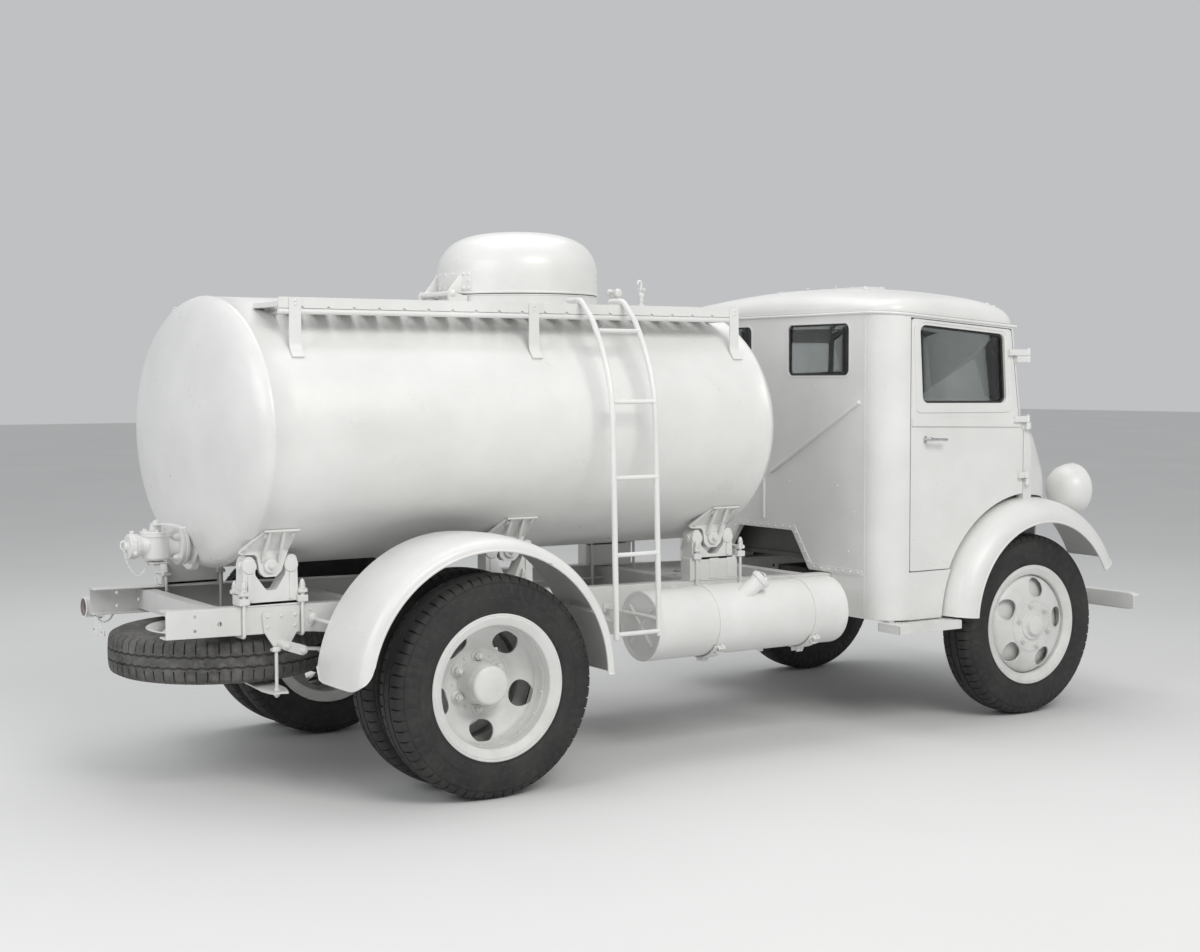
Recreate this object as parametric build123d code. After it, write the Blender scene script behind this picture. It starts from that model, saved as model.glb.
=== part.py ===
from build123d import *
import math
import os

# Tanker truck, millimetres. +X forward, +Y to the truck's left, +Z up, z = 0 on the ground.
# Sizes below count x from the rear axle; every node is moved back by MID_X when it is written,
# so that the origin lies on the ground under the middle of the truck's box.

# ---------------------------------------------------------------- driving sizes
WHEELBASE = 3067.0
MID_X = 1330.0
AXLE_Z = 445.0            # also the tyre's outer radius
TYRE_R, TYRE_HALF_W = 445.0, 97.0
RIM_FLANGE_R, RIM_BARREL_R, RIM_HALF_W = 292.0, 250.0, 76.0
REAR_OUTER_Y, REAR_INNER_Y = 908.0, 663.0
FRONT_TYRE_Y = 818.0
KINGPIN_Y = 700.0
TIE_ARM = 160.0           # kingpin to tie rod ball, rearward

TANK_A, TANK_B, TANK_Z = 735.0, 555.0, 1440.0   # half width, half height, axis height
TANK_X0, TANK_X1, HEAD_D = -812.0, 1567.0, 147.0

RAIL_WEB_Y, RAIL_FLANGE, RAIL_T = 474.0, 72.0, 6.0
RAIL_X0, RAIL_X1 = -1155.0, 3780.0
RAIL_TOP0, RAIL_SLOPE = 753.0, 0.0175

DOME_X, DOME_R = 683.0, 364.0
DOME_HINGE_X, DOME_HINGE_Z = 270.0, 2030.0
NECK_Z = 2026.0

CAB_X0, CAB_X1, CAB_Y = 2150.0, 3050.0, 865.0
CAB_CORNER_R, WALL_T = 145.0, 30.0
EAVE0, EAVE_SLOPE = 1968.0, 0.069      # eave height at the rear wall, and its fall forward
CAB_BOTTOM = 520.0
NOSE_A = 523.0                         # how far the nose bulges past CAB_X1

DOOR_X0, DOOR_X1, DOOR_T = 2301.0, 3043.0, 45.0
DOOR_Z0, DOOR_Z1 = 748.0, 1945.0
HINGE_X, HINGE_Y = 3055.0, 884.0
RAKE = 0.137                           # lean of the windscreen pillars
PILLAR_W = 24.0
ARCH_X, ARCH_Z = 3097.0, 487.0         # middle of the front fender's arc
ARCH_CUT_R = 592.0

REAR_ARCH_X, REAR_ARCH_Z = -30.0, 455.0


def rail_top(x):
    return RAIL_TOP0 - RAIL_SLOPE * x


# rail depth table: x, depth
DEPTH = [(RAIL_X0, 110), (-560, 110), (-250, 150), (450, 150), (760, 215), (2300, 215), (2520, 140), (3000, 130), (3300, 120), (RAIL_X1, 110)]


def rail_bottom(x):
    for (xa, da), (xb, db) in zip(DEPTH, DEPTH[1:]):
        if x <= xb:
            return rail_top(x) - da - (db - da) * max(0.0, x - xa) / (xb - xa)
    return rail_top(x) - DEPTH[-1][1]


def door_edge(z):
    # front edge of the door, and the pillar beside it: upright up to the belt, then raked back
    if z <= 1395:
        return DOOR_X1
    if z <= 1445:
        return DOOR_X1 - 30.0 * (z - 1395) / 50.0
    return DOOR_X1 - 30.0 - RAKE * (z - 1445)


def eave(x):
    return EAVE0 - EAVE_SLOPE * (x - CAB_X0)


# ---------------------------------------------------------------- helpers
def box(x0, x1, y0, y1, z0, z1):
    return Pos((x0 + x1) / 2, (y0 + y1) / 2, (z0 + z1) / 2) * Box(abs(x1 - x0), abs(y1 - y0), abs(z1 - z0))


def bar(p, q, r):
    d = Vector(*q) - Vector(*p)
    return Plane(origin=p, z_dir=d) * Cylinder(r, d.length, align=(Align.CENTER, Align.CENTER, Align.MIN))


def face(pts, lift):
    # a point with a third entry is the middle of an arc between its neighbours
    pts = list(pts) + [pts[0]]
    edges, i = [], 0
    while i < len(pts) - 1:
        if len(pts[i + 1]) == 3:
            edges.append(ThreePointArc(lift(pts[i]), lift(pts[i + 1]), lift(pts[i + 2])))
            i += 2
        else:
            if math.dist(pts[i][:2], pts[i + 1][:2]) > 0.01:
                edges.append(Line(lift(pts[i]), lift(pts[i + 1])))
            i += 1
    return make_face(edges)


def plate_xz(pts, y0, y1):
    return extrude(face(pts, lambda p: (p[0], y0, p[1])), amount=abs(y1 - y0), dir=(0, 1 if y1 > y0 else -1, 0))


def plate_yz(pts, x0, x1):
    return extrude(face(pts, lambda p: (x0, p[0], p[1])), amount=abs(x1 - x0), dir=(1 if x1 > x0 else -1, 0, 0))


def plate_xy(pts, z0, z1):
    return extrude(face(pts, lambda p: (p[0], p[1], z0)), amount=abs(z1 - z0), dir=(0, 0, 1 if z1 > z0 else -1))


def turn_y(pts, cx, cz, a0=0.0, arc=360.0):
    # table of (y, radius), turned about the line through (cx, cz) along Y, from angle a0 above +X
    c, s = math.cos(math.radians(a0)), math.sin(math.radians(a0))
    return revolve(face(pts, lambda p: (cx + p[1] * c, p[0], cz + p[1] * s)), Axis((cx, 0, cz), (0, -1, 0)), arc)


def turn_z(pts, cx, cy):
    # table of (radius, z)
    return revolve(face(pts, lambda p: (cx + p[0], cy, p[1])), Axis((cx, cy, 0), (0, 0, 1)), 360)


def flip(obj):
    return mirror(obj, about=Plane.XZ)


def both(obj):
    return [obj, flip(obj)]


NODES = {}


def node(name, *objs):
    solids = []
    for o in objs:
        for p in (o if isinstance(o, (list, tuple)) else [o]):
            solids += list(p.solids())
    NODES[name] = solids


# ---------------------------------------------------------------- tank
def ellipse_at(x, k):
    return Plane(origin=(x, 0, TANK_Z), x_dir=(0, 1, 0), z_dir=(1, 0, 0)) * Ellipse(TANK_A * k, TANK_B * k)


# head table: depth past the seam, scale of the section there
HEAD = [(0, 1.0), (52, 0.935), (95, 0.763), (125, 0.527), (142, 0.26), (147, 0.06)]
head_rear = [ellipse_at(TANK_X0 - d, k) for d, k in reversed(HEAD)]
head_front = [ellipse_at(TANK_X1 + d, k) for d, k in HEAD]
tank = loft(head_rear + head_front, ruled=True)

# outlet stub out of the rear head, low on the centre line, with its flange
OUTLET_Z = 980.0
stub = bar((-700, 0, OUTLET_Z), (-910, 0, OUTLET_Z), 62) + bar((-908, 0, OUTLET_Z), (-926, 0, OUTLET_Z), 80)
tank = tank + stub
node("tank_shell", tank)

# manhole neck, standing on the shell, with its bolted lid inside
neck = turn_z([(DOME_R - 22, 1880), (DOME_R - 2, 1880), (DOME_R - 2, NECK_Z), (DOME_R - 22, NECK_Z)], DOME_X, 0) - tank
manhole = Pos(DOME_X, 0, 2000) * Cylinder(210, 60) - tank
manhole += Pos(DOME_X, 0, 2036) * Cylinder(235, 14)
# hinge base behind the neck: two lugs and their foot
lugs = box(DOME_HINGE_X - 18, DOME_X - DOME_R + 34, -146, -128, 1940, DOME_HINGE_Z + 16)
lugs += flip(lugs)
lugs += box(DOME_HINGE_X - 18, DOME_X - DOME_R + 24, -146, 146, 1940, 2004)
lugs = lugs - box(DOME_HINGE_X + 10, 420, -170, 170, NECK_Z, 2100)
lugs = lugs - tank
neck = neck + lugs
node("manhole_neck", neck, manhole)

# domed cover, 6 mm sheet, with its hinge tube, two gussets and riveted plate at the rear
RIM_Z = NECK_Z + 2
knuckle = bar((DOME_HINGE_X, -124, DOME_HINGE_Z), (DOME_HINGE_X, 124, DOME_HINGE_Z), 11)
strap = plate_xz([(DOME_HINGE_X - 9, DOME_HINGE_Z + 2), (DOME_HINGE_X, DOME_HINGE_Z - 9), (DOME_HINGE_X + 10, DOME_HINGE_Z + 1), (DOME_X - DOME_R + 34, DOME_HINGE_Z + 2), (DOME_X - DOME_R + 34, 2130), (DOME_X - DOME_R + 12, 2130)], -112, -104)
strap += flip(strap)
strap += turn_z([(DOME_R - 2, 2034), (DOME_R + 5, 2034), (DOME_R + 5, 2138), (DOME_R - 2, 2138)], DOME_X, 0) & box(200, 480, -166, 166, 2000, 2200)
dome_shell = turn_z([(DOME_R - 6, RIM_Z), (DOME_R, RIM_Z), (DOME_R, 2140), (DOME_R - 32, 2225, 0), (DOME_R - 104, 2283), (150, 2310, 0), (30, 2318), (0, 2318),
                     (0, 2312), (30, 2312), (148, 2304, 0), (DOME_R - 107, 2277), (DOME_R - 37, 2222, 0), (DOME_R - 6, 2139)], DOME_X, 0)
dome = dome_shell + ((strap + knuckle) - Pos(DOME_X, 0, 2080) * Cylinder(DOME_R - 3, 200))
node("dome_cover", dome)

# vents on the tank's top: a tee and a small cock
tee = bar((1212, 0, 1980), (1212, 0, 2050), 16) + bar((1212, -46, 2058), (1212, 46, 2058), 20)
cock = bar((1367, 0, 1980), (1367, 0, 2086), 11) + bar((1367, -30, 2078), (1367, 30, 2078), 6) + bar((1367, 0, 2084), (1367, 0, 2120), 7)
node("tank_vents", tee - tank, cock - tank)

# side walkways: edge angle, slats, three posts each side
WALK_Y, WALK_IN, WALK_TOP = 590.0, 330.0, 1973.0
WALK_X0, WALK_X1, SLAT_STEP, SLAT_W = -730.0, 1470.0, 110.0, 86.0
walk = box(WALK_X0, WALK_X1, -WALK_Y, -WALK_Y + 5, 1930, WALK_TOP)
walk += box(WALK_X0, WALK_X1, -WALK_Y, -WALK_Y + 42, 1930, 1935)
walk += box(WALK_X0, WALK_X1, -WALK_IN - 24, -WALK_IN, 1935, 1940)
i = 0
while WALK_X0 + i * SLAT_STEP + SLAT_W <= WALK_X1 + 1:
    x = WALK_X0 + i * SLAT_STEP
    walk += box(x, x + SLAT_W, -WALK_Y + 5, -WALK_IN, 1935, 1957)
    i += 1
for x in (-690.0, 387.0, 1443.0):
    walk += box(x, x + 50, -WALK_Y - 8, -WALK_Y, 1740, WALK_TOP)
    walk += box(x, x + 50, -WALK_IN - 24, -WALK_IN - 16, 1900, 1940)
walk = walk - tank - Pos(DOME_X, 0, 1950) * Cylinder(DOME_R + 8, 120)
node("walkway", both(walk))

# ladder on the right side: rail table (y, z), from the walkway outward and down
LADDER = [(-500, 1990), (-596, 1990), (-687, 1902), (-752, 1800), (-805, 1683), (-830, 1590), (-840, 1487), (-865, 566)]
LADDER_X, LADDER_R = (645.0, 862.0), 12.5
rails = []
for x in LADDER_X:
    path = FilletPolyline(*[(x, y, z) for y, z in LADDER], radius=[70, 180, 420, 420, 250, 250])
    rails.append(sweep(Plane(origin=path @ 0, z_dir=path % 0) * Circle(LADDER_R), path=path))
ladder = rails[0] + rails[1]
# rungs: (y, z)
for y, z in ((-717, 1857), (-834, 1558), (-847, 1240), (-855.5, 918), (-864, 585)):
    ladder += bar((LADDER_X[0], y, z), (LADDER_X[1], y, z), 9.5)
# stays from the frame, each with its own foot: x, |y| where the foot rests
for x, y in ((LADDER_X[0], RAIL_WEB_Y + 10.4), (LADDER_X[1] - 8, RAIL_WEB_Y + 0.3)):
    ladder += bar((x, -y - 2, 640), (x, -858, 640), 8)
    ladder += box(x - 20, x + 20, -y - 6, -y, 620, 660)
node("ladder", ladder)

# ---------------------------------------------------------------- chassis frame
def rail_face(grow):
    top = [(RAIL_X0, rail_top(RAIL_X0) - grow), (RAIL_X1, rail_top(RAIL_X1) - grow)]
    low = [(x, rail_top(x) - d + grow) for x, d in reversed(DEPTH)]
    return top + low


rail = plate_xz(rail_face(0), -RAIL_WEB_Y, -RAIL_WEB_Y + RAIL_FLANGE)
hollow = plate_xz([(p[0] - 50 if p[0] == RAIL_X0 else p[0] + 50 if p[0] == RAIL_X1 else p[0], p[1]) for p in rail_face(RAIL_T)], -RAIL_WEB_Y + RAIL_T, -RAIL_WEB_Y + RAIL_FLANGE + 20)
rail = rail - hollow
# bolt holes through each web at the tail, two above each other
for x, dz in ((-1040.0, 28.0), (-1040.0, 84.0)):
    rail = rail - bar((x, -RAIL_WEB_Y - 5, rail_top(RAIL_X0) - dz), (x, -RAIL_WEB_Y + 12, rail_top(RAIL_X0) - dz), 6.5)
node("frame_rails", both(rail))

# crossmembers, channels between the rails: x, half width along x, top drop, height
IN_Y = RAIL_WEB_Y - RAIL_T
CROSS = [(-915, 28, 12, 86), (-300, 30, 12, 86), (360, 35, 12, 100), (1440, 35, 12, 120), (2080, 35, 12, 60), (3700, 30, 12, 86)]
cross = []
for x, hw, drop, h in CROSS:
    z1 = rail_top(x + hw) - drop
    c = box(x - hw, x + hw, -IN_Y, IN_Y, z1 - h, z1) - box(x - hw + 5, x + hw + 1, -IN_Y - 1, IN_Y + 1, z1 - h + 5, z1 - 5)
    cross.append(c)
node("crossmembers", cross)

bumper = box(3826, 3870, -900, 900, 458, 546) - box(3834, 3871, -892, 892, 466, 538)
for s in (-1, 1):
    bumper += plate_xz([(3600, rail_top(3600) - 20), (3780, rail_top(3780) - 20), (3828, 546), (3828, 470), (3790, 470), (3700, rail_top(3700) - 90), (3600, rail_top(3600) - 90)], s * (RAIL_WEB_Y + 0.2), s * (RAIL_WEB_Y + 12))
node("front_bumper", bumper)

# leaf springs: x middle, |y| middle, seat height, half length, eye height, leaves
SPRINGS = [(0.0, 502.0, 508.0, 620.0, 588.0, 6), (WHEELBASE, 440.0, 486.0, 470.0, 535.0, 4)]
SHACKLE_X, SHACKLE_Z = -690.0, 612.0


def spring(x, y, z, half, ze, n):
    w, t = 26.0, 9.0
    out = None
    for k in range(n):
        L = half * (1 - 0.8 * k / n)
        rise = (ze - (z + (n - 1) * t)) * (L / half) ** 2
        top = z + (n - k) * t
        leaf = plate_xz([(x - L, top + rise), (x, top, 0), (x + L, top + rise), (x + L, top + rise - t), (x, top - t, 0), (x - L, top + rise - t)], y - w, y + w)
        out = leaf if out is None else out + leaf
    for s in (-1, 1):
        out += bar((x + s * half, y - w, ze), (x + s * half, y + w, ze), 20)
    out += box(x - 45, x + 45, y - w - 8, y + w + 8, z - 6, z + n * t + 6)
    return out


def hanger(xh, zp):
    # plate riveted to the web's outer face, narrowing down to its pin
    return plate_xz([(xh - 80, rail_top(xh) - 22), (xh + 78, rail_top(xh) - 22), (xh + 70, rail_top(xh) - 100), (xh + 24, zp - 22), (xh - 24, zp - 22), (xh - 72, rail_top(xh) - 100)], RAIL_WEB_Y + 0.2, RAIL_WEB_Y + 10)


x, y, z, half, ze, n = SPRINGS[0]
rear = spring(x, y, z, half, ze, n)
rear = rear - box(-900, 900, RAIL_WEB_Y - 10, RAIL_WEB_Y + 0.2, 400, 800)
# fixed end forward, shackle at the rear
rear += hanger(half, ze) - bar((half, 400, ze), (half, 700, ze), 12)
rear += bar((half, RAIL_WEB_Y + 0.2, ze), (half, y + 34, ze), 12)
rear += hanger(SHACKLE_X, SHACKLE_Z) - box(-640, -600, 460, 500, 560, 630)
rear += bar((SHACKLE_X, RAIL_WEB_Y + 0.2, SHACKLE_Z), (SHACKLE_X, y + 38, SHACKLE_Z), 12)
rear += bar((-half, y, ze), (-half, y + 38, ze), 12)
rear += plate_xz([(SHACKLE_X - 18, SHACKLE_Z - 14), (-half - 6, ze - 19), (-half + 18, ze - 8), (-half + 14, ze + 16), (SHACKLE_X + 6, SHACKLE_Z + 19), (SHACKLE_X - 16, SHACKLE_Z + 14)], y + 28, y + 36)
node("rear_springs", both(rear))

x, y, z, half, ze, n = SPRINGS[1]
front = spring(x, y, z, half, ze, n)
for sx in (-1, 1):
    xe = x + sx * half
    zt = min(rail_bottom(xe - 26), rail_bottom(xe + 26)) - 0.3
    front += box(xe - 26, xe + 26, y - 34, y + 34, ze - 16, zt) - box(xe - 40, xe + 40, y - 26.3, y + 26.3, ze - 30, zt - 5)
    front += bar((xe, y - 34, ze), (xe, y + 34, ze), 12)
node("front_springs", both(front))

# ---------------------------------------------------------------- axles
beam = box(WHEELBASE - 30, WHEELBASE + 30, -630, 630, 400, 470)
for s in (-1, 1):
    beam += box(WHEELBASE - 26, WHEELBASE + 26, s * 600, s * KINGPIN_Y, 418, 470)
    beam += bar((WHEELBASE, s * KINGPIN_Y, 412), (WHEELBASE, s * KINGPIN_Y, 478), 31)
beam = beam - box(WHEELBASE + 12, WHEELBASE + 40, -560, 560, 414, 456) - box(WHEELBASE - 40, WHEELBASE - 12, -560, 560, 414, 456)
for s in (-1, 1):
    beam += box(WHEELBASE - 45, WHEELBASE + 45, s * 405, s * 475, 470, 479.8)
node("front_axle_beam", beam)

rear_axle = bar((0, -700, AXLE_Z), (0, 700, AXLE_Z), 55)
rear_axle += turn_y([(-150, 0), (-150, 60), (-60, 160), (60, 160), (150, 60), (150, 0)], 0, AXLE_Z)
rear_axle += bar((120, 0, AXLE_Z + 30), (230, 0, AXLE_Z + 30), 62)
for s in (-1, 1):
    rear_axle += box(-50, 50, s * 468, s * 536, 480, 501.7)
node("rear_axle_housing", rear_axle)

PROP = ((231, AXLE_Z + 30), (2299, 600))
shaft = bar((PROP[0][0], 0, PROP[0][1]), (PROP[1][0], 0, PROP[1][1]), 36)
for k in (0.0, 1.0):
    x0 = PROP[0][0] + k * (PROP[1][0] - PROP[0][0] - 90)
    z0 = PROP[0][1] + (PROP[1][1] - PROP[0][1]) * (x0 - PROP[0][0]) / (PROP[1][0] - PROP[0][0])
    shaft += bar((x0, 0, z0), (x0 + 90, 0, z0 + 5.6), 55)
shaft = shaft - box(-100, 230.5, -200, 200, 300, 700) - box(2299, 2450, -200, 200, 300, 900)
node("propeller_shaft", shaft)

# ---------------------------------------------------------------- wheels
TYRE = [(-60, 258), (-80, 283), (-83.5, 296), (-97, 345, 0), (-86, 412), (-78, 424), (-70, 437), (0, 445, 0), (70, 437), (78, 424), (86, 412), (97, 345, 0), (83.5, 296), (80, 283), (60, 258)]


def tyre(cx, cy, cz):
    return turn_y([(cy + p[0],) + tuple(p[1:]) for p in TYRE], cx, cz)


def rim(cx, cy, cz, side):
    # rolled rim with two flanges: y is counted outward from the tyre's middle
    t = [(-84, 292), (-84, 284), (-66, 262), (-66, 250), (66, 250), (66, 262), (84, 284), (84, 292), (92, 292), (92, 276), (76, 244), (-76, 244), (-92, 276), (-92, 292)]
    return turn_y([(cy + side * p[0], p[1]) for p in t], cx, cz)


def hand_holes(disc, cx, cz, y0, y1, r, a, b, turn0=90):
    for k in range(5):
        ang = math.radians(turn0 + 72 * k)
        x, z = cx + r * math.cos(ang), cz + r * math.sin(ang)
        pl = Plane(origin=(x, min(y0, y1), z), x_dir=(-math.sin(ang), 0, math.cos(ang)), z_dir=(0, 1, 0))
        disc = disc - extrude(pl * Ellipse(a, b), amount=abs(y1 - y0))
    return disc


def rear_twin(s):
    # two rims, their concave discs bolted back to back, drum and hub
    yo, yi = s * REAR_OUTER_Y, s * REAR_INNER_Y
    ym = s * 785.5
    w = rim(0, yo, AXLE_Z, s) + rim(0, yi, AXLE_Z, -s)
    disc = [(0, 247), (-24, 242), (-58, 199), (-92, 158), (-122, 140), (-122, 95), (-84, 95), (-84, 138), (-61, 172), (-36, 222), (-16, 236), (24, 239), (24, 247)]
    w += hand_holes(turn_y([(yo + s * p[0], p[1]) for p in disc], 0, AXLE_Z), 0, AXLE_Z, yo - s * 130, yo + s * 40, 196, 42, 27)
    back = [(0, 247), (-58, 238), (-100, 175), (-122, 140), (-122, 95), (-110, 95), (-110, 136), (-90, 170), (-48, 229), (0, 236), (24, 236), (24, 247)]
    w += turn_y([(yi - s * p[0], p[1]) for p in back], 0, AXLE_Z)
    # hub and cap, drum behind
    hub = [(ym - s * 75, 60), (ym - s * 75, 130), (ym - s * 25, 130), (ym - s * 25, 96), (ym + s * 15, 140), (ym + s * 27, 140), (ym + s * 27, 84), (ym + s * 128, 76), (ym + s * 150, 66), (ym + s * 158, 40), (ym + s * 158, 0), (ym - s * 70, 0), (ym - s * 70, 60)]
    w += turn_y(hub, 0, AXLE_Z)
    return w


def axle_gap(s):
    return bar((0, s * 560, AXLE_Z), (0, s * 706, AXLE_Z), 60)


for side, s in (("left", 1), ("right", -1)):
    node("rear_wheels_" + side, rear_twin(s) - axle_gap(s))
    node("rear_tyres_" + side, tyre(0, s * REAR_OUTER_Y, AXLE_Z), tyre(0, s * REAR_INNER_Y, AXLE_Z))


def front_disc(s):
    y = s * FRONT_TYRE_Y
    w = rim(WHEELBASE, y, AXLE_Z, s)
    disc = [(-10, 247), (24, 247), (40, 236), (74, 200), (92, 150), (100, 120), (100, 0), (92, 0), (92, 118), (84, 147), (66, 194), (34, 228), (24, 236), (-10, 236)]
    w += hand_holes(turn_y([(y + s * p[0], p[1]) for p in disc], WHEELBASE, AXLE_Z), WHEELBASE, AXLE_Z, y - s * 20, y + s * 130, 182, 40, 25)
    w += bar((WHEELBASE, y + s * 92, AXLE_Z), (WHEELBASE, y + s * 132, AXLE_Z), 62)
    # drum, open towards the truck
    drum = turn_y([(y - s * 48, 165), (y - s * 48, 155), (y + s * 4, 155), (y + s * 4, 40), (y + s * 95, 40), (y + s * 95, 100), (y + s * 14, 100), (y + s * 14, 165)], WHEELBASE, AXLE_Z)
    return w + drum


for side, s in (("left", 1), ("right", -1)):
    node("front_wheel_" + side, front_disc(s))
    node("front_tyre_" + side, tyre(WHEELBASE, s * FRONT_TYRE_Y, AXLE_Z))
    # knuckle: yoke above and below the beam's end, kingpin plate, backing plate, spindle, arm
    k = box(WHEELBASE - 28, WHEELBASE + 28, s * (KINGPIN_Y - 28), s * (KINGPIN_Y + 52), 484, 512)
    k += box(WHEELBASE - 28, WHEELBASE + 28, s * (KINGPIN_Y - 28), s * (KINGPIN_Y + 52), 378, 406)
    k += box(WHEELBASE - 28, WHEELBASE + 28, s * (KINGPIN_Y + 38), s * (KINGPIN_Y + 54), 378, 512)
    k += bar((WHEELBASE, s * (KINGPIN_Y + 50), AXLE_Z), (WHEELBASE, s * (KINGPIN_Y + 60), AXLE_Z), 150)
    k += bar((WHEELBASE, s * (KINGPIN_Y + 52), AXLE_Z), (WHEELBASE, s * 905, AXLE_Z), 30)
    k += box(WHEELBASE - TIE_ARM - 22, WHEELBASE - 10, s * (KINGPIN_Y - 16), s * (KINGPIN_Y + 16), 378, 394)
    node("knuckle_" + side, k)

tie_x, tie_z = WHEELBASE - TIE_ARM, 412.0
tie = bar((tie_x, -KINGPIN_Y, tie_z), (tie_x, KINGPIN_Y, tie_z), 12)
for s in (-1, 1):
    tie += bar((tie_x, s * KINGPIN_Y, 396), (tie_x, s * KINGPIN_Y, 428), 17)
node("tie_rod", tie)

# spare: lies flat under the tail
SPARE_X, SPARE_Z = -765.0, 548.0


def lay(obj):
    # wheel modelled about Y at the origin, laid about Z
    return Pos(SPARE_X, 0, SPARE_Z) * (Rot(90, 0, 0) * obj)


node("spare_tyre", lay(tyre(0, 0, 0)))
sdisc = [(-10, 247), (24, 247), (40, 236), (74, 200), (92, 150), (92, 95), (84, 95), (84, 147), (66, 194), (34, 228), (24, 236), (-10, 236)]
sp = rim(0, 0, 0, 1) + hand_holes(turn_y(sdisc, 0, 0), 0, 0, -20, 130, 182, 40, 25)
node("spare_wheel", lay(sp))
# carrier: bowed plate under the tyre across the truck, hung on a rod at each end
carry = plate_yz([(-540, 432), (-500, 432), (-300, 443), (0, 446.5, 0), (300, 443), (500, 432), (540, 432), (540, 423), (500, 423), (300, 433), (0, 436, 0), (-300, 433), (-500, 423), (-540, 423)], -765, -665)
for s in (-1, 1):
    carry += bar((-720, s * 502, 414), (-720, s * 502, 606), 7)
    carry += box(-740, -712, s * (RAIL_WEB_Y + 10.4), s * 516, 586, 598)
    carry += bar((-720, s * 502, 406), (-720, s * 502, 423), 13)
node("spare_carrier", carry - NODES["spare_tyre"][0])

# ---------------------------------------------------------------- fenders
# rear fender section table: y, radius; then the sheet's thickness inward
def sheet_arch(cx, cz, table, t, a0, arc, s):
    outer = [(s * p[0],) + tuple(p[1:]) for p in table]
    inner = []
    for p in reversed(table):
        inner.append((s * (p[0] - (t if p[0] == table[0][0] else 0)), p[1] - t) + tuple(p[2:]))
    return turn_y(outer + inner, cx, cz, a0, arc)


REAR_FENDER = [(1030, 534), (1020, 562, 0), (985, 580), (830, 592, 0), (640, 584)]
rf = sheet_arch(REAR_ARCH_X, REAR_ARCH_Z, REAR_FENDER, 4, 0, 177, -1)
# bars from the rail's web to the sheet, ahead of and behind the axle
for a in (25.5, 154.5):
    ca, sa = math.cos(math.radians(a)), math.sin(math.radians(a))
    rf += bar((REAR_ARCH_X + 576 * ca, -930, REAR_ARCH_Z + 576 * sa), (REAR_ARCH_X + 576 * ca, -RAIL_WEB_Y - 0.3, REAR_ARCH_Z + 576 * sa), 8)
node("rear_fenders", both(rf))

FRONT_FENDER = [(985, 466), (972, 520, 0), (930, 566), (790, 585, 0), (640, 586)]
ff = sheet_arch(ARCH_X, ARCH_Z, FRONT_FENDER, 4, 25, 151, -1)
node("front_fenders", both(ff))

# ---------------------------------------------------------------- tank mounting
MOUNT_X = (-725.0, 360.0, 1440.0)
MOUNT_Y = 440.0
PIN_Z = 925.0
TIE_DX = ((-120.0, 125.0), (-125.0, 60.0), (-100.0, 150.0))   # where each pedestal's tie bolts stand
brackets, pedestals = [], []
for i, x in enumerate(MOUNT_X):
    # ribbed bracket under the tank: face plate, two ribs, tongue hanging into the pedestal
    b = plate_xz([(x - 150, 975), (x - 60, 1060), (x + 88, 1060), (x + 70, 985), (x + 38, 900), (x + 20, 880), (x - 34, 880), (x - 50, 900), (x - 60, 972)], -480, -462)
    b += plate_xz([(x - 46, 1060), (x - 34, 1060), (x - 34, 940), (x - 46, 940)], -492, -480)
    b += plate_xz([(x + 22, 1060), (x + 34, 1060), (x + 34, 940), (x + 22, 940)], -492, -480)
    b += box(x - 34, x + 20, -462, -420, 880, 985)
    b += box(x - 60, x + 70, -462, -400, 985, 1060)
    b += bar((x - 120, -440, PIN_Z), (x + 108, -440, PIN_Z), 17)
    b = b - tank
    brackets += both(b)
    # pedestal: two posts on a foot, and on the front one a packing block under it
    y0, y1 = -476.0, -404.0
    z0 = rail_top(x - 140) + (92 if i == 2 else 0.0)
    p = plate_xz([(x - 130, rail_top(x - 130) + 0.3), (x + 140, rail_top(x + 140) + 0.3), (x + 140, z0 + 14), (x - 130, z0 + 14)], y0, y1)
    notch = z0 + (28 if i == 2 else 60)
    p += plate_xz([(x - 122, z0), (x - 20, z0), (x - 20, notch), (x - 68, PIN_Z - 35), (x - 68, PIN_Z + 24), (x - 84, PIN_Z + 40, 0), (x - 104, PIN_Z + 36), (x - 116, PIN_Z + 20)], y0, y1)
    p += plate_xz([(x + 20, z0), (x + 110, z0), (x + 106, PIN_Z + 30), (x + 76, PIN_Z + 42, 0), (x + 58, PIN_Z + 24), (x + 58, PIN_Z - 35), (x + 20, notch)], y0, y1)
    p = p - bar((x - 200, -440, PIN_Z), (x + 200, -440, PIN_Z), 17.3)
    # tie bolts outside and inside the rail, joined under it, each nut on a lug of the foot
    for dx in TIE_DX[i]:
        zb = min(rail_bottom(x + dx - 8), rail_bottom(x + dx + 8)) - 8
        zl = z0 + 44
        lug = box(x + dx - 17, x + dx + 17, -499, -379, zl, zl + 16) + box(x + dx - 17, x + dx + 17, y0 + 4, y1 - 4, z0 + 6, zl + 8)
        p += lug
        for yb in (-485.5, -393.0):
            p += bar((x + dx, yb, zb - 4), (x + dx, yb, zl + 42), 7)
            p += bar((x + dx, yb, zl + 15), (x + dx, yb, zl + 52), 12)
        p += bar((x + dx, -485.5, zb), (x + dx, -393, zb), 6)
    pedestals += both(p)
node("tank_brackets", brackets)
node("pedestals", [p for p in pedestals])

# ---------------------------------------------------------------- outlet valve
valve = bar((-926.3, 0, OUTLET_Z), (-942, 0, OUTLET_Z), 80)
valve += bar((-940, 0, OUTLET_Z), (-975, 0, OUTLET_Z), 46)
valve += bar((-1025, 0, 925), (-1025, 0, 1030), 59)
valve += bar((-1025, 0, 1028), (-1025, 0, 1042), 64)
valve += box(-1047, -1003, -22, 22, 1042, 1072)
valve += bar((-1025, 0, 985), (-1103, 0, 985), 40)
valve += bar((-1025, 0, 900), (-1025, 0, 926), 24)
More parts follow.
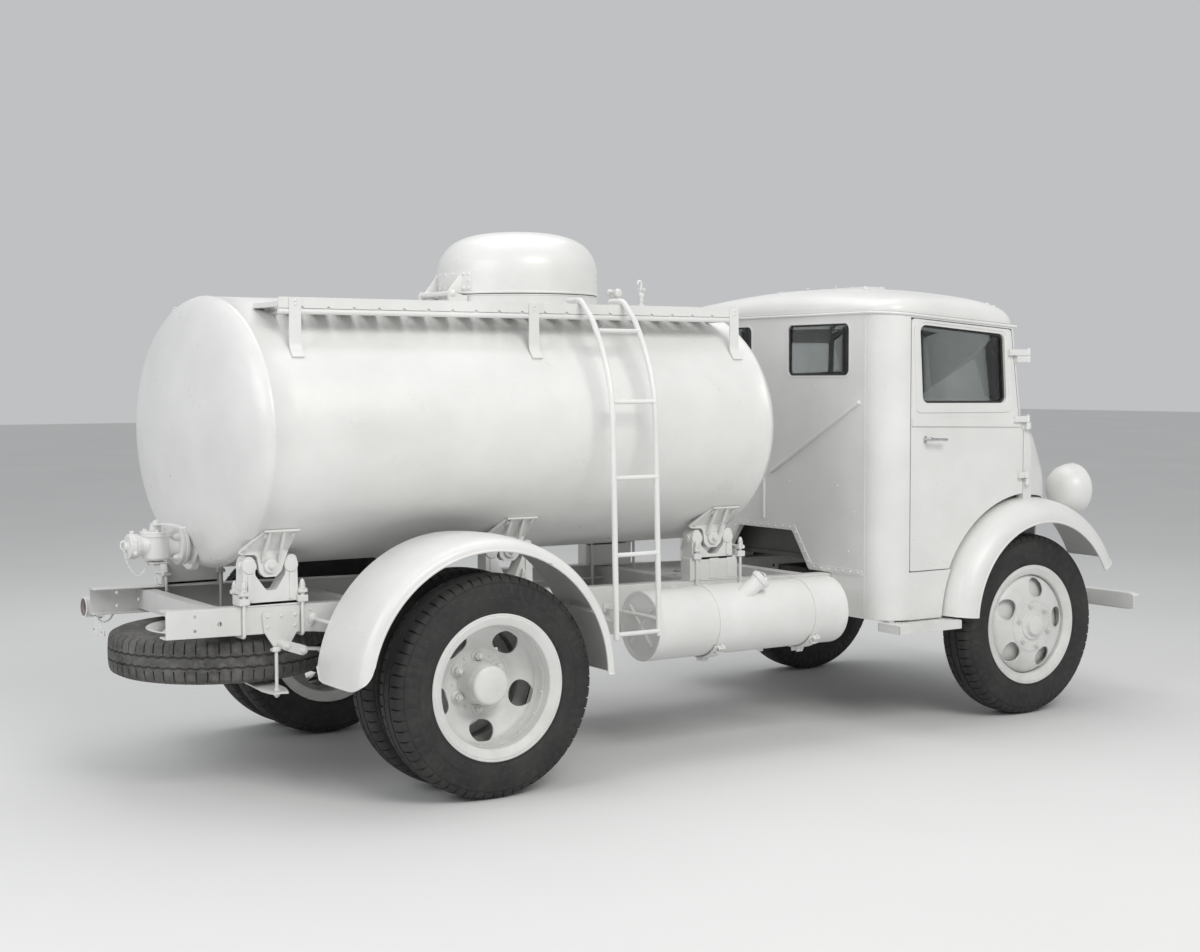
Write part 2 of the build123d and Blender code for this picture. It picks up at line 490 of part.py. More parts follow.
# operating lever, out to the right
valve += box(-1039, -1011, -240, 10, 1072, 1081)
node("outlet_valve", valve)
cap = bar((-1103.3, 0, 985), (-1144, 0, 985), 50)
for a in (90, 210, 330):
    ca, sa = math.cos(math.radians(a)), math.sin(math.radians(a))
    cap += bar((-1124, 40 * ca, 985 + 40 * sa), (-1124, 62 * ca, 985 + 62 * sa), 9)
cap += box(-1173, -1143, -9, 9, 972, 1010)
node("outlet_cap", cap)

# ---------------------------------------------------------------- fuel tank on the right
FUEL_X0, FUEL_X1, FUEL_Y, FUEL_Z, FUEL_R = 876.0, 1935.0, -700.0, 585.0, 154.0
fuel = bar((FUEL_X0, FUEL_Y, FUEL_Z), (FUEL_X1, FUEL_Y, FUEL_Z), FUEL_R)
fuel += bar((1345, -760, 660), (1452, -812, 762), 30)
fuel += bar((1449, -810, 759), (1468, -820, 777), 37)
for x in (1215.0, 1755.0):
    ring = bar((x - 18, FUEL_Y, FUEL_Z), (x + 18, FUEL_Y, FUEL_Z), FUEL_R + 4)
    fuel += ring
    fuel += box(x - 18, x + 18, -560, -RAIL_WEB_Y - 0.3, FUEL_Z - 40, FUEL_Z + 60)
    fuel += box(x - 18, x + 18, -RAIL_WEB_Y - 8, -RAIL_WEB_Y - 0.3, FUEL_Z - 40, FUEL_Z + 130)
node("fuel_tank", fuel)

# exhaust under the left rail
ex = bar((2450, 300, 520), (1700, 300, 500), 24)
ex += bar((1700, 300, 500), (1100, 300, 500), 75)
ex += bar((1100, 300, 500), (380, 330, 500), 22)
for x in (1180.0, 1520.0):
    ex += box(x - 15, x + 15, 290, 310, 560, rail_bottom(x) - 1) + box(x - 15, x + 15, 290, 466, rail_bottom(x) - 7, rail_bottom(x) - 1)
node("exhaust_pipe", ex)

# ---------------------------------------------------------------- tail lamp, number plate bracket
lamp = bar((-1165, 530, 685), (-1105, 530, 685), 45)
lamp += box(-1140, -1120, RAIL_WEB_Y + 0.3, 530, 676, 694)
node("tail_lamp", lamp)
pb = box(-1150, -1144, 300, 470, 586, 612)
pb += plate_yz([(350, 612), (440, 612), (425, 640), (385, 640)], -1150, -1144)
pb += box(-1150, -1116, 385, 425, 640, rail_bottom(-1116) - 0.3) - box(-1143.9, -1110, 380, 430, 630, rail_bottom(-1116) - 6)
for y in (332.0, 438.0):
    pb = pb - box(-1160, -1140, y - 10, y + 10, 595, 603) - bar((-1160, y - 10, 599), (-1140, y - 10, 599), 4) - bar((-1160, y + 10, 599), (-1140, y + 10, 599), 4)
node("plate_bracket", pb)

# ---------------------------------------------------------------- engine
node("engine_block", box(2700, 3460, -250, 250, 590, 1130) + box(2300, 2700, -110, 110, 530, 700))

# ---------------------------------------------------------------- cab
arch_cut = turn_y([(640 - 30, 0), (640 - 30, ARCH_CUT_R), (1100, ARCH_CUT_R), (1100, 0)], ARCH_X, ARCH_Z)
arch_cut = arch_cut + flip(arch_cut)


def ring_plan(grow, x1):
    y, x, r = CAB_Y - grow, CAB_X0 + grow, CAB_CORNER_R - grow
    k = r * (1 - math.sqrt(0.5))
    return [(x1, -y), (x + r, -y), (x + k, -y + k, 0), (x, -y + r), (x, y - r), (x + k, y - k, 0), (x + r, y), (x1, y)]


def under_eave(drop, x1):
    # block under the eave line
    return plate_xz([(CAB_X0 - 10, 400), (x1, 400), (x1, eave(x1) - drop), (CAB_X0 - 10, eave(CAB_X0 - 10) - drop)], -1000, 1000)


REAR_X1 = 2295.0
wall = plate_xy(ring_plan(0, REAR_X1), CAB_BOTTOM, 2050) - plate_xy(ring_plan(WALL_T, REAR_X1 + 30), CAB_BOTTOM - 10, 2060)
wall = wall & under_eave(0.0, REAR_X1 + 5)
# opening over the rails and the shaft: (y, z)
wall = wall - plate_yz([(-480, 500), (-480, 719), (-310, 719), (-180, 903), (240, 903), (380, 719), (480, 719), (480, 500)], CAB_X0 - 20, CAB_X0 + 60)
# two rear windows
REAR_WIN = [(-599, -145), (145, 599)]
WIN_Z0, WIN_Z1 = 1668.0, 1915.0
for y0, y1 in REAR_WIN:
    wall = wall - box(CAB_X0 - 20, CAB_X0 + 60, y0, y1, WIN_Z0, WIN_Z1)
node("cab_rear_wall", wall)

# cab sides: sill under the door, and the front pillar with its header above the door
DOOR_GAP = 4.0
DOOR_FACE = [(DOOR_X0, DOOR_Z0), (ARCH_X - math.sqrt(605.0 ** 2 - (DOOR_Z0 - ARCH_Z) ** 2), DOOR_Z0)]
_a0 = math.degrees(math.atan2(DOOR_Z0 - ARCH_Z, DOOR_FACE[1][0] - ARCH_X))
_a1 = math.degrees(math.atan2(math.sqrt(605.0 ** 2 - (DOOR_X1 - ARCH_X) ** 2), DOOR_X1 - ARCH_X))
_am = math.radians((_a0 + _a1) / 2)
DOOR_FACE += [(ARCH_X + 605 * math.cos(_am), ARCH_Z + 605 * math.sin(_am), 0), (DOOR_X1, ARCH_Z + math.sqrt(605.0 ** 2 - (DOOR_X1 - ARCH_X) ** 2))]
DTOP_X = 2951.0
DOOR_FACE += [(DOOR_X1, 1395), (door_edge(1445), 1445), (DTOP_X, eave(DTOP_X) - 24), (DOOR_X0, eave(DOOR_X0) - 24)]

side = plate_xz([(REAR_X1 + 0.2, CAB_BOTTOM), (2560, CAB_BOTTOM), (2560, DOOR_Z0 - DOOR_GAP), (REAR_X1 + 0.2, DOOR_Z0 - DOOR_GAP)], -CAB_Y, -CAB_Y + DOOR_T)
side = side - arch_cut
PILLAR_TOP = DTOP_X + DOOR_GAP + PILLAR_W - 1
header = plate_xz([(REAR_X1 + 0.2, eave(REAR_X1) - 20), (DTOP_X + DOOR_GAP, eave(DTOP_X + DOOR_GAP) - 20), (door_edge(1445) + DOOR_GAP, 1445), (DOOR_X1 + DOOR_GAP, 1395), (DOOR_X1 + DOOR_GAP, 1060), (CAB_X1 + 56, 1060), (CAB_X1 + 56, 1300), (CAB_X1 + 46, 1380), (CAB_X1 + 24, 1420), (door_edge(1445) + DOOR_GAP + PILLAR_W, 1445), (PILLAR_TOP, eave(PILLAR_TOP)), (REAR_X1 + 0.2, eave(REAR_X1))], -CAB_Y, -CAB_Y + DOOR_T)
header = header - arch_cut
# front corner of the pillar is rounded in plan
corner = box(CAB_X1 + 20, CAB_X1 + 80, -CAB_Y - 10, -CAB_Y + 36, 1000, 1399) - bar((CAB_X1 + 20, -CAB_Y + 36, 990), (CAB_X1 + 20, -CAB_Y + 36, 2110), 36)
header = header - corner
HINGES = (1164.0, 1438.0, 1762.0)
HINGE_HALF, HINGE_R = 32.0, 10.0
for z in HINGES:
    header += bar((HINGE_X, -HINGE_Y, z - HINGE_HALF), (HINGE_X, -HINGE_Y, z - 1), HINGE_R)
    # the fixed leaf reaches back to the raked pillar at the top hinge
    leaf = (door_edge(z - HINGE_HALF) + DOOR_GAP + 2, HINGE_X + 6) if z > 1500 else (HINGE_X - 6, HINGE_X + 24)
    header += box(leaf[0], leaf[1], -HINGE_Y, -CAB_Y + 3, z - HINGE_HALF, z - 1)
node("cab_sides", both(side), both(header))

# windscreen frame and cowl strip, between the pillars
def screen(z):
    # outer face of the windscreen frame
    return door_edge(1445) + DOOR_GAP + PILLAR_W - RAKE * (z - 1445)


SCREEN_TOP = eave(screen(1905)) - 2
frame = plate_xz([(CAB_X1 + 56, 1405), (CAB_X1 + 42, 1426), (screen(1445), 1445), (screen(SCREEN_TOP), SCREEN_TOP), (screen(SCREEN_TOP) - 28, SCREEN_TOP), (screen(1445) - 30, 1445), (CAB_X1 + 22, 1405)], -CAB_Y + DOOR_T + 0.2, CAB_Y - DOOR_T - 0.2)
for y0, y1 in ((-775, -28), (28, 775)):
    frame = frame - box(CAB_X1 - 160, CAB_X1 + 120, y0, y1, 1480, 1850)
node("windshield_frame", frame)

# nose: pillow shape from a plan ellipse and a side profile, hollow, open behind and below
# nose table: height, how far the half ellipse of the plan bulges past CAB_X1 there
NOSE = [(600, 466), (760, 497), (900, 514), (1030, 522), (1110, 523), (1200, 492), (1270, 432), (1325, 382), (1365, 335), (1390, 280), (1404, 205)]


def nose_solid(g):
    rings = []
    for i, (z, a) in enumerate(NOSE):
        zz = z - (10 if g and i == 0 else g if i == len(NOSE) - 1 else 0.6 * g if z > 1300 else 0)
        rings.append(Plane(origin=(CAB_X1, 0, zz)) * Ellipse(a - g, CAB_Y - g))
    return loft(rings, ruled=True) & box(CAB_X1 + 0.3, 3700, -900, 900, 500, 1500)


nose = nose_solid(0) - nose_solid(22)
nose = nose - arch_cut
# room for the inner edge of a steered front tyre
lock_room = turn_y([(470, 0), (470, 515), (640, 515), (640, 0)], WHEELBASE, AXLE_Z)
nose = nose - lock_room - flip(lock_room)
# leave room for the pillars, hinges and rails
nose = nose - box(CAB_X1 - 10, CAB_X1 + 56.3, -CAB_Y - 5, -CAB_Y + DOOR_T + 0.3, 500, 1500) - box(CAB_X1 - 10, CAB_X1 + 56.3, CAB_Y - DOOR_T - 0.3, CAB_Y + 5, 500, 1500)
nose = nose - box(2900, 3700, -RAIL_WEB_Y - 4, RAIL_WEB_Y + 4, 500, 712)
GRILLE_Y, GRILLE_Z0, GRILLE_Z1 = 250.0, 760.0, 1190.0
grille_cut = plate_yz([(-GRILLE_Y, GRILLE_Z0), (GRILLE_Y, GRILLE_Z0), (GRILLE_Y, GRILLE_Z1), (0, GRILLE_Z1 + 50, 0), (-GRILLE_Y, GRILLE_Z1)], 3440, 3640)
nose = nose - grille_cut
node("nose_panel", nose)
# grille: two curved rails and upright bars, set back inside the opening
def nose_front(y, d):
    return CAB_X1 + 495.0 * math.sqrt(1 - (y / CAB_Y) ** 2) - d


gy = GRILLE_Y + 8
grille = None
for z0, z1 in ((GRILLE_Z0 + 0.5, GRILLE_Z0 + 14), (1172, 1192)):
    g = plate_xy([(nose_front(gy, 32), -gy), (nose_front(0, 32), 0, 0), (nose_front(gy, 32), gy), (nose_front(gy, 44), gy), (nose_front(0, 44), 0, 0), (nose_front(gy, 44), -gy)], z0, z1)
    grille = g if grille is None else grille + g
for k in range(13):
    y = -240 + 40 * k
    xf = nose_front(abs(y) + 5, 34)
    grille += box(xf - 8, xf, y - 5, y + 5, GRILLE_Z0 + 2, 1182)
for y0, y1 in ((-262, -254), (254, 262)):
    grille += box(3480, 3501.6, y0, y1, GRILLE_Z0 + 1, GRILLE_Z0 + 14)
node("grille", grille)

# floor with the engine's cover, and toe board
floor = box(CAB_X0 + WALL_T + 0.3, 2640, -CAB_Y + DOOR_T + 0.3, CAB_Y - DOOR_T - 0.3, 752, 774)
floor += box(2640, CAB_X1, -545, 545, 752, 774)
floor = floor & plate_xy(ring_plan(WALL_T + 0.4, CAB_X1), 700, 800)
floor = floor - arch_cut - box(2600, CAB_X1 + 10, -262, 262, 700, 800) - box(CAB_X0, 2260, -390, 390, 700, 800)
cover = box(2640, CAB_X1, -292, 292, 774, 1180) - box(2600, CAB_X1 + 10, -268, 268, 600, 1156)
cover += box(2640, 2664, -292, 292, 752, 1180)
floor = floor + cover
# firewall above the wheel arches, under the windscreen
wall2 = box(CAB_X1 - 22, CAB_X1, -CAB_Y + DOOR_T + 0.3, CAB_Y - DOOR_T - 0.3, 774, 1404) - arch_cut - box(CAB_X1 - 40, CAB_X1 + 10, -268, 268, 700, 1156)
floor = floor + wall2
# wheel houses inside the cab: arched strip and its inner wall
well = turn_y([(548, 0), (548, ARCH_CUT_R + 8), (700, ARCH_CUT_R + 8), (700, 0)], ARCH_X, ARCH_Z)
floor = floor - well - flip(well)
house = turn_y([(538, ARCH_CUT_R + 4), (538, ARCH_CUT_R + 16), (CAB_Y - DOOR_T - 0.3, ARCH_CUT_R + 16), (CAB_Y - DOOR_T - 0.3, ARCH_CUT_R + 4)], ARCH_X, ARCH_Z, 95, 68)
house = house & box(2400, CAB_X1, 500, 900, 752, 1300)
inner = turn_y([(538, 0), (538, ARCH_CUT_R + 16), (548, ARCH_CUT_R + 16), (548, 0)], ARCH_X, ARCH_Z)
house = house + (inner & box(2400, CAB_X1, 500, 600, 752, 1300))
floor = floor + house + flip(house)
node("cab_floor", floor)

# dashboard
dash = plate_xz([(CAB_X1 - 22.3, 1200), (CAB_X1 - 22.3, 1400), (2900, 1400), (2870, 1370), (2880, 1215)], -CAB_Y + DOOR_T + 8, CAB_Y - DOOR_T - 8)
node("dashboard", dash)

# seat: box base, cushion, backrest
node("seat_base", box(2262, 2545, -700, 700, 774.2, 960))
cush = plate_xz([(2200, 960.4), (2590, 960.4), (2612, 990), (2612, 1060), (2585, 1090), (2200, 1075)], -700, 700)
node("seat_cushion", cush)
back = plate_xz([(CAB_X0 + WALL_T + 1, 1090), (2290, 1094), (2272, 1500), (2240, 1520), (CAB_X0 + WALL_T + 1, 1520)], -700, 700)
node("seat_back", back)

# steering column and wheel, left-hand side
SW = (2680.0, 430.0, 1330.0)
dirx, dirz = -0.62, 0.785
col = bar((SW[0] - dirx * 330, SW[1], SW[2] - dirz * 330), SW, 22)
ringp = Plane(origin=SW, z_dir=(dirx, 0, dirz))
sw = ringp * Torus(205, 12)
for a in (30, 150, 270):
    v = ringp.from_local_coords(Vector(205 * math.cos(math.radians(a)), 205 * math.sin(math.radians(a)), 0))
    sw += bar(SW, (v.X, v.Y, v.Z), 7)
sw += col + ringp * Cylinder(38, 30)
node("steering_wheel", sw)

# glass: two rear panes, two windscreen panes
glass = []
for y0, y1 in REAR_WIN:
    glass.append(box(CAB_X0 + 12, CAB_X0 + 18, y0 + 0.3, y1 - 0.3, WIN_Z0 + 0.3, WIN_Z1 - 0.3))
for y0, y1 in ((-775, -28), (28, 775)):
    def fx(z):
        return screen(z) - 20
    glass.append(plate_xz([(fx(1480.3), 1480.3), (fx(1480.3) + 6, 1480.3), (fx(1849.7) + 6, 1849.7), (fx(1849.7), 1849.7)], y0 + 0.3, y1 - 0.3))
node("cab_glass", glass)

# roof: crowned pressing, hollow, from three tables
# half section (|y|, z), side profile (x, z), half plan (x, |y|)
ROOF_SECTION = [(865, 1700), (865, 1990), (850, 2022), (815, 2043), (740, 2056), (400, 2096), (0, 2110)]
ROOF_PROFILE = [(2150, 1700), (2150, 1985), (2168, 2030), (2212, 2066), (2330, 2094), (2600, 2110), (2790, 2102), (2905, 2068), (2966, 2016), (2996, 1930), (2996, 1700)]
ROOF_PLAN = [(2150, 0), (2150, 720), (2170, 790), (2218, 842), (2295, 865), (2925, 865), (2972, 846), (2996, 800), (2996, 0)]
ROOF_MID, ROOF_T = 2573.0, 26.0


def roof_solid(g):
    half = [(y - g if y > g else 0, z - (g if z > 1800 else 0)) for y, z in ROOF_SECTION]
    a = plate_yz(half + [(-y, z) for y, z in reversed(half) if y > 0], 2100, 3150)
    prof = [(x + (g if x < ROOF_MID - 300 else -g if x > ROOF_MID + 300 else 0), z - (g if z > 1800 else 0)) for x, z in ROOF_PROFILE]
    b = plate_xz(prof, -1000, 1000)
    plan = [(x + (g if x < ROOF_MID else -g), max(y - g, 0)) for x, y in ROOF_PLAN]
    c = plate_xy(plan + [(x, -y) for x, y in reversed(plan) if y > 0], 1690, 2200)
    return a & b & c


above = plate_xz([(CAB_X0 - 50, eave(CAB_X0 - 50) + 0.3), (CAB_X1 + 150, eave(CAB_X1 + 150) + 0.3), (CAB_X1 + 150, 2300), (CAB_X0 - 50, 2300)], -1000, 1000)
roof = (roof_solid(0) - roof_solid(ROOF_T)) & above
node("cab_roof", roof)

# ---------------------------------------------------------------- doors
DWIN = [(2374, 1537), (2926, 1533), (2904, 1866), (2352, 1906)]
for sidename, s in (("left", 1), ("right", -1)):
    d = plate_xz(DOOR_FACE, s * CAB_Y, s * (CAB_Y - DOOR_T))
    d = d - plate_xz(DWIN, s * (CAB_Y + 5), s * (CAB_Y - DOOR_T - 5))
    for z in HINGES:
        d += bar((HINGE_X, s * HINGE_Y, z + 1), (HINGE_X, s * HINGE_Y, z + HINGE_HALF), HINGE_R)
        e = door_edge(z + HINGE_HALF) - 1
        d += box(e - 40, e, s * (CAB_Y - 2), s * (HINGE_Y + 4), z + 1, z + HINGE_HALF)
        d += box(e - 2, HINGE_X, s * (CAB_Y + 6), s * (HINGE_Y + 4), z + 1, z + HINGE_HALF)
    # handle: stem and lever
    d += bar((2388, s * (CAB_Y - 1), 1368), (2388, s * (CAB_Y + 42), 1368), 8)
    d += bar((2388, s * (CAB_Y + 42), 1368), (2494, s * (CAB_Y + 46), 1364), 8)
    node("door_" + sidename, d)
    gl = plate_xz([(2374.4, 1537.4), (2925.6, 1533.4), (2903.6, 1865.6), (2352.4, 1905.5)], s * (CAB_Y - 19), s * (CAB_Y - 25))
    node("door_glass_" + sidename, gl)

# steps under the cab sides
step = box(2160, 2555, -952, -800, 470, 512) - box(2168, 2547, -944, -808, 460, 504)
step += box(2200, 2230, -840, -RAIL_WEB_Y - 0.3, 512, 519.6) + box(2200, 2230, -RAIL_WEB_Y - 8, -RAIL_WEB_Y - 0.3, 512, 600)
step += box(2420, 2450, -840, -RAIL_WEB_Y - 0.3, 512, 519.6) + box(2420, 2450, -RAIL_WEB_Y - 8, -RAIL_WEB_Y - 0.3, 512, 600)
node("cab_steps", both(step))

# headlamps: round shells on a bracket from the nose
lampy, lampx, lampz = -745.0, 3535.0, 1089.0
lamp_face = face([(p[0], p[1]) if len(p) == 2 else p for p in [(0, 0), (0, 125), (-20, 129), (-98, 92, 0), (-128, 0)]], lambda p: (lampx + p[0], lampy, lampz + p[1]))
lamp = revolve(lamp_face, Axis((lampx, lampy, lampz), (1, 0, 0)), 360)
lamp += bar((lampx - 60, lampy, lampz - 90), (lampx - 60, lampy, ARCH_Z + 480), 14)
lamp = lamp - ff
node("headlamps", both(lamp))

# ---------------------------------------------------------------- write
os.makedirs("parts", exist_ok=True)
for name, solids in NODES.items():
    moved = [s.moved(Location((-MID_X, 0, 0))) for s in solids]
    export_step(moved[0] if len(moved) == 1 else Compound(children=moved), "parts/" + name + ".step")
print(len(NODES), "nodes")
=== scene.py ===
import bpy, bmesh, math
from mathutils import Vector, Matrix, noise
from mathutils.geometry import tessellate_polygon


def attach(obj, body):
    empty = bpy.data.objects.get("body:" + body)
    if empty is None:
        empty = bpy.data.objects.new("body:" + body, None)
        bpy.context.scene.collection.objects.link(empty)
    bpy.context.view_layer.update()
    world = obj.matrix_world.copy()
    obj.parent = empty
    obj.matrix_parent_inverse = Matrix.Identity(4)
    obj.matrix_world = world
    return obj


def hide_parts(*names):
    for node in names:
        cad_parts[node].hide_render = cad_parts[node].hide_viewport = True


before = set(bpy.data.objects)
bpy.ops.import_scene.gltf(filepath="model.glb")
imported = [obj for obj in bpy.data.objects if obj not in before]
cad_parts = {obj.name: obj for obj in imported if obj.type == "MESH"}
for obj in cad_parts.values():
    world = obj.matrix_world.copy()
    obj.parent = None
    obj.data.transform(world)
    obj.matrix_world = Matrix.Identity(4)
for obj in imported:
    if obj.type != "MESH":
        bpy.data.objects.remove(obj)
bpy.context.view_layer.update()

# Tanker truck. Sizes below are millimetres with x counted from the rear axle, as in the CAD source;
# every mesh is moved back by MID_X and turned into metres when it is made.
MID_X = 1330.0
WB = 3067.0
cos, sin, pi, rad = math.cos, math.sin, math.pi, math.radians


def P(x, y, z):
    return Vector(((x - MID_X) / 1000.0, y / 1000.0, z / 1000.0))


# ------------------------------------------------------------------ mesh kit
def basis(axis):
    a = Vector(axis).normalized()
    t = Vector((0, 0, 1)) if abs(a.z) < 0.9 else Vector((1, 0, 0))
    u = t.cross(a).normalized()
    return a, u, a.cross(u)


def chamfered(verts, faces, width, seg=2, angle=30):
    bm = bmesh.new()
    vs = [bm.verts.new(p) for p in verts]
    for f in faces:
        try:
            bm.faces.new([vs[i] for i in f])
        except ValueError:
            pass
    bmesh.ops.recalc_face_normals(bm, faces=bm.faces)
    edges = [e for e in bm.edges if len(e.link_faces) == 2 and e.calc_face_angle(0) > rad(angle)]
    bmesh.ops.bevel(bm, geom=edges, offset=width, offset_type="OFFSET", segments=seg, profile=0.5, affect="EDGES", clamp_overlap=True)
    bm.verts.index_update()
    out = [tuple(v.co) for v in bm.verts], [tuple(v.index for v in f.verts) for f in bm.faces]
    bm.free()
    return out


class Kit:
    """Collects closed shells, in the truck's millimetres, for one piece."""

    def __init__(self):
        self.v, self.f, self.m = [], [], []

    def add(self, verts, faces, mat=0, b=0.0, seg=2, angle=30):
        if b:
            verts, faces = chamfered(verts, faces, b, seg, angle)
        n = len(self.v)
        self.v += [tuple(p) for p in verts]
        self.f += [tuple(n + i for i in f) for f in faces]
        self.m += [mat] * len(faces)

    def join(self, other, shift=(0, 0, 0), mat=None):
        n = len(self.v)
        self.v += [(p[0] + shift[0], p[1] + shift[1], p[2] + shift[2]) for p in other.v]
        self.f += [tuple(n + i for i in f) for f in other.f]
        self.m += other.m if mat is None else [mat] * len(other.f)
        return self

    def flip(self):
        k = Kit()
        k.v = [(p[0], -p[1], p[2]) for p in self.v]
        k.f = [tuple(reversed(f)) for f in self.f]
        k.m = list(self.m)
        return k

    def both(self):
        k = Kit()
        k.join(self)
        k.join(self.flip())
        return k

    def loft(self, rings, closed=True, cap0=False, cap1=False, loop=False, mat=0, b=0.0):
        k = len(rings[0])
        verts = [p for r in rings for p in r]
        faces = []
        for i in range(len(rings) if loop else len(rings) - 1):
            a, c = i * k, ((i + 1) % len(rings)) * k
            for j in range(k if closed else k - 1):
                j2 = (j + 1) % k
                faces.append((a + j, a + j2, c + j2, c + j))
        if cap0:
            faces.append(tuple(reversed(range(k))))
        if cap1:
            faces.append(tuple(range((len(rings) - 1) * k, len(rings) * k)))
        self.add(verts, faces, mat, b)

    def box(self, x0, x1, y0, y1, z0, z1, b=1.5, mat=0, seg=2):
        v = [(x, y, z) for x in (x0, x1) for y in (y0, y1) for z in (z0, z1)]
        f = [(0, 1, 3, 2), (4, 6, 7, 5), (0, 4, 5, 1), (2, 3, 7, 6), (0, 2, 6, 4), (1, 5, 7, 3)]
        self.add(v, f, mat, b, seg)

    def block(self, o, ax, ay, az, b=1.5, mat=0):
        """A box round o with half axes ax, ay, az."""
        o, ax, ay, az = Vector(o), Vector(ax), Vector(ay), Vector(az)
        v = [o + i * ax + j * ay + k * az for i in (-1, 1) for j in (-1, 1) for k in (-1, 1)]
        f = [(0, 1, 3, 2), (4, 6, 7, 5), (0, 4, 5, 1), (2, 3, 7, 6), (0, 2, 6, 4), (1, 5, 7, 3)]
        self.add(v, f, mat, b)

    def lathe(self, profile, o, axis, seg=48, mat=0, a0=0.0, arc=360.0, close=False):
        """profile: (along, radius) pairs, turned about axis through o."""
        a, u, w = basis(axis)
        o = Vector(o)
        full = arc > 359.9
        n = seg if full else seg + 1
        verts, rows = [], []
        for s, r in profile:
            if r < 1e-6:
                rows.append([len(verts)] * n)
                verts.append(o + a * s)
            else:
                rows.append(list(range(len(verts), len(verts) + n)))
                for j in range(n):
                    t = rad(a0 + arc * j / seg)
                    verts.append(o + a * s + (u * cos(t) + w * sin(t)) * r)
        faces = []
        count = len(rows)
        for i in range(count if close else count - 1):
            ra, rb = rows[i], rows[(i + 1) % count]
            for j in range(seg if full else seg):
                j2 = (j + 1) % n
                q = []
                for k in (ra[j], ra[j2], rb[j2], rb[j]):
                    if k not in q:
                        q.append(k)
                if len(q) > 2:
                    faces.append(tuple(q))
        if not full and close:
            faces.append(tuple(r[0] for r in rows))
            faces.append(tuple(r[n - 1] for r in reversed(rows)))
        self.add(verts, faces, mat)

    def tube(self, pts, r, seg=12, mat=0, cap=True, loop=False):
        pts = [Vector(p) for p in pts]
        rs = r if isinstance(r, (list, tuple)) else [r] * len(pts)
        n = len(pts)
        tangents = []
        for i in range(n):
            a = pts[(i - 1) % n] if (loop or i) else pts[i]
            c = pts[(i + 1) % n] if (loop or i < n - 1) else pts[i]
            tangents.append((c - a).normalized())
        _, u, w = basis(tangents[0])
        rings = []
        for i, (p, t) in enumerate(zip(pts, tangents)):
            if i:
                q = tangents[i - 1].rotation_difference(t)
                u = q @ u
            u = (u - t * u.dot(t)).normalized()
            w = t.cross(u)
            rings.append([p + (u * cos(2 * pi * j / seg) + w * sin(2 * pi * j / seg)) * rs[i] for j in range(seg)])
        self.loft(rings, True, cap and not loop, cap and not loop, loop, mat)

    def rod(self, p, q, r, seg=16, b=1.0, mat=0):
        d = Vector(q) - Vector(p)
        L = d.length
        b = min(b, r * 0.45, L * 0.3)
        prof = [(0, 0), (0, r - b), (b * 0.3, r - b * 0.3), (b, r), (L - b, r), (L - b * 0.3, r - b * 0.3), (L, r - b), (L, 0)]
        self.lathe(prof, p, d, seg, mat)

    def slab(self, outer, lift, w0, w1, holes=(), mat=0, b=1.5, seg=2, angle=30):
        """outer and holes: closed 2-D outlines; lift(u, v, w) gives the point at thickness w."""
        loops = [list(outer)] + [list(h) for h in holes]
        flat = [p for l in loops for p in l]
        tris = tessellate_polygon([[Vector((p[0], p[1], 0)) for p in l] for l in loops])
        k = len(flat)
        verts = [lift(p[0], p[1], w0) for p in flat] + [lift(p[0], p[1], w1) for p in flat]
        faces = [tuple(t) for t in tris] + [tuple(k + i for i in reversed(t)) for t in tris]
        s = 0
        for l in loops:
            m = len(l)
            for j in range(m):
                a, c = s + j, s + (j + 1) % m
                faces.append((a, c, k + c, k + a))
            s += m
        self.add(verts, faces, mat, b, seg, angle)

    # small hardware
    def hexa(self, p, axis, r, h, mat=0, washer=True, stud=0.0):
        a = Vector(axis).normalized()
        p = Vector(p)
        if washer:
            self.lathe([(0, 0), (0, r * 1.34), (r * 0.13, r * 1.38), (r * 0.2, r * 1.34), (r * 0.2, 0)], p, a, 18, mat)
            p = p + a * r * 0.2
        self.lathe([(0, 0), (0, r), (h * 0.8, r), (h, r * 0.86), (h, 0)], p, a, 6, mat)
        if stud:
            self.lathe([(0, 0), (0, r * 0.52), (stud * 0.8, r * 0.52), (stud, r * 0.42), (stud, 0)], p + a * h * 0.9, a, 10, mat)

    def rivet(self, p, axis, r, mat=0, seg=10):
        self.lathe([(-r * 0.2, r), (0, r), (r * 0.32, r * 0.9), (r * 0.55, r * 0.62), (r * 0.68, r * 0.3), (r * 0.7, 0)], p, axis, seg, mat)

    def acorn(self, p, axis, r, h, mat=0):
        a = Vector(axis).normalized()
        p = Vector(p)
        self.lathe([(0, 0), (0, r * 1.3), (r * 0.2, r * 1.3), (r * 0.2, 0)], p, a, 16, mat)
        self.lathe([(0, 0), (0, r), (h * 0.42, r), (h * 0.48, r * 0.9), (h * 0.48, 0)], p + a * r * 0.2, a, 6, mat)
        self.lathe([(h * 0.4, r * 0.8), (h * 0.66, r * 0.8), (h * 0.86, r * 0.56), (h * 0.97, r * 0.26), (h, 0)], p + a * r * 0.2, a, 14, mat)

    def chain(self, pts, length, width, wire, mat=0):
        """Oval links, each turned a quarter from the last, along the points."""
        pts = [Vector(p) for p in pts]
        run = [0.0]
        for a, c in zip(pts, pts[1:]):
            run.append(run[-1] + (c - a).length)
        step = length - 2 * wire * 1.1

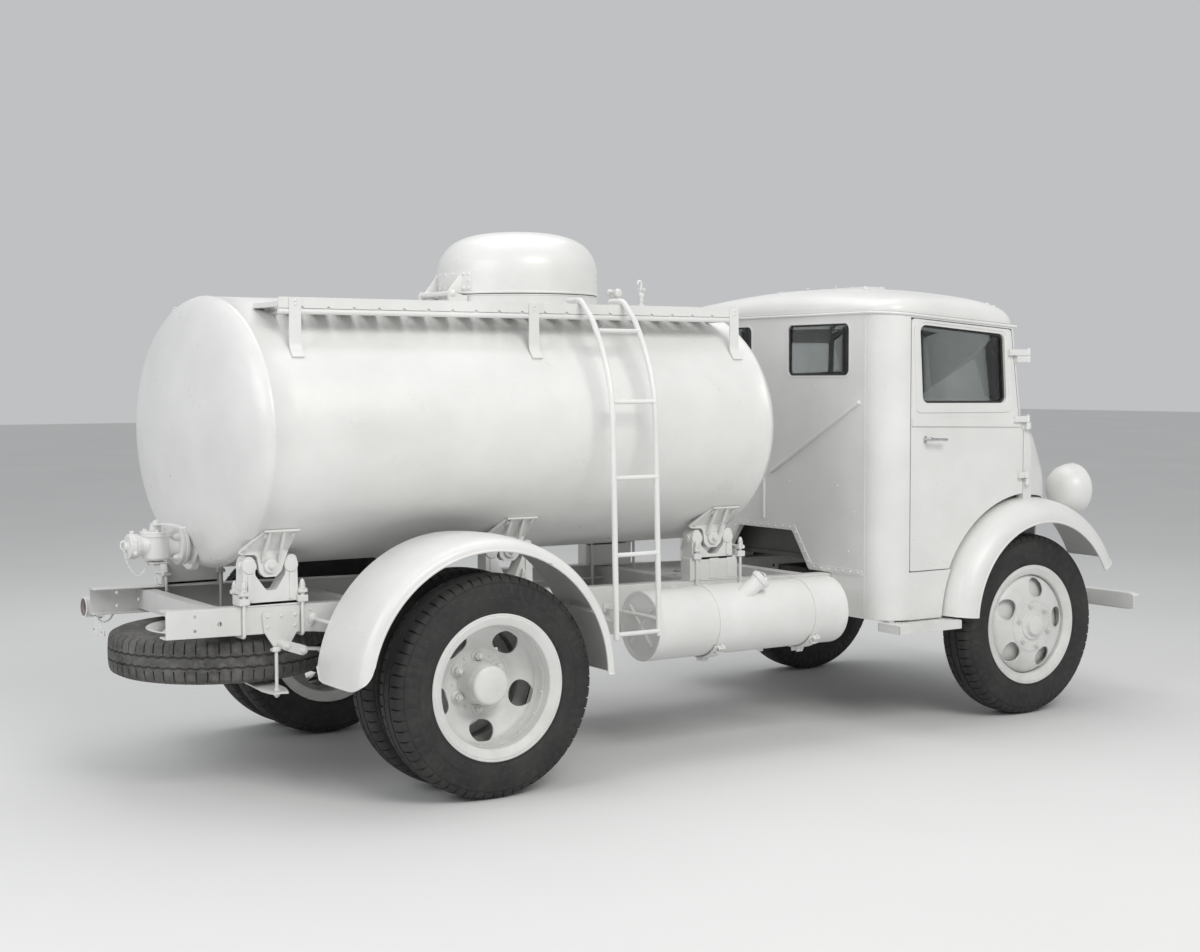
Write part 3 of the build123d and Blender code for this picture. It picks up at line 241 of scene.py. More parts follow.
        def at(s):
            s = min(max(s, 0), run[-1])
            for i in range(len(pts) - 1):
                if s <= run[i + 1] or i == len(pts) - 2:
                    return pts[i].lerp(pts[i + 1], (s - run[i]) / max(run[i + 1] - run[i], 1e-6))
        n = int(run[-1] / step)
        for k in range(n):
            c0, c1 = at(k * step), at((k + 1) * step)
            a, u, w = basis(c1 - c0)
            side = u if k % 2 else w
            mid = (c0 + c1) / 2
            h, g = length / 2 - width / 2, width / 2 - wire
            loop = []
            for j in range(12):
                t = 2 * pi * j / 12
                loop.append(mid + a * (g * sin(t) + (h if sin(t) > 0.01 else -h if sin(t) < -0.01 else 0)) + side * g * cos(t))
            self.tube(loop, wire, 6, mat, loop=True)


def rounded(pts, r, n=5):
    """2-D outline with its corners rounded; r is one radius or one for each corner."""
    out, m = [], len(pts)
    for i in range(m):
        rr = r[i] if isinstance(r, (list, tuple)) else r
        a, p, c = Vector(pts[i - 1]), Vector(pts[i]), Vector(pts[(i + 1) % m])
        if rr <= 0:
            out.append(tuple(p))
            continue
        d0, d1 = (a - p).normalized(), (c - p).normalized()
        ang = d0.angle(d1)
        if ang > pi - 0.02:
            out.append(tuple(p))
            continue
        t = min(rr / math.tan(ang / 2), (a - p).length * 0.49, (c - p).length * 0.49)
        rr = t * math.tan(ang / 2)
        mid = p + (d0 + d1).normalized() * (rr / sin(ang / 2))
        s, e = p + d0 * t - mid, p + d1 * t - mid
        turn = s.angle_signed(e) if s.length > 0 and e.length > 0 else 0
        for k in range(n + 1):
            q = Matrix.Rotation(-turn * k / n, 2) @ s
            out.append(tuple(mid + q))
    return out


def fillet3(pts, radii, n=8):
    """3-D polyline with rounded corners."""
    pts = [Vector(p) for p in pts]
    out = [pts[0]]
    for i in range(1, len(pts) - 1):
        p = pts[i]
        r = radii[i - 1] if isinstance(radii, (list, tuple)) else radii
        d0, d1 = (pts[i - 1] - p), (pts[i + 1] - p)
        ang = d0.angle(d1)
        if ang > pi - 0.01 or r <= 0:
            out.append(p)
            continue
        t = min(r / math.tan(ang / 2), d0.length * 0.48, d1.length * 0.48)
        a, c = p + d0.normalized() * t, p + d1.normalized() * t
        for k in range(n + 1):
            s = k / n
            out.append(a * (1 - s) ** 2 + p * 2 * s * (1 - s) + c * s * s)
    out.append(pts[-1])
    return out


def smoothline(pts, n=6):
    """Catmull-Rom points through tuples of any length, each span in n steps."""
    pts = [Vector(p) for p in pts]
    ext = [pts[0] * 2 - pts[1]] + pts + [pts[-1] * 2 - pts[-2]]
    out = []
    for i in range(1, len(ext) - 2):
        p0, p1, p2, p3 = ext[i - 1:i + 3]
        for k in range(n):
            t = k / n
            out.append(0.5 * ((2 * p1) + (p2 - p0) * t + (2 * p0 - 5 * p1 + 4 * p2 - p3) * t * t + (3 * p1 - p0 - 3 * p2 + p3) * t ** 3))
    out.append(pts[-1])
    return out


def circle(cx, cy, r, n=20):
    return [(cx + r * cos(2 * pi * k / n), cy + r * sin(2 * pi * k / n)) for k in range(n)]


def xz(y_sign=1):
    return lambda u, v, w: (u, w, v)


def yz(u, v, w):
    return (w, u, v)


def xy(u, v, w):
    return (u, v, w)


def interp(table, x):
    if x <= table[0][0]:
        return table[0][1]
    for (xa, a), (xb, c) in zip(table, table[1:]):
        if x <= xb:
            return a + (c - a) * (x - xa) / (xb - xa)
    return table[-1][1]


SHOWN = []


def emit(kit, name, body, mats, smooth=38, replaces=(), weighted=True, weld=0.0):
    me = bpy.data.meshes.new(name)
    me.from_pydata([P(*p) for p in kit.v], [], kit.f)
    me.polygons.foreach_set("material_index", kit.m)
    bm = bmesh.new()
    bm.from_mesh(me)
    if weld:
        bmesh.ops.remove_doubles(bm, verts=bm.verts, dist=weld / 1000.0)
    bmesh.ops.recalc_face_normals(bm, faces=bm.faces)
    bm.to_mesh(me)
    bm.free()
    for m in mats:
        me.materials.append(m)
    me.shade_smooth()
    me.set_sharp_from_angle(angle=rad(smooth))
    o = bpy.data.objects.new(name, me)
    bpy.context.scene.collection.objects.link(o)
    if weighted:
        wn = o.modifiers.new("normals", "WEIGHTED_NORMAL")
        wn.keep_sharp = True
        wn.weight = 50
    if body:
        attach(o, body)
    if replaces:
        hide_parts(*replaces)
    SHOWN.append(o)
    return o


def carve(o, *kits):
    """Takes closed cutter kits away from a closed piece."""
    for i, k in enumerate(kits):
        me = bpy.data.meshes.new("cutter")
        me.from_pydata([P(*p) for p in k.v], [], k.f)
        bm = bmesh.new()
        bm.from_mesh(me)
        bmesh.ops.recalc_face_normals(bm, faces=bm.faces)
        bm.to_mesh(me)
        bm.free()
        c = bpy.data.objects.new("cutter", me)
        bpy.context.scene.collection.objects.link(c)
        mod = o.modifiers.new("cut", "BOOLEAN")
        mod.operation, mod.object, mod.solver = "DIFFERENCE", c, "EXACT"
        while o.modifiers[0] != mod:
            o.modifiers.move(len(o.modifiers) - 1, 0)
        bpy.context.view_layer.update()
        dg = bpy.context.evaluated_depsgraph_get()
        others = [m for m in o.modifiers if m != mod]
        for m in others:
            m.show_viewport = False
        dg.update()
        new = bpy.data.meshes.new_from_object(o.evaluated_get(dg))
        o.modifiers.remove(mod)
        for m in others:
            m.show_viewport = True
        old = o.data
        o.data = new
        bpy.data.meshes.remove(old)
        bpy.data.objects.remove(c)
    o.data.shade_smooth()
    o.data.set_sharp_from_angle(angle=rad(38))
    return o


# ------------------------------------------------------------------ materials
class Mat:
    def __init__(self, name):
        self.m = bpy.data.materials.new(name)
        self.m.use_nodes = True
        self.t = self.m.node_tree
        self.b = self.t.nodes["Principled BSDF"]
        self.co = self.t.nodes.new("ShaderNodeTexCoord").outputs["Object"]

    def set(self, **k):
        for n, v in k.items():
            self.b.inputs[n.replace("_", " ")].default_value = v
        return self

    def link(self, a, b):
        self.t.links.new(a, b)

    def noise(self, scale, detail=4.0, rough=0.55, stretch=None, distort=0.0):
        n = self.t.nodes.new("ShaderNodeTexNoise")
        n.inputs["Scale"].default_value = scale
        n.inputs["Detail"].default_value = detail
        n.inputs["Roughness"].default_value = rough
        n.inputs["Distortion"].default_value = distort
        co = self.co
        if stretch:
            mp = self.t.nodes.new("ShaderNodeMapping")
            mp.inputs["Scale"].default_value = stretch
            self.link(co, mp.inputs["Vector"])
            co = mp.outputs["Vector"]
        self.link(co, n.inputs["Vector"])
        return n.outputs["Fac"]

    def cells(self, scale, feature="F1", stretch=None):
        n = self.t.nodes.new("ShaderNodeTexVoronoi")
        n.feature = feature
        n.inputs["Scale"].default_value = scale
        co = self.co
        if stretch:
            mp = self.t.nodes.new("ShaderNodeMapping")
            mp.inputs["Scale"].default_value = stretch
            self.link(co, mp.inputs["Vector"])
            co = mp.outputs["Vector"]
        self.link(co, n.inputs["Vector"])
        return n.outputs["Distance"]

    def ramp(self, fac, stops):
        """stops: (position, value or colour) pairs."""
        n = self.t.nodes.new("ShaderNodeValToRGB")
        e = n.color_ramp.elements
        while len(e) < len(stops):
            e.new(0.5)
        for el, (p, c) in zip(e, stops):
            el.position = p
            el.color = (c, c, c, 1) if isinstance(c, (int, float)) else (*c, 1)
        self.link(fac, n.inputs["Fac"])
        return n.outputs["Color"]

    def math(self, op, a, b=None):
        n = self.t.nodes.new("ShaderNodeMath")
        n.operation = op
        for s, v in ((0, a), (1, b)):
            if v is None:
                continue
            if isinstance(v, (int, float)):
                n.inputs[s].default_value = v
            else:
                self.link(v, n.inputs[s])
        return n.outputs[0]

    def mix(self, fac, a, b, blend="MIX"):
        n = self.t.nodes.new("ShaderNodeMix")
        n.data_type = "RGBA"
        n.blend_type = blend
        if isinstance(fac, (int, float)):
            n.inputs["Factor"].default_value = fac
        else:
            self.link(fac, n.inputs["Factor"])
        for s, v in (("A", a), ("B", b)):
            sock = [i for i in n.inputs if i.name == s and i.type == "RGBA"][0]
            if isinstance(v, tuple):
                sock.default_value = (*v, 1)
            else:
                self.link(v, sock)
        return [o for o in n.outputs if o.type == "RGBA"][0]

    def height(self):
        n = self.t.nodes.new("ShaderNodeSeparateXYZ")
        self.link(self.co, n.inputs[0])
        return n.outputs[2]

    def color(self, sock):
        self.link(sock, self.b.inputs["Base Color"])
        return self

    def rough(self, sock):
        self.link(sock, self.b.inputs["Roughness"])
        return self

    def bump(self, *layers):
        """layers: (height socket, strength, distance in metres)."""
        last = None
        for h, s, d in layers:
            n = self.t.nodes.new("ShaderNodeBump")
            n.inputs["Strength"].default_value = s
            n.inputs["Distance"].default_value = d
            self.link(h, n.inputs["Height"])
            if last is not None:
                self.link(last, n.inputs["Normal"])
            last = n.outputs["Normal"]
        self.link(last, self.b.inputs["Normal"])
        return self


def enamel(name, lo=(0.70, 0.70, 0.685), hi=(0.80, 0.80, 0.785), rough=(0.3, 0.46), wave=0.0006, dust_and_shade=0.35, grime_and_shade=(0.36, 0.345, 0.32)):
    """Brushed and sprayed gloss enamel: faint cloudiness, orange peel, and a grey film that thickens low down, which is
    road dust and painted shade together.
    """
    m = Mat(name)
    cloud = m.noise(2.3, 5, 0.6)
    speck = m.noise(46, 3, 0.7)
    base = m.ramp(cloud, [(0.3, lo), (0.7, hi)])
    z = m.height()
    # painted shade with road dust: this mask grows towards the bottom, so the grey film below darkens lower surfaces
    low = m.math("MULTIPLY", m.math("SUBTRACT", 0.95, z), 0.75)
    low = m.math("MAXIMUM", low, 0.03)
    dust_and_shade_film = m.math("MULTIPLY", m.ramp(m.noise(5.5, 7, 0.68), [(0.38, 0.0), (0.72, 1.0)]), low)
    dust_and_shade_film = m.math("MULTIPLY", dust_and_shade_film, dust_and_shade)
    flecks = m.math("MULTIPLY", m.ramp(speck, [(0.66, 0.0), (0.74, 1.0)]), 0.05 + dust_and_shade * 0.18)
    # the grey film mixed in here is road dust and painted shade
    col = m.mix(dust_and_shade_film, base, grime_and_shade)
    col = m.mix(flecks, col, (grime_and_shade[0] * 0.8, grime_and_shade[1] * 0.78, grime_and_shade[2] * 0.74))
    m.color(col)
    m.rough(m.ramp(m.noise(9, 6, 0.65), [(0.3, rough[0]), (0.75, rough[1])]))
    m.set(Specular_IOR_Level=0.5, Coat_Weight=0.18, Coat_Roughness=0.22)
    m.bump((m.noise(2.6, 2, 0.5), 0.22, wave * 4), (m.noise(420, 2, 0.5), 0.12, 0.00035), (m.noise(60, 3, 0.6), 0.08, wave * 0.5))
    return m.m


WHITE = enamel("white_enamel")
WHITE_TANK = enamel("white_enamel_tank", rough=(0.26, 0.42), wave=0.0009, dust_and_shade=0.3)
WHITE_CHASSIS = enamel("white_enamel_chassis", lo=(0.64, 0.64, 0.625), hi=(0.78, 0.78, 0.765), rough=(0.38, 0.6), wave=0.0005, dust_and_shade=0.75)
WHITE_CAST = enamel("white_enamel_on_castings", lo=(0.66, 0.66, 0.645), hi=(0.79, 0.79, 0.775), rough=(0.36, 0.56), wave=0.0012, dust_and_shade=0.5)

m = Mat("tyre_rubber")
dust = m.ramp(m.noise(7, 6, 0.7), [(0.35, (0.018, 0.018, 0.0185)), (0.8, (0.052, 0.051, 0.049))])
m.color(m.mix(m.math("MULTIPLY", m.ramp(m.noise(38, 4, 0.7), [(0.5, 0.0), (0.75, 1.0)]), 0.3), dust, (0.085, 0.082, 0.076)))
m.rough(m.ramp(m.noise(14, 4, 0.6), [(0.3, 0.62), (0.75, 0.84)]))
m.set(Specular_IOR_Level=0.4)
m.bump((m.noise(520, 2, 0.5), 0.2, 0.0004), (m.noise(70, 3, 0.6), 0.12, 0.0006))
RUBBER = m.m

m = Mat("tyre_rubber_weathered")
dust = m.ramp(m.noise(6, 7, 0.72), [(0.3, (0.045, 0.044, 0.042)), (0.72, (0.15, 0.147, 0.14))])
m.color(m.mix(m.math("MULTIPLY", m.ramp(m.noise(30, 5, 0.75), [(0.45, 0.0), (0.7, 1.0)]), 0.5), dust, (0.22, 0.215, 0.2)))
m.rough(m.ramp(m.noise(14, 4, 0.6), [(0.3, 0.75), (0.75, 0.92)]))
m.set(Specular_IOR_Level=0.3)
m.bump((m.noise(480, 2, 0.5), 0.25, 0.0005), (m.noise(60, 4, 0.65), 0.22, 0.0009))
RUBBER_OLD = m.m

m = Mat("rubber_seal")
m.color(m.ramp(m.noise(55, 4, 0.6), [(0.3, (0.018, 0.018, 0.018)), (0.75, (0.05, 0.049, 0.047))]))
m.rough(m.ramp(m.noise(30, 3, 0.5), [(0.3, 0.5), (0.7, 0.72)]))
m.bump((m.noise(600, 2, 0.5), 0.2, 0.0003))
SEAL = m.m

m = Mat("window_glass")
m.color(m.ramp(m.noise(4, 4, 0.6), [(0.3, (0.60, 0.63, 0.62)), (0.8, (0.70, 0.72, 0.71))]))
m.set(Transmission_Weight=1.0, IOR=1.45)
m.rough(m.ramp(m.noise(6, 6, 0.7), [(0.4, 0.01), (0.85, 0.07)]))
m.bump((m.noise(3.0, 2, 0.5), 0.05, 0.0006))
GLASS = m.m

m = Mat("chrome")
m.color(m.ramp(m.noise(40, 5, 0.6), [(0.3, (0.55, 0.55, 0.56)), (0.7, (0.72, 0.72, 0.73))]))
m.set(Metallic=1.0)
m.rough(m.ramp(m.noise(60, 5, 0.65), [(0.35, 0.08), (0.8, 0.26)]))
m.bump((m.noise(300, 2, 0.5), 0.06, 0.0002))
CHROME = m.m

m = Mat("bare_steel")
m.color(m.ramp(m.noise(18, 6, 0.7), [(0.3, (0.2, 0.19, 0.18)), (0.75, (0.42, 0.41, 0.4))]))
m.set(Metallic=0.9)
m.rough(m.ramp(m.noise(30, 5, 0.7), [(0.3, 0.35), (0.8, 0.62)]))
m.bump((m.noise(250, 3, 0.6), 0.18, 0.0004))
STEEL = m.m

m = Mat("cast_iron")
rust = m.ramp(m.noise(9, 7, 0.7), [(0.3, (0.055, 0.052, 0.05)), (0.62, (0.1, 0.09, 0.082)), (0.85, (0.16, 0.115, 0.085))])
m.color(rust)
m.set(Metallic=0.25)
m.rough(m.ramp(m.noise(20, 5, 0.7), [(0.3, 0.55), (0.8, 0.85)]))
m.bump((m.cells(160), 0.25, 0.0008), (m.noise(35, 5, 0.65), 0.3, 0.001))
IRON = m.m

m = Mat("black_paint")
m.color(m.ramp(m.noise(12, 5, 0.65), [(0.3, (0.016, 0.016, 0.017)), (0.8, (0.05, 0.048, 0.046))]))
m.rough(m.ramp(m.noise(16, 5, 0.65), [(0.3, 0.38), (0.8, 0.62)]))
m.bump((m.noise(260, 2, 0.5), 0.15, 0.0004))
BLACK = m.m

m = Mat("interior_paint")
m.color(m.ramp(m.noise(5, 5, 0.6), [(0.3, (0.11, 0.11, 0.107)), (0.75, (0.17, 0.17, 0.165))]))
m.rough(m.ramp(m.noise(12, 5, 0.6), [(0.3, 0.42), (0.75, 0.6)]))
m.bump((m.noise(380, 2, 0.5), 0.16, 0.0004))
INNER = m.m

m = Mat("crackle_dash")
m.color(m.ramp(m.cells(140, "DISTANCE_TO_EDGE"), [(0.0, (0.02, 0.02, 0.021)), (0.25, (0.055, 0.055, 0.057))]))
m.rough(m.ramp(m.noise(20, 3, 0.5), [(0.3, 0.45), (0.7, 0.6)]))
m.bump((m.cells(140, "DISTANCE_TO_EDGE"), 0.4, 0.0008))
DASH = m.m

m = Mat("seat_leather")
tone = m.ramp(m.noise(3.5, 6, 0.65), [(0.3, (0.04, 0.026, 0.018)), (0.75, (0.085, 0.056, 0.038))])
m.color(m.mix(m.math("MULTIPLY", m.ramp(m.noise(26, 5, 0.7), [(0.5, 0.0), (0.8, 1.0)]), 0.45), tone, (0.15, 0.11, 0.08)))
m.rough(m.ramp(m.noise(9, 5, 0.6), [(0.3, 0.4), (0.75, 0.62)]))
m.set(Specular_IOR_Level=0.45, Sheen_Weight=0.05)
m.bump((m.cells(260), 0.35, 0.0008), (m.noise(18, 5, 0.65), 0.3, 0.0025))
LEATHER = m.m

m = Mat("stitch_thread")
m.color(m.ramp(m.noise(300, 3, 0.6), [(0.3, (0.1, 0.075, 0.05)), (0.7, (0.2, 0.15, 0.1))]))
m.set(Roughness=0.75)
m.bump((m.noise(900, 2, 0.5), 0.4, 0.0004))
THREAD = m.m

m = Mat("tail_lens")
m.color(m.ramp(m.cells(150), [(0.0, (0.16, 0.006, 0.006)), (0.6, (0.07, 0.003, 0.003))]))
m.set(Coat_Weight=0.6, Coat_Roughness=0.05)
m.rough(m.ramp(m.noise(20, 3, 0.5), [(0.3, 0.12), (0.7, 0.25)]))
m.bump((m.cells(150), 0.5, 0.001))
LENS = m.m

m = Mat("reflector")
m.color(m.ramp(m.noise(30, 3, 0.5), [(0.3, (0.8, 0.8, 0.8)), (0.7, (0.9, 0.9, 0.9))]))
m.set(Metallic=1.0)
m.rough(m.ramp(m.noise(60, 4, 0.6), [(0.3, 0.04), (0.8, 0.14)]))
MIRROR = m.m

m = Mat("hub_grease_dark")
m.color(m.ramp(m.noise(25, 5, 0.7), [(0.3, (0.03, 0.028, 0.026)), (0.75, (0.09, 0.082, 0.075))]))
m.rough(m.ramp(m.noise(18, 4, 0.6), [(0.3, 0.35), (0.75, 0.7)]))
m.bump((m.noise(120, 4, 0.6), 0.3, 0.0008))
GREASE = m.m

m = Mat("rubber_mat")
m.color(m.ramp(m.noise(10, 6, 0.7), [(0.3, (0.02, 0.02, 0.02)), (0.8, (0.065, 0.062, 0.058))]))
m.set(Roughness=0.8)
m.bump((m.cells(70), 0.5, 0.002))
MAT_FLOOR = m.m


# ------------------------------------------------------------------ tyres
# half section from the middle rib outward: |y|, radius, depth of the cross slot there, zigzag share
TREAD = [(0, 445, 0, 0), (16.5, 444.7, 0, 1), (18, 436.5, 0, 1), (24.5, 436.3, 0, 1), (26, 444.3, 0, 1), (34, 443.8, 0, 0),
         (34.9, 443.7, 8.5, 0), (55, 441.6, 8.5, 0), (69, 438.0, 8.0, 0), (75.5, 432.5, 7.2, 0), (80, 424.5, 6.0, 0), (82.8, 418, 4.5, 0),
         (83.6, 415, 3.5, 0), (82.6, 413.6, 0.8, 0), (84.4, 411.6, 0, 0), (87.0, 409.6, 0, 0), (88.4, 406.5, 0, 0), (88.9, 405, 2.6, 0),
         (92.6, 390, 2.8, 0), (95.2, 375, 2.4, 0), (95.8, 372, 0, 0), (96.4, 366, 0, 0), (96.9, 358, 0, 0), (97.0, 355, 0, 0), (95.6, 353.2, 0, 0),
         (96.7, 351.4, 0, 0), (96.6, 344, 0, 0), (95.3, 328, 0, 0), (92.8, 314, 0, 0), (90.6, 305.5, 0, 0), (89.0, 303.4, 0, 0),
         (90.2, 301.2, 0, 0), (90.3, 297.8, 0, 0), (87.2, 294.4, 0, 0), (83.4, 292.2, 0, 0), (79.5, 283, 0, 0), (60, 258, 0, 0)]
PITCHES = 62
STEP = ((0.0, 0, 1.0), (0.022, 1, 1.0), (0.125, 1, 1.0), (0.147, 0, 1.0), (0.575, 0, -1.0))   # share of a pitch, slot open, zigzag


def tyre(pitches=PITCHES):
    """One tyre about the Y axis at the origin."""
    k = Kit()
    half = [(y, r, d, z) for y, r, d, z in TREAD]
    cols = [(-y, r, d, z) for y, r, d, z in reversed(half[1:])] + half
    rings = []
    for i in range(pitches):
        for f, open_, zz in STEP:
            t = 2 * pi * (i + f) / pitches
            c, s = cos(t), sin(t)
            ring = []
            for y, r, d, z in cols:
                rr = r - (d if open_ else 0)
                yy = y + (2.6 * zz if z else 0) * (1 if y > 0 else -1 if y < 0 else 0)
                ring.append((rr * c, yy, rr * s))
            rings.append(ring)
    k.loft(rings, closed=True, loop=True)
    return k


def bar_marks(k, r0, r1, y, count, mat=0):
    """Small raised bars round the sidewall, mould marks without any letters."""
    for i in range(count):
        t = 2 * pi * i / count
        c, s = cos(t), sin(t)
        k.block(((r0 + r1) / 2 * c, y, (r0 + r1) / 2 * s), ((r1 - r0) / 2 * c, 0, (r1 - r0) / 2 * s), (0, 0.5, 0), (-s * 2.0, 0, c * 2.0), 0.3, mat)


TYRE_KIT = tyre()
RUB = {"slot": "tyre_rubber"}


# ------------------------------------------------------------------ wheels (outward is +Y, about the origin)
RIM = [(-84, 292), (-84, 284), (-67, 262), (-67, 250), (67, 250), (67, 262), (83, 283), (84, 290), (86, 292.6), (89.5, 293.2), (92, 291), (92.2, 286.5),
       (90.2, 284), (90.0, 282.6), (91.6, 281), (91.2, 276.5), (88.5, 270.5), (83, 260), (78.5, 251.5), (75.5, 246.4), (71, 244), (-71, 244), (-78, 251), (-90, 274),
       (-92.2, 285), (-92, 290.5), (-88.5, 292.8)]


def rim(k, mat=0, seg=96):
    k.lathe(RIM, (0, 0, 0), (0, 1, 0), seg, mat, close=True)


def holed_disc(k, prof, ra, rb, hr, ha, hb, t, phase=90.0, m=48, rings=6, inner=(), mat=0):
    """Pressed disc with five oval hand holes. prof(r) is the outer face, t the sheet; inner lists radii nearer the axle."""
    def pt(a, r, back):
        y = prof(r) - (t if back else 0)
        return (r * cos(a), y, r * sin(a))
    for back in (0, 1):
        for s in range(5):
            mid = rad(phase + 72 * s)
            rows = []
            for i in range(rings + 1):
                f = (i / rings) ** 1.25
                row = []
                for j in range(m):
                    u = 2 * pi * j / m
                    c, n = cos(u), sin(u)
                    q = max(abs(c), abs(n))
                    er = hb * n
                    ea = ha * c / (hr + er)
                    orr = hr + ((rb - hr) if n > 0 else (hr - ra)) * n / q
                    oa = rad(36) * c / q
                    a, r = ea * (1 - f) + oa * f, (hr + er) * (1 - f) + orr * f
                    row.append(pt(mid + a, r, back))
                rows.append(row)
            k.loft(rows, True, mat=mat)
            if not back:
                wall = [[], [], [], []]
                for j in range(m):
                    u = 2 * pi * j / m
                    er, c = hb * sin(u), cos(u)
                    ea = ha * c / (hr + er)
                    a, r = mid + ea, hr + er
                    p = Vector(pt(a, r, 0))
                    q = Vector(pt(a, r, 1))
                    wall[0].append(p)
                    wall[1].append(p.lerp(q, 0.15) * 1.0)
                    wall[2].append(p.lerp(q, 0.85) * 1.0)
                    wall[3].append(q)
                k.loft(wall, True, mat=mat)
        if inner:
            angles = []
            for s in range(5):
                mid = rad(phase + 72 * s)
                row = []
                for j in range(m):
                    u = 2 * pi * j / m
                    c, n = cos(u), sin(u)
                    if n < 0 and abs(n) >= abs(c) - 1e-9:
                        row.append(mid + rad(36) * c / abs(n))
                row.sort()
                angles += row[:-1]
            rows = [[pt(a, r, back) for a in angles] for r in (ra,) + tuple(inner)]
            k.loft(rows, True, mat=mat)


REAR_FACE = [(60, -84), (95, -84), (132, -84), (139, -83), (147, -78), (158, -69.5), (172, -61), (199, -48.5), (222, -36), (233, -27), (239, -16), (242, -4), (243, 8)]
FRONT_FACE = [(0, 101), (60, 100.5), (116, 100), (124, 99), (134, 97.5), (150, 95), (175, 90), (200, 83), (220, 74), (232, 65), (238, 57), (242, 48), (243.5, 38)]


def curve_of(table):
    pts = smoothline(table, 5)
    pts = [(p[0], p[1]) for p in pts]
    return lambda r: interp(pts, r)


def rear_wheel():
    """Outer wheel of the twin pair: deep dish, rivets, six nuts. The tyre's middle is at y = 0."""
    k = Kit()
    rim(k)
    f = curve_of(REAR_FACE)
    holed_disc(k, f, 147, 240, 193.5, 55, 44, 8, phase=54.0, inner=(143, 138, 134, 130, 110, 92, 70))
    k.lathe([(-16, 239), (-10, 240.6), (0, 242.6), (12, 243.4), (33, 243.6), (35, 243.2), (35, 240.6), (33, 239.8), (8, 239.4), (-4, 237.5), (-14, 234.5), (-22, 230)], (0, 0, 0), (0, 1, 0), 96)
    for i in range(16):
        t = 2 * pi * (i + 0.5) / 16
        k.rivet((240.2 * cos(t), 24, 240.2 * sin(t)), (-cos(t), 0, -sin(t)), 6.5)
    # raised ring round the nuts
    k.lathe([(-84, 152), (-80.4, 147), (-79.6, 142), (-81.5, 138), (-84.5, 136)], (0, 0, 0), (0, 1, 0), 80)
    for i in range(6):
        t = rad(30 + 60 * i)
        p = (106 * cos(t), -84, 106 * sin(t))
        k.lathe([(0, 27), (4, 26), (7, 22), (9, 19), (9, 0)], p, (0, 1, 0), 24)
        k.hexa((p[0], -76, p[2]), (0, 1, 0), 19, 18, washer=False, stud=10)
    for i in range(6):
        t = rad(60 * i)
        k.rivet((112 * cos(t), -84, 112 * sin(t)), (0, 1, 0), 7)
    # hub barrel and its rounded cap
    k.lathe([(-90, 93), (-82, 93), (-78, 90), (-70, 86.5), (-50, 84.5), (-12, 83), (-8, 84.5), (-2, 84.5), (2, 81.5), (20, 79.5), (28, 78), (33, 74), (35.6, 67), (36.6, 60), (36.2, 57), (36.8, 54), (37.3, 30), (37.3, 0)], (0, 0, 0), (0, 1, 0), 64)
    return k


def twin_inner():
    """Inner wheel of the pair, dished the other way, brake drum and hub behind; tyre's middle at y = -245."""
    k = Kit()
    r = Kit()
    rim(r)
    back = [(95, -110), (136, -110), (150, -104), (170, -92), (200, -76), (228, -54), (240, -20), (243.5, 10)]
    f = curve_of(back)
    holed_disc(r, f, 140, 241, 193.5, 55, 44, 8, phase=54.0, inner=(134, 110, 95))
    for p in r.v:
        k.v.append((p[0], -p[1] - 245.0, p[2]))
    k.f = [tuple(reversed(q)) for q in r.f]
    k.m = list(r.m)
    # drum with cooling ribs, open at its inner side
    k.lathe([(-197.5, 130), (-197.5, 60), (-197, 60), (-147.5, 60), (-147.5, 96), (-108, 138), (-98, 138), (-98, 84)], (0, 0, 0), (0, 1, 0), 64)
    k.lathe([(-142, 60), (-142, 150), (-146, 160), (-232, 162), (-236, 168), (-246, 168), (-246, 152), (-150, 150)], (0, 0, 0), (0, 1, 0), 72, 1)
    for i in range(5):
        y = -160 - 16 * i
        k.lathe([(y, 160), (y + 1, 165), (y + 5, 165), (y + 6, 160)], (0, 0, 0), (0, 1, 0), 72, 1)
    for i in range(12):
        t = 2 * pi * i / 12
        k.hexa((110 * cos(t), -98, 110 * sin(t)), (0, 1, 0), 8, 6, washer=False)
    return k


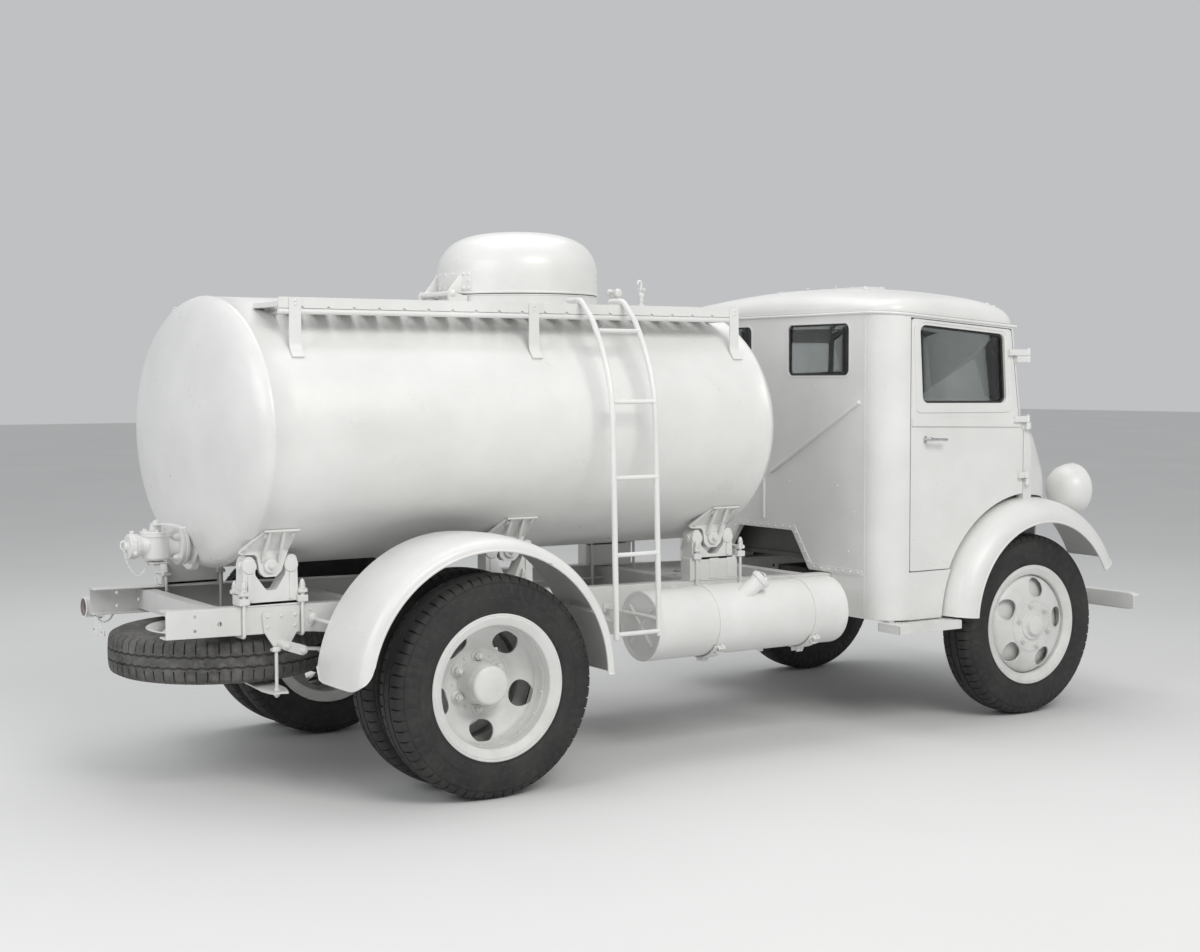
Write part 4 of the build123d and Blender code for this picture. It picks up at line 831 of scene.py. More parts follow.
def front_wheel():
    k = Kit()
    rim(k)
    f = curve_of(FRONT_FACE)
    holed_disc(k, f, 127, 241, 184, 52, 47, 8, phase=80.0, inner=(122, 116, 108, 100, 80, 62, 40))
    # pressed edge round each hand hole, and the pale plate that shows close behind the holes
    for s in range(5):
        ring = []
        for j in range(40):
            u = 2 * pi * j / 40
            r = 184 + 48.5 * sin(u)
            a = rad(80 + 72 * s) + 53.5 * cos(u) / r
            ring.append((r * cos(a), f(r) - 1.2, r * sin(a)))
        k.tube(ring, 3.2, 8, loop=True)
    k.lathe([(64, 112), (60, 150), (48, 196), (30, 232), (25, 232), (43, 195), (55, 149), (59, 112)], (0, 0, 0), (0, 1, 0), 72, close=True)
    k.lathe([(30, 241), (24, 243.6), (2, 243.8), (-4, 243), (-4, 238), (22, 237)], (0, 0, 0), (0, 1, 0), 96)
    # pressed step round the bolts
    k.lathe([(99.0, 134), (101.6, 128), (102.2, 121), (100.8, 116)], (0, 0, 0), (0, 1, 0), 72)
    for i in range(6):
        t = rad(43 + 60 * i)
        p = (103 * cos(t), 100, 103 * sin(t))
        k.lathe([(-2, 20), (3, 19), (5, 16), (5, 0)], p, (0, 1, 0), 20)
        k.hexa((p[0], 104, p[2]), (0, 1, 0), 14.5, 16, washer=False, stud=8)
    k.lathe([(99, 76), (103, 75.5), (107, 73), (108.5, 69), (108, 64), (106.5, 60), (107, 56), (111, 52.5), (120, 50), (126, 47.5), (129.6, 41), (131.5, 26), (131.8, 0)], (0, 0, 0), (0, 1, 0), 56)
    k.lathe([(100, 30), (60, 40), (4, 42), (4, 152), (-2, 160), (-46, 162), (-50, 168), (-56, 168), (-56, 154), (-4, 150)], (0, 0, 0), (0, 1, 0), 64, 1)
    for i in range(3):
        y = -14 - 12 * i
        k.lathe([(y, 160), (y + 1, 165), (y + 4, 165), (y + 5, 160)], (0, 0, 0), (0, 1, 0), 64, 1)
    return k


def spare_wheel():
    k = Kit()
    rim(k)
    f = curve_of(FRONT_FACE)
    holed_disc(k, f, 138, 240, 183, 39, 26, 8, inner=(132, 120, 105, 92))
    for i in range(6):
        t = rad(60 * i)
        k.lathe([(99, 17), (101, 16), (101, 10), (96, 10)], (107 * cos(t), 0, 107 * sin(t)), (0, 1, 0), 18)
    return k


REAR, INNER_W, FRONT_K = rear_wheel(), twin_inner(), front_wheel()
for side in ("left", "right"):
    rw = Kit().join(REAR, (0, 908, 445)).join(INNER_W, (0, 908, 445))
    fw = Kit().join(FRONT_K, (WB, 818, 445))
    rt = Kit().join(TYRE_KIT, (0, 908, 445)).join(TYRE_KIT, (0, 663, 445))
    ft = Kit().join(TYRE_KIT, (WB, 818, 445))
    if side == "right":
        rw, fw, rt, ft = rw.flip(), fw.flip(), rt.flip(), ft.flip()
    emit(rw, "rear_wheel_pair_" + side, f"rear_{side}_wheels", [WHITE_CHASSIS, BLACK], replaces=["rear_wheels_" + side], weld=0.05)
    emit(fw, "front_disc_wheel_" + side, f"front_{side}_wheel", [WHITE_CHASSIS, BLACK], replaces=["front_wheel_" + side], weld=0.05)
    emit(rt, "rear_treads_" + side, f"rear_{side}_wheels", [RUBBER], smooth=32, replaces=["rear_tyres_" + side], weighted=False)
    emit(ft, "front_tread_" + side, f"front_{side}_wheel", [RUBBER], smooth=32, replaces=["front_tyre_" + side], weighted=False)


def laid(kit):
    """Turned flat for the spare's place under the tail, outer face up."""
    k = Kit()
    k.v = [(p[0] - 765.0, -p[2], p[1] + 548.0) for p in kit.v]
    k.f, k.m = list(kit.f), list(kit.m)
    return k


emit(laid(TYRE_KIT), "spare_tread", "root", [RUBBER_OLD], smooth=32, replaces=["spare_tyre"], weighted=False)
emit(laid(spare_wheel()), "spare_disc_wheel", "root", [WHITE_CHASSIS], replaces=["spare_wheel"], weld=0.05)
# carrier: bowed plate with rolled edges, a hanging rod and nuts at each end
k = Kit()
rows = []
CARRY = smoothline([(-540, 423), (-500, 423.5), (-300, 433.5), (-120, 436.5), (0, 437), (120, 436.5), (300, 433.5), (500, 423.5), (540, 423)], 4)
for q in CARRY:
    y, z = q
    w = 50 if abs(y) < 470 else 50 - (abs(y) - 470) * 0.32
    rows.append([(-715 - w, y, z), (-715 - w - 2, y, z + 6), (-715 - w + 4, y, z + 9.5), (-715, y, z + 9), (-715 + w - 4, y, z + 9.5), (-715 + w + 2, y, z + 6), (-715 + w, y, z), (-715, y, z + 2)])
k.loft(rows, True, True, True)
for s in (-1, 1):
    k.rod((-720, s * 502, 408), (-720, s * 502, 600), 7, 14)
    k.hexa((-720, s * 502, 424), (0, 0, -1), 12, 11, stud=6)
    k.hexa((-720, s * 502, 433), (0, 0, 1), 12, 8)
    k.rod((-736, s * 502, 596), (-704, s * 502, 596), 9, 14)
    k.box(-740, -712, s * 484.6, s * 516, 588, 600, 3)
emit(k, "spare_cradle", "root", [WHITE_CHASSIS], replaces=["spare_carrier"])


# ------------------------------------------------------------------ tank
TA, TB, TZ, TX0, TX1, HD = 735.0, 555.0, 1440.0, -812.0, 1567.0, 147.0


def oval(x, grow=0.0, share=1.0, n=208):
    return [(x, (TA * share + grow) * cos(2 * pi * j / n), TZ + (TB * share + grow) * sin(2 * pi * j / n)) for j in range(n)]


def tank_y(z):
    return TA * math.sqrt(max(0.0, 1 - ((z - TZ) / TB) ** 2))


k = Kit()
BEAD = [(-9, 0), (-8.4, 0.5), (-5.5, 1.9), (0, 2.5), (5.5, 1.9), (8.4, 0.5), (9, 0)]
rings = []
turns = [89, 87, 84, 80, 76, 71, 66, 61, 56, 51, 46, 41, 36, 31, 26, 21.5, 17, 13, 9.5, 6.5]
for a in turns:
    rings.append(oval(TX0 - HD * sin(rad(a)), 0, cos(rad(a))))
for dx, g in BEAD:
    rings.append(oval(TX0 + dx, g))
for i in range(1, 24):
    rings.append(oval(TX0 + (TX1 - TX0) * i / 24))
for dx, g in BEAD:
    rings.append(oval(TX1 + dx, g))
for a in reversed(turns):
    rings.append(oval(TX1 + HD * sin(rad(a)), 0, cos(rad(a))))
k.loft(rings, cap0=True, cap1=True)
# outlet stub with its flange and the weld round it
OZ = 980.0
k.lathe([(-100, 0), (-100, 62), (4, 62), (6, 64), (10, 70), (10, 0)], (-900, 0, OZ), (-1, 0, 0), 64)
k.lathe([(0, 0), (0, 78), (1.8, 80), (15.5, 80), (17.6, 78), (17.6, 0)], (-908, 0, OZ), (-1, 0, 0), 72)
k.lathe([(-30, 60), (-14, 84), (-6, 80), (0, 70), (0, 58)], (-892, 0, OZ), (-1, 0, 0), 64)
emit(k, "tank_shell_plates", "root", [WHITE_TANK], smooth=50, replaces=("tank_shell",), weighted=False)

# ------------------------------------------------------------------ manhole neck and its bolted lid
DX = 683.0
k = Kit()
k.lathe([(1885, 344), (1885, 362), (2018, 362), (2021, 365), (2024.5, 364), (2026, 360), (2026, 346), (2023, 342.5), (2016, 342), (1890, 342)], (DX, 0, 0), (0, 0, 1), 120, close=True)
k.lathe([(1955, 210), (2026, 210), (2029, 216), (2029, 232), (2031, 235), (2041, 235), (2043, 232), (2043, 120), (2047, 96), (2051, 60), (2052, 0)], (DX, 0, 0), (0, 0, 1), 96)
for i in range(12):
    t = 2 * pi * (i + 0.5) / 12
    k.hexa((DX + 222 * cos(t), 222 * sin(t), 2043), (0, 0, 1), 9.5, 9, stud=5)
k.tube(fillet3([(DX - 62, 0, 2046), (DX - 62, 0, 2094), (DX + 62, 0, 2094), (DX + 62, 0, 2046)], 22), 7.5, 14)
for s in (-1, 1):
    k.lathe([(0, 0), (0, 17), (3, 15), (6, 9), (6, 0)], (DX + s * 62, 0, 2048), (0, 0, 1), 20)
lug = rounded([(254, 1945), (343, 1945), (343, 2018), (290, 2030), (283, 2046), (262, 2046), (252, 2030)], [3, 2, 6, 8, 9, 9, 10])
for s in (-1, 1):
    k.slab(lug, xz(), s * 128.3, s * 145.5, [circle(270, 2030, 7.6, 18)], b=1.6)
    k.lathe([(0, 0), (0, 15), (3, 15), (9, 12), (12, 6), (12.5, 0)], (270, s * 145.5, 2030), (0, s, 0), 20)
k.box(256, 340, -144, 144, 1948, 2003, b=4)
emit(k, "manhole_ring", "root", [WHITE_CAST], replaces=("manhole_neck",))

# ------------------------------------------------------------------ domed cover
k = Kit()
outer = [(2034, 364.0), (2060, 364.0), (2100, 364.0), (2132, 363.8)]
arc = smoothline([(363.8, 2132), (359.5, 2166), (349, 2196), (332, 2225), (303, 2256), (262, 2281), (210, 2299), (150, 2309.5), (88, 2315.5), (36, 2317.8)], 5)
outer += [(p.y, p.x) for p in arc[1:]] + [(2318, 12), (2318, 0)]
inner = [(2312, 0), (2311.6, 36), (2303.5, 150), (2276, 258), (2222, 327), (2195, 343), (2160, 354), (2130, 357.8), (2040, 358)]
roll = [(2031, 359), (2028.4, 362), (2028.2, 366), (2030.4, 369.2), (2034.2, 370.2), (2038, 369), (2040, 366), (2040.6, 364.2)]
k.lathe(roll + outer[1:] + inner, (DX, 0, 0), (0, 0, 1), 144, close=True)
k.lathe([(2044, 360), (2044, 368.6), (2046, 369.4), (2126, 369.4), (2128, 368.6), (2128, 360)], (DX, 0, 0), (0, 0, 1), 22, a0=270 - 26.5, arc=53, close=True)
gus = rounded([(262, 2037), (270, 2022), (282, 2032), (352, 2033), (352, 2126), (334, 2126)], [5, 8, 5, 0, 0, 6])
for s in (-1, 1):
    k.slab(gus, xz(), s * 104.3, s * 111.7, b=1.4)
    for y in (124.0, 152.0):
        a = math.asin(y / 369.4)
        for z in (2056.0, 2086.0, 2116.0):
            if y < 130 and z == 2086.0:
                continue
            n = Vector((-cos(a), s * sin(a), 0))
            k.rivet((DX + 369.4 * n.x, 369.4 * n.y, z), n, 7.5)
for y in (-60.0, 0.0, 60.0):
    a = math.asin(abs(y) / 369.4)
    n = Vector((-cos(a), (1 if y > 0 else -1) * sin(a), 0))
    for z in (2056.0, 2116.0):
        k.rivet((DX + 369.4 * n.x, 369.4 * n.y, z), n, 7.0)
k.lathe([(-124, 0), (-124, 9.5), (-122.5, 11), (-113, 11), (-112, 12.4), (-103, 12.4), (-102, 11), (102, 11), (103, 12.4), (112, 12.4), (113, 11), (122.5, 11), (124, 9.5), (124, 0)], (270, 0, 2030), (0, 1, 0), 24)
emit(k, "dome_cover_pressing", "dome_cover", [WHITE_TANK], smooth=42, replaces=("dome_cover",), weighted=False)

# ------------------------------------------------------------------ vents
k = Kit()
k.lathe([(1985, 0), (1985, 34), (1996, 33), (1998, 30), (1999, 18), (2004, 17), (2012, 16), (2034, 15.5), (2042, 17), (2048, 15), (2056, 0)], (1212, 0, 0), (0, 0, 1), 32)
bulb = [(-46, 0), (-46, 7), (-45, 13), (-42, 17.5), (-37, 20), (-31, 20), (-26, 18.5), (-24, 16), (-21, 14.5), (-8, 14.2), (0, 14.8), (8, 14.2), (21, 14.5), (24, 16), (26, 18.5), (31, 20), (37, 20), (42, 17.5), (45, 13), (46, 7), (46, 0)]
k.lathe(bulb, (1212, 0, 2058), (0, 1, 0), 36)
for s in (-1, 1):
    k.lathe([(0, 0), (0, 6), (1.5, 6), (3, 3), (3.2, 0)], (1212, s * 45.2, 2058), (0, s, 0), 6)
k.lathe([(1988, 0), (1988, 24), (1997, 23), (1998, 18)], (1367, 0, 0), (0, 0, 1), 24)
k.lathe([(1996, 0), (1996, 17), (2008, 17), (2010, 12), (2010, 0)], (1367, 0, 0), (0, 0, 1), 6)
k.lathe([(2008, 0), (2008, 9), (2022, 9), (2024, 12.5), (2028, 13), (2031, 10), (2040, 10), (2046, 14), (2054, 16.5), (2062, 14), (2067, 10), (2072, 9), (2074, 12), (2082, 12), (2084, 8), (2098, 7), (2104, 7), (2104, 0)], (1367, 0, 0), (0, 0, 1), 24)
k.lathe([(-30, 0), (-30, 4.5), (-28, 7), (-24, 7), (-21, 4.6), (0, 5.4), (21, 4.6), (24, 7), (28, 7), (30, 4.5), (30, 0)], (1367, 0, 2078), (0, 1, 0), 18)
k.tube(smoothline([(1367, 0, 2098), (1367, 0, 2108), (1363, -1, 2116), (1354, -3, 2117.5), (1346, -5, 2112), (1344, -5.5, 2102)], 5), [6.8] * 15 + [6.2] * 11, 14)
emit(k, "tank_vent_fittings", "root", [WHITE_CAST], replaces=("tank_vents",))

# ------------------------------------------------------------------ side walkways
k = Kit()
X0, X1 = -730.0, 1470.0
low = [(X0, 1930.5)]
i = 0
while X0 + i * 110 + 98 < X1 - 20:
    c = X0 + i * 110 + 98
    low += [(c - 11, 1930.5), (c, 1940.5), (c + 11, 1930.5)]
    i += 1
k.slab(low + [(X1, 1930.5), (X1, 1972.5), (X0, 1972.5)], xz(), -589.8, -585.2, b=0.0)
k.box(X0, X1, -590, -575, 1969.4, 1973, b=1.4)
k.rod((X0, -581, 1918.5), (X1, -581, 1918.5), 11.5, 18, 3)
k.box(X0 + 4, X1 - 4, -585, -548, 1930.6, 1934.6, b=0.8)
k.box(X0, X1, -354, -330, 1935.2, 1939.8, b=0.8)
i = 0
while X0 + i * 110 + 86 <= X1 + 1:
    x = X0 + i * 110
    k.slab(rounded([(x + 0.5, 1936), (x + 85.5, 1936), (x + 85.5, 1957), (x + 0.5, 1957)], 3.5, 3), xz(), -584.6, -331, b=1.2)
    for yy in (-566, -350):
        k.rivet((x + 22, yy, 1956.8), (0, 0, 1), 6)
        k.rivet((x + 64, yy, 1956.8), (0, 0, 1), 6)
    i += 1
for x in (-690.0, 387.0, 1443.0):
    xc = x + 25
    path = [(-593.6, 1972.6), (-593.6, 1800), (-594.6, 1786), (-599, 1774), (-607, 1762), (-625.5, 1741)]
    rings = []
    for j, (y, z) in enumerate(path):
        a = Vector(path[max(j - 1, 0)])
        c = Vector(path[min(j + 1, len(path) - 1)])
        t = (c - a).normalized()
        n = Vector((t.y, -t.x))
        if n.x > 0:
            n = -n
        o2, i2 = Vector((y, z)) + n * 4, Vector((y, z)) - n * 4
        rings.append([(x + 0.4, o2.x, o2.y), (x + 49.6, o2.x, o2.y), (x + 49.6, i2.x, i2.y), (x + 0.4, i2.x, i2.y)])
    k.loft(rings, cap0=True, cap1=True, b=1.5)
    k.box(xc - 25, xc + 25, -353.6, -346.4, 1901, 1939, b=1)
    for z in (1944.0, 1960.0):
        k.rivet((xc, -597.4, z), (0, -1, 0), 6.5)
    k.rod((xc, -590, 1918.5), (xc, -352, 1918.5), 9, 14, 2)
emit(k.both(), "walkway_boards", "root", [WHITE], replaces=("walkway",))

# ------------------------------------------------------------------ ladder
k = Kit()
LAD = [(-500, 1990), (-596, 1990), (-687, 1902), (-752, 1800), (-805, 1683), (-830, 1590), (-840, 1487), (-865, 566)]
for x in (645.0, 862.0):
    pts = fillet3([(x, y, z) for y, z in LAD], [62, 170, 400, 400, 240, 240], 8)
    k.tube(pts, 12.4, 20)
    k.lathe([(-2, 0), (-2, 12.2), (2, 12.2), (5, 9), (6, 4), (6, 0)], (x, -500 + 1, 1990), (0, 1, 0), 20)
    k.lathe([(-1, 12.4), (4, 12), (7, 8), (8, 0)], (x, -865, 566 + 4), (0, 0, -1), 20)
    k.box(x - 14, x + 14, -590, -510, 1974, 1981, b=1.2)
    for yy in (-524, -572):
        k.hexa((x + 0, yy, 1981), (0, 0, 1), 6, 5)
for y, z in ((-717, 1857), (-834, 1558), (-847, 1240), (-855.5, 918), (-864, 585)):
    k.lathe([(0, 0), (0, 15), (5, 12.5), (9, 9.8), (204, 9.8), (208, 12.5), (213, 15), (213, 0)], (647, y, z), (1, 0, 0), 18)
for x, y in ((645.0, 484.4), (854.0, 474.3)):
    k.rod((x, -y - 2, 640), (x, -856, 640), 8, 16)
    k.box(x - 20, x + 20, -y - 6, -y, 620, 660, b=1.4)
    for dx, dz in ((-13, -12), (13, 12)):
        k.hexa((x + dx, -y - 6, 640 + dz), (0, -1, 0), 5, 4)
    k.lathe([(0, 0), (0, 12), (8, 11), (14, 8.2)], (x, -y - 6, 640), (0, -1, 0), 18)
emit(k, "ladder_tubes", "root", [WHITE], replaces=("ladder",))

# ------------------------------------------------------------------ outlet valve, its lever and cap
k = Kit()
k.lathe([(0, 0), (0, 78), (1.8, 80), (13.6, 80), (15.6, 78), (15.6, 50), (19, 47), (30, 46), (46, 46), (50, 48), (60, 50), (60, 0)], (-926.4, 0, OZ), (-1, 0, 0), 72)
for sy in (-1, 1):
    for z in (1019.0, 935.0):
        k.lathe([(0, 0), (0, 19), (3, 19), (3.4, 0)], (-942, sy * 42, z), (-1, 0, 0), 24)
        k.lathe([(3, 0), (3, 15.5), (13, 15.5), (15, 13), (15, 0)], (-942, sy * 42, z), (-1, 0, 0), 6)
        k.lathe([(13, 12.5), (20, 11.5), (25, 7.5), (27, 3), (27.4, 0)], (-942, sy * 42, z), (-1, 0, 0), 20)
k.lathe([(925, 0), (925, 44), (927, 51), (932, 56), (940, 58.6), (1012, 59), (1018, 60), (1022, 63.4), (1024, 64), (1029, 64), (1031, 62.6), (1032, 64), (1040, 64), (1042, 62.4), (1042, 26)], (-1025, 0, 0), (0, 0, 1), 72)
k.lathe([(1040, 0), (1040, 25), (1062, 24.4), (1067, 21), (1069, 14), (1069, 0)], (-1025, 0, 0), (0, 0, 1), 36)
for i in range(6):
    t = 2 * pi * i / 6 + 0.3
    k.hexa((-1025 + 50 * cos(t), 50 * sin(t), 1042), (0, 0, 1), 6.5, 6, stud=3)
k.lathe([(40, 0), (40, 46), (56, 44), (60, 40.5), (68, 40), (70, 44), (74, 45), (78, 44), (78, 0)], (-1025, 0, 985), (-1, 0, 0), 56)
k.lathe([(926, 0), (926, 30), (921, 30), (920, 24), (909, 24), (907, 21), (907, 0)], (-1025, 0, 0), (0, 0, 1), 6)
k.lathe([(908, 0), (908, 15), (902, 15), (900, 12), (900, 0)], (-1025, 0, 0), (0, 0, 1), 20)
k.box(-1060, -990, -34, 34, 912, 918, b=1.4)
for dx in (-26, 26):
    for dy in (-24, 24):
        k.hexa((-1025 + dx, dy, 912), (0, 0, -1), 6, 6)
# lever: flat bar rising from the stem and running out to the right, end eye
way = smoothline([(-1025, 24, 1070), (-1025, -8, 1069.5), (-1024, -36, 1070.5), (-1022, -66, 1074.5), (-1017, -100, 1077.5), (-1009, -140, 1076), (-1000, -190, 1072.5), (-994, -232, 1070)], 5)
rings = []
for j, p in enumerate(way):
    half = interp([(0, 17), (8, 19), (14, 14), (26, 12.5), (35, 14)], j)
    rings.append([(p.x - half, p.y, p.z - 3.4), (p.x + half, p.y, p.z - 3.4), (p.x + half, p.y, p.z + 3.4), (p.x - half, p.y, p.z + 3.4)])
k.loft(rings, cap0=True, cap1=True, b=1.2)
k.lathe([(-4, 0), (-4, 15), (-2.4, 16.4), (2.4, 16.4), (4, 15), (4, 0)], (-994, -232, 1070), (0, 0, 1), 24)
k.hexa((-1025, 0, 1073), (0, 0, 1), 12, 9, stud=4)
emit(k, "outlet_valve_castings", "root", [WHITE_CAST], replaces=("outlet_valve",))

k = Kit()
k.lathe([(0, 0), (0, 47), (2, 50), (8, 50), (9, 48.6), (13, 48.6), (14, 50), (27, 50), (28, 48.6), (32, 48.6), (33, 50), (37, 49.4), (40.4, 45), (40.4, 22), (44, 18), (52, 16), (54, 12), (54, 0)], (-1103.6, 0, 985), (-1, 0, 0), 64)
for a in (90, 210, 330):
    ca, sa = cos(rad(a)), sin(rad(a))
    k.lathe([(42, 0), (42, 12), (47, 9.6), (54, 9), (57, 10), (60, 9.4), (62, 6), (62, 0)], (-1124, 0, 985), (0, ca, sa), 18)
for a in (30, 150, 270):
    ca, sa = cos(rad(a)), sin(rad(a))
    k.block((-1124, 49 * ca, 985 + 49 * sa), (9, 0, 0), (0, -6 * sa, 6 * ca), (0, 3.5 * ca, 3.5 * sa), 1.5)
for i in range(40):
    t = 2 * pi * i / 40
    k.block((-1114.6, 49.6 * cos(t), 985 + 49.6 * sin(t)), (1.9, 0, 0), (0, -1.5 * sin(t), 1.5 * cos(t)), (0, 0.9 * cos(t), 0.9 * sin(t)), 0.3)
eye = [(-1160 + 11 * cos(2 * pi * j / 20), 0, 991 + 17 * sin(2 * pi * j / 20)) for j in range(20)]
k.tube(eye, 3.6, 10, loop=True)
for z in (968, 1002):
    k.lathe([(0, 0), (0, 6), (2.5, 8), (7, 8), (9.5, 6), (9.5, 0)], (-1153, -4.7, z), (0, 1, 0), 14)
emit(k, "outlet_cap_ring", "root", [WHITE_CAST], replaces=("outlet_cap",))

# chain that keeps the cap, hanging from its eye back to the stem plate
path = smoothline([(-1160, -4, 977), (-1156, -8, 948), (-1146, -12, 915), (-1126, -14, 880), (-1104, -12, 866), (-1082, -10, 880), (-1068, -8, 904), (-1060, -6, 915)], 6)
k = Kit()
k.chain(path, 15.0, 9.0, 1.5)
chain = emit(k, "cap_chain", "root", [WHITE_CAST], weighted=False)


# ------------------------------------------------------------------ frame rails
DEPTH = [(-1155, 110), (-560, 110), (-250, 150), (450, 150), (760, 215), (2300, 215), (2520, 140), (3000, 130), (3300, 120), (3780, 110)]


def rail_top(x):
    return 753.0 - 0.0175 * x


def rail_low(x):
    return rail_top(x) - interp(DEPTH, x)


k = Kit()
low = smoothline([(x, rail_low(x)) for x in (-1155, -860, -600, -480, -360, -250, 0, 450, 560, 660, 760, 1200, 1800, 2300, 2370, 2450, 2520, 3000, 3300, 3780)], 3)
low = [(p.x, p.y) for p in low]
web = [(-1155, rail_top(-1155) - 1), (3780, rail_top(3780) - 1)] + [(x, z + 1) for x, z in reversed(low)]
holes = [circle(-1040, rail_top(-1155) - 28, 6.5, 16), circle(-1040, rail_top(-1155) - 84, 6.5, 16)]
for x, d in ((-940, 60), (-420, 50), (-60, 74), (220, 70), (640, 90), (960, 110), (1260, 120), (1640, 120), (1900, 96), (2060, 130), (2560, 60), (2860, 60), (3200, 60), (3560, 56)):
    holes.append(circle(x, rail_top(x) - d, 9 if x % 3 else 12, 16))
k.slab(web, xz(), -473.8, -468.4, holes, b=0)
rows = []
for x in [-1155, -1149] + list(range(-1000, 3700, 250)) + [3774, 3780]:
    z = rail_top(x)
    rows.append([(x, -474, z - 6), (x, -474, z - 2.5), (x, -471.5, z), (x, -404, z), (x, -402, z - 1.5), (x, -402, z - 4.5), (x, -403.4, z - 6)])
k.loft(rows, cap0=True, cap1=True)
rows = []
for x, z in low:
    rows.append([(x, -474, z + 6), (x, -474, z + 2.5), (x, -471.5, z), (x, -404, z), (x, -402, z + 1.5), (x, -402, z + 4.5), (x, -403.4, z + 6)])
k.loft(rows, cap0=True, cap1=True)
# rivets of the crossmembers' ends, in the web
for x, drop, h in ((-300, 12, 86), (360, 12, 100), (1440, 12, 120), (2080, 12, 60), (3700, 12, 86)):
    for dx in (-16, 16):
        for f in (0.22, 0.5, 0.78):
            z = rail_top(x) - drop - h * f
            k.rivet((x + dx, -473.6, z), (0, -1, 0), 7)
for x in (-560, 40, 900, 1120, 1560, 1980, 2680, 3040, 3400):
    for z in (rail_top(x) - 24, rail_low(x) + 24):
        k.rivet((x, -473.6, z), (0, -1, 0), 6.5)
emit(k.both(), "frame_rail_channels", "root", [WHITE_CHASSIS], replaces=("frame_rails",), weighted=False)

# brake and fuel lines with their clips along the rails
k = Kit()
for s, dy in ((-1, 0), (1, 0)):
    pts = [(-80, s * 398, 600), (120, s * 396, rail_top(300) - 60), (420, s * 396, rail_top(420) - 60), (900, s * 396, rail_top(900) - 66), (1600, s * 396, rail_top(1600) - 66), (2240, s * 396, rail_top(2240) - 70)]
    k.tube(fillet3(pts, 60), 4.6, 10)
    k.box(-96, -64, min(s * 388, s * 408), max(s * 388, s * 408), 592, 606, b=2)
    for x in (300, 700, 1100, 1500, 1900, 2200):
        z = rail_top(x) - 66 if x > 500 else rail_top(x) - 60
        a, b_ = sorted((s * 390, s * 468))
        k.box(x - 9, x + 9, a, b_, z - 3, z + 8, b=1.5)
emit(k, "chassis_lines", "root", [WHITE_CHASSIS])

# ------------------------------------------------------------------ springs
def leafspring(x, y, z, half, ze, n):
    k = Kit()
    t = 9.0
    for i in range(n):
        L = half * (1 - 0.8 * i / n)
        rise = (ze - (z + (n - 1) * t)) * (L / half) ** 2
        top = z + (n - i) * t
        rows = []
        m = 26
        for j in range(m + 1):
            dx = -L + 2 * L * j / m
            zz = top + rise * (dx / L) ** 2
            w = 26.0 if abs(dx) < L - 16 or i == 0 else 26.0 - 9.0 * (abs(dx) - L + 16) / 16
            rows.append([(x + dx, y - w, zz - 8.4), (x + dx, y - w, zz - 0.8), (x + dx, y - w + 1.2, zz), (x + dx, y + w - 1.2, zz), (x + dx, y + w, zz - 0.8), (x + dx, y + w, zz - 8.4)])
        k.loft(rows, cap0=True, cap1=True)
    for s in (-1, 1):
        k.lathe([(-27, 13), (-27, 19), (-25.5, 20.4), (25.5, 20.4), (27, 19), (27, 13)], (x + s * half, y, ze), (0, 1, 0), 28, close=True)
        k.lathe([(-30, 0), (-30, 11), (30, 11), (30, 0)], (x + s * half, y, ze), (0, 1, 0), 16)
    zt = z + n * t
    k.box(x - 52, x + 52, y - 33, y + 33, zt + 0.5, zt + 12, b=2.5)
    k.box(x - 56, x + 56, y - 34, y + 34, z - 12, z - 0.5, b=2.5)
    for sx in (-36, 36):
        pts = [(x + sx, y - 30, z - 30), (x + sx, y - 30, zt + 14), (x + sx, y + 30, zt + 14), (x + sx, y + 30, z - 30)]
        k.tube(fillet3(pts, 12, 6), 6.2, 12)
        for sy in (-30, 30):
            k.hexa((x + sx, y + sy, z - 12), (0, 0, -1), 10, 9)
    for sx in (-0.46, 0.46):
        c = x + sx * half
        zz = z + n * t + (ze - (z + (n - 1) * t)) * 0.46 ** 2
        k.box(c - 10, c + 10, y - 29, y + 29, zz - 38, zz + 3, b=1.5)
        k.hexa((c, y - 29, zz - 30), (0, -1, 0), 5, 4)
    return k


def hanger(k, xh, zp, hinge=True):
    y = 474.2
    o = [(xh - 80, rail_top(xh) - 22), (xh + 78, rail_top(xh) - 22), (xh + 70, rail_top(xh) - 100), (xh + 25, zp - 20), (xh - 25, zp - 20), (xh - 72, rail_top(xh) - 100)]
    k.slab(rounded(o, [12, 12, 16, 20, 20, 16], 5), xz(), -y - 9.6, -y, b=1.6)
    for dx, dz in ((-58, 40), (58, 40), (-58, 82), (58, 82), (0, 40)):
        k.rivet((xh + dx, -y - 9.4, rail_top(xh) - dz), (0, -1, 0), 8)


k = leafspring(0.0, -502.0, 508.0, 620.0, 588.0, 6)
hanger(k, 620, 588)
hanger(k, -690, 612)
k.lathe([(0, 0), (0, 20), (4, 20), (6, 17), (52, 17), (54, 20), (58, 20), (58, 0)], (620, -476, 588), (0, -1, 0), 24)
k.hexa((620, -534, 588), (0, -1, 0), 13, 10)
k.lathe([(0, 0), (0, 22), (8, 20), (60, 17), (62, 0)], (-690, -476, 612), (0, -1, 0), 24)
link = [(-708, 598), (-626, 569), (-602, 580), (-606, 604), (-684, 631), (-706, 626)]
for y0, y1 in ((-538.5, -530.5),):
    k.slab(rounded(link, [14, 12, 12, 12, 14, 12], 5), xz(), y0, y1, b=1.8)
k.hexa((-690, -538.5, 612), (0, -1, 0), 12, 9, stud=4)
k.hexa((-620, -538.5, 588), (0, -1, 0), 12, 9, stud=4)
k.rod((-620, -536, 588), (-620, -502, 588), 12, 18, 2)
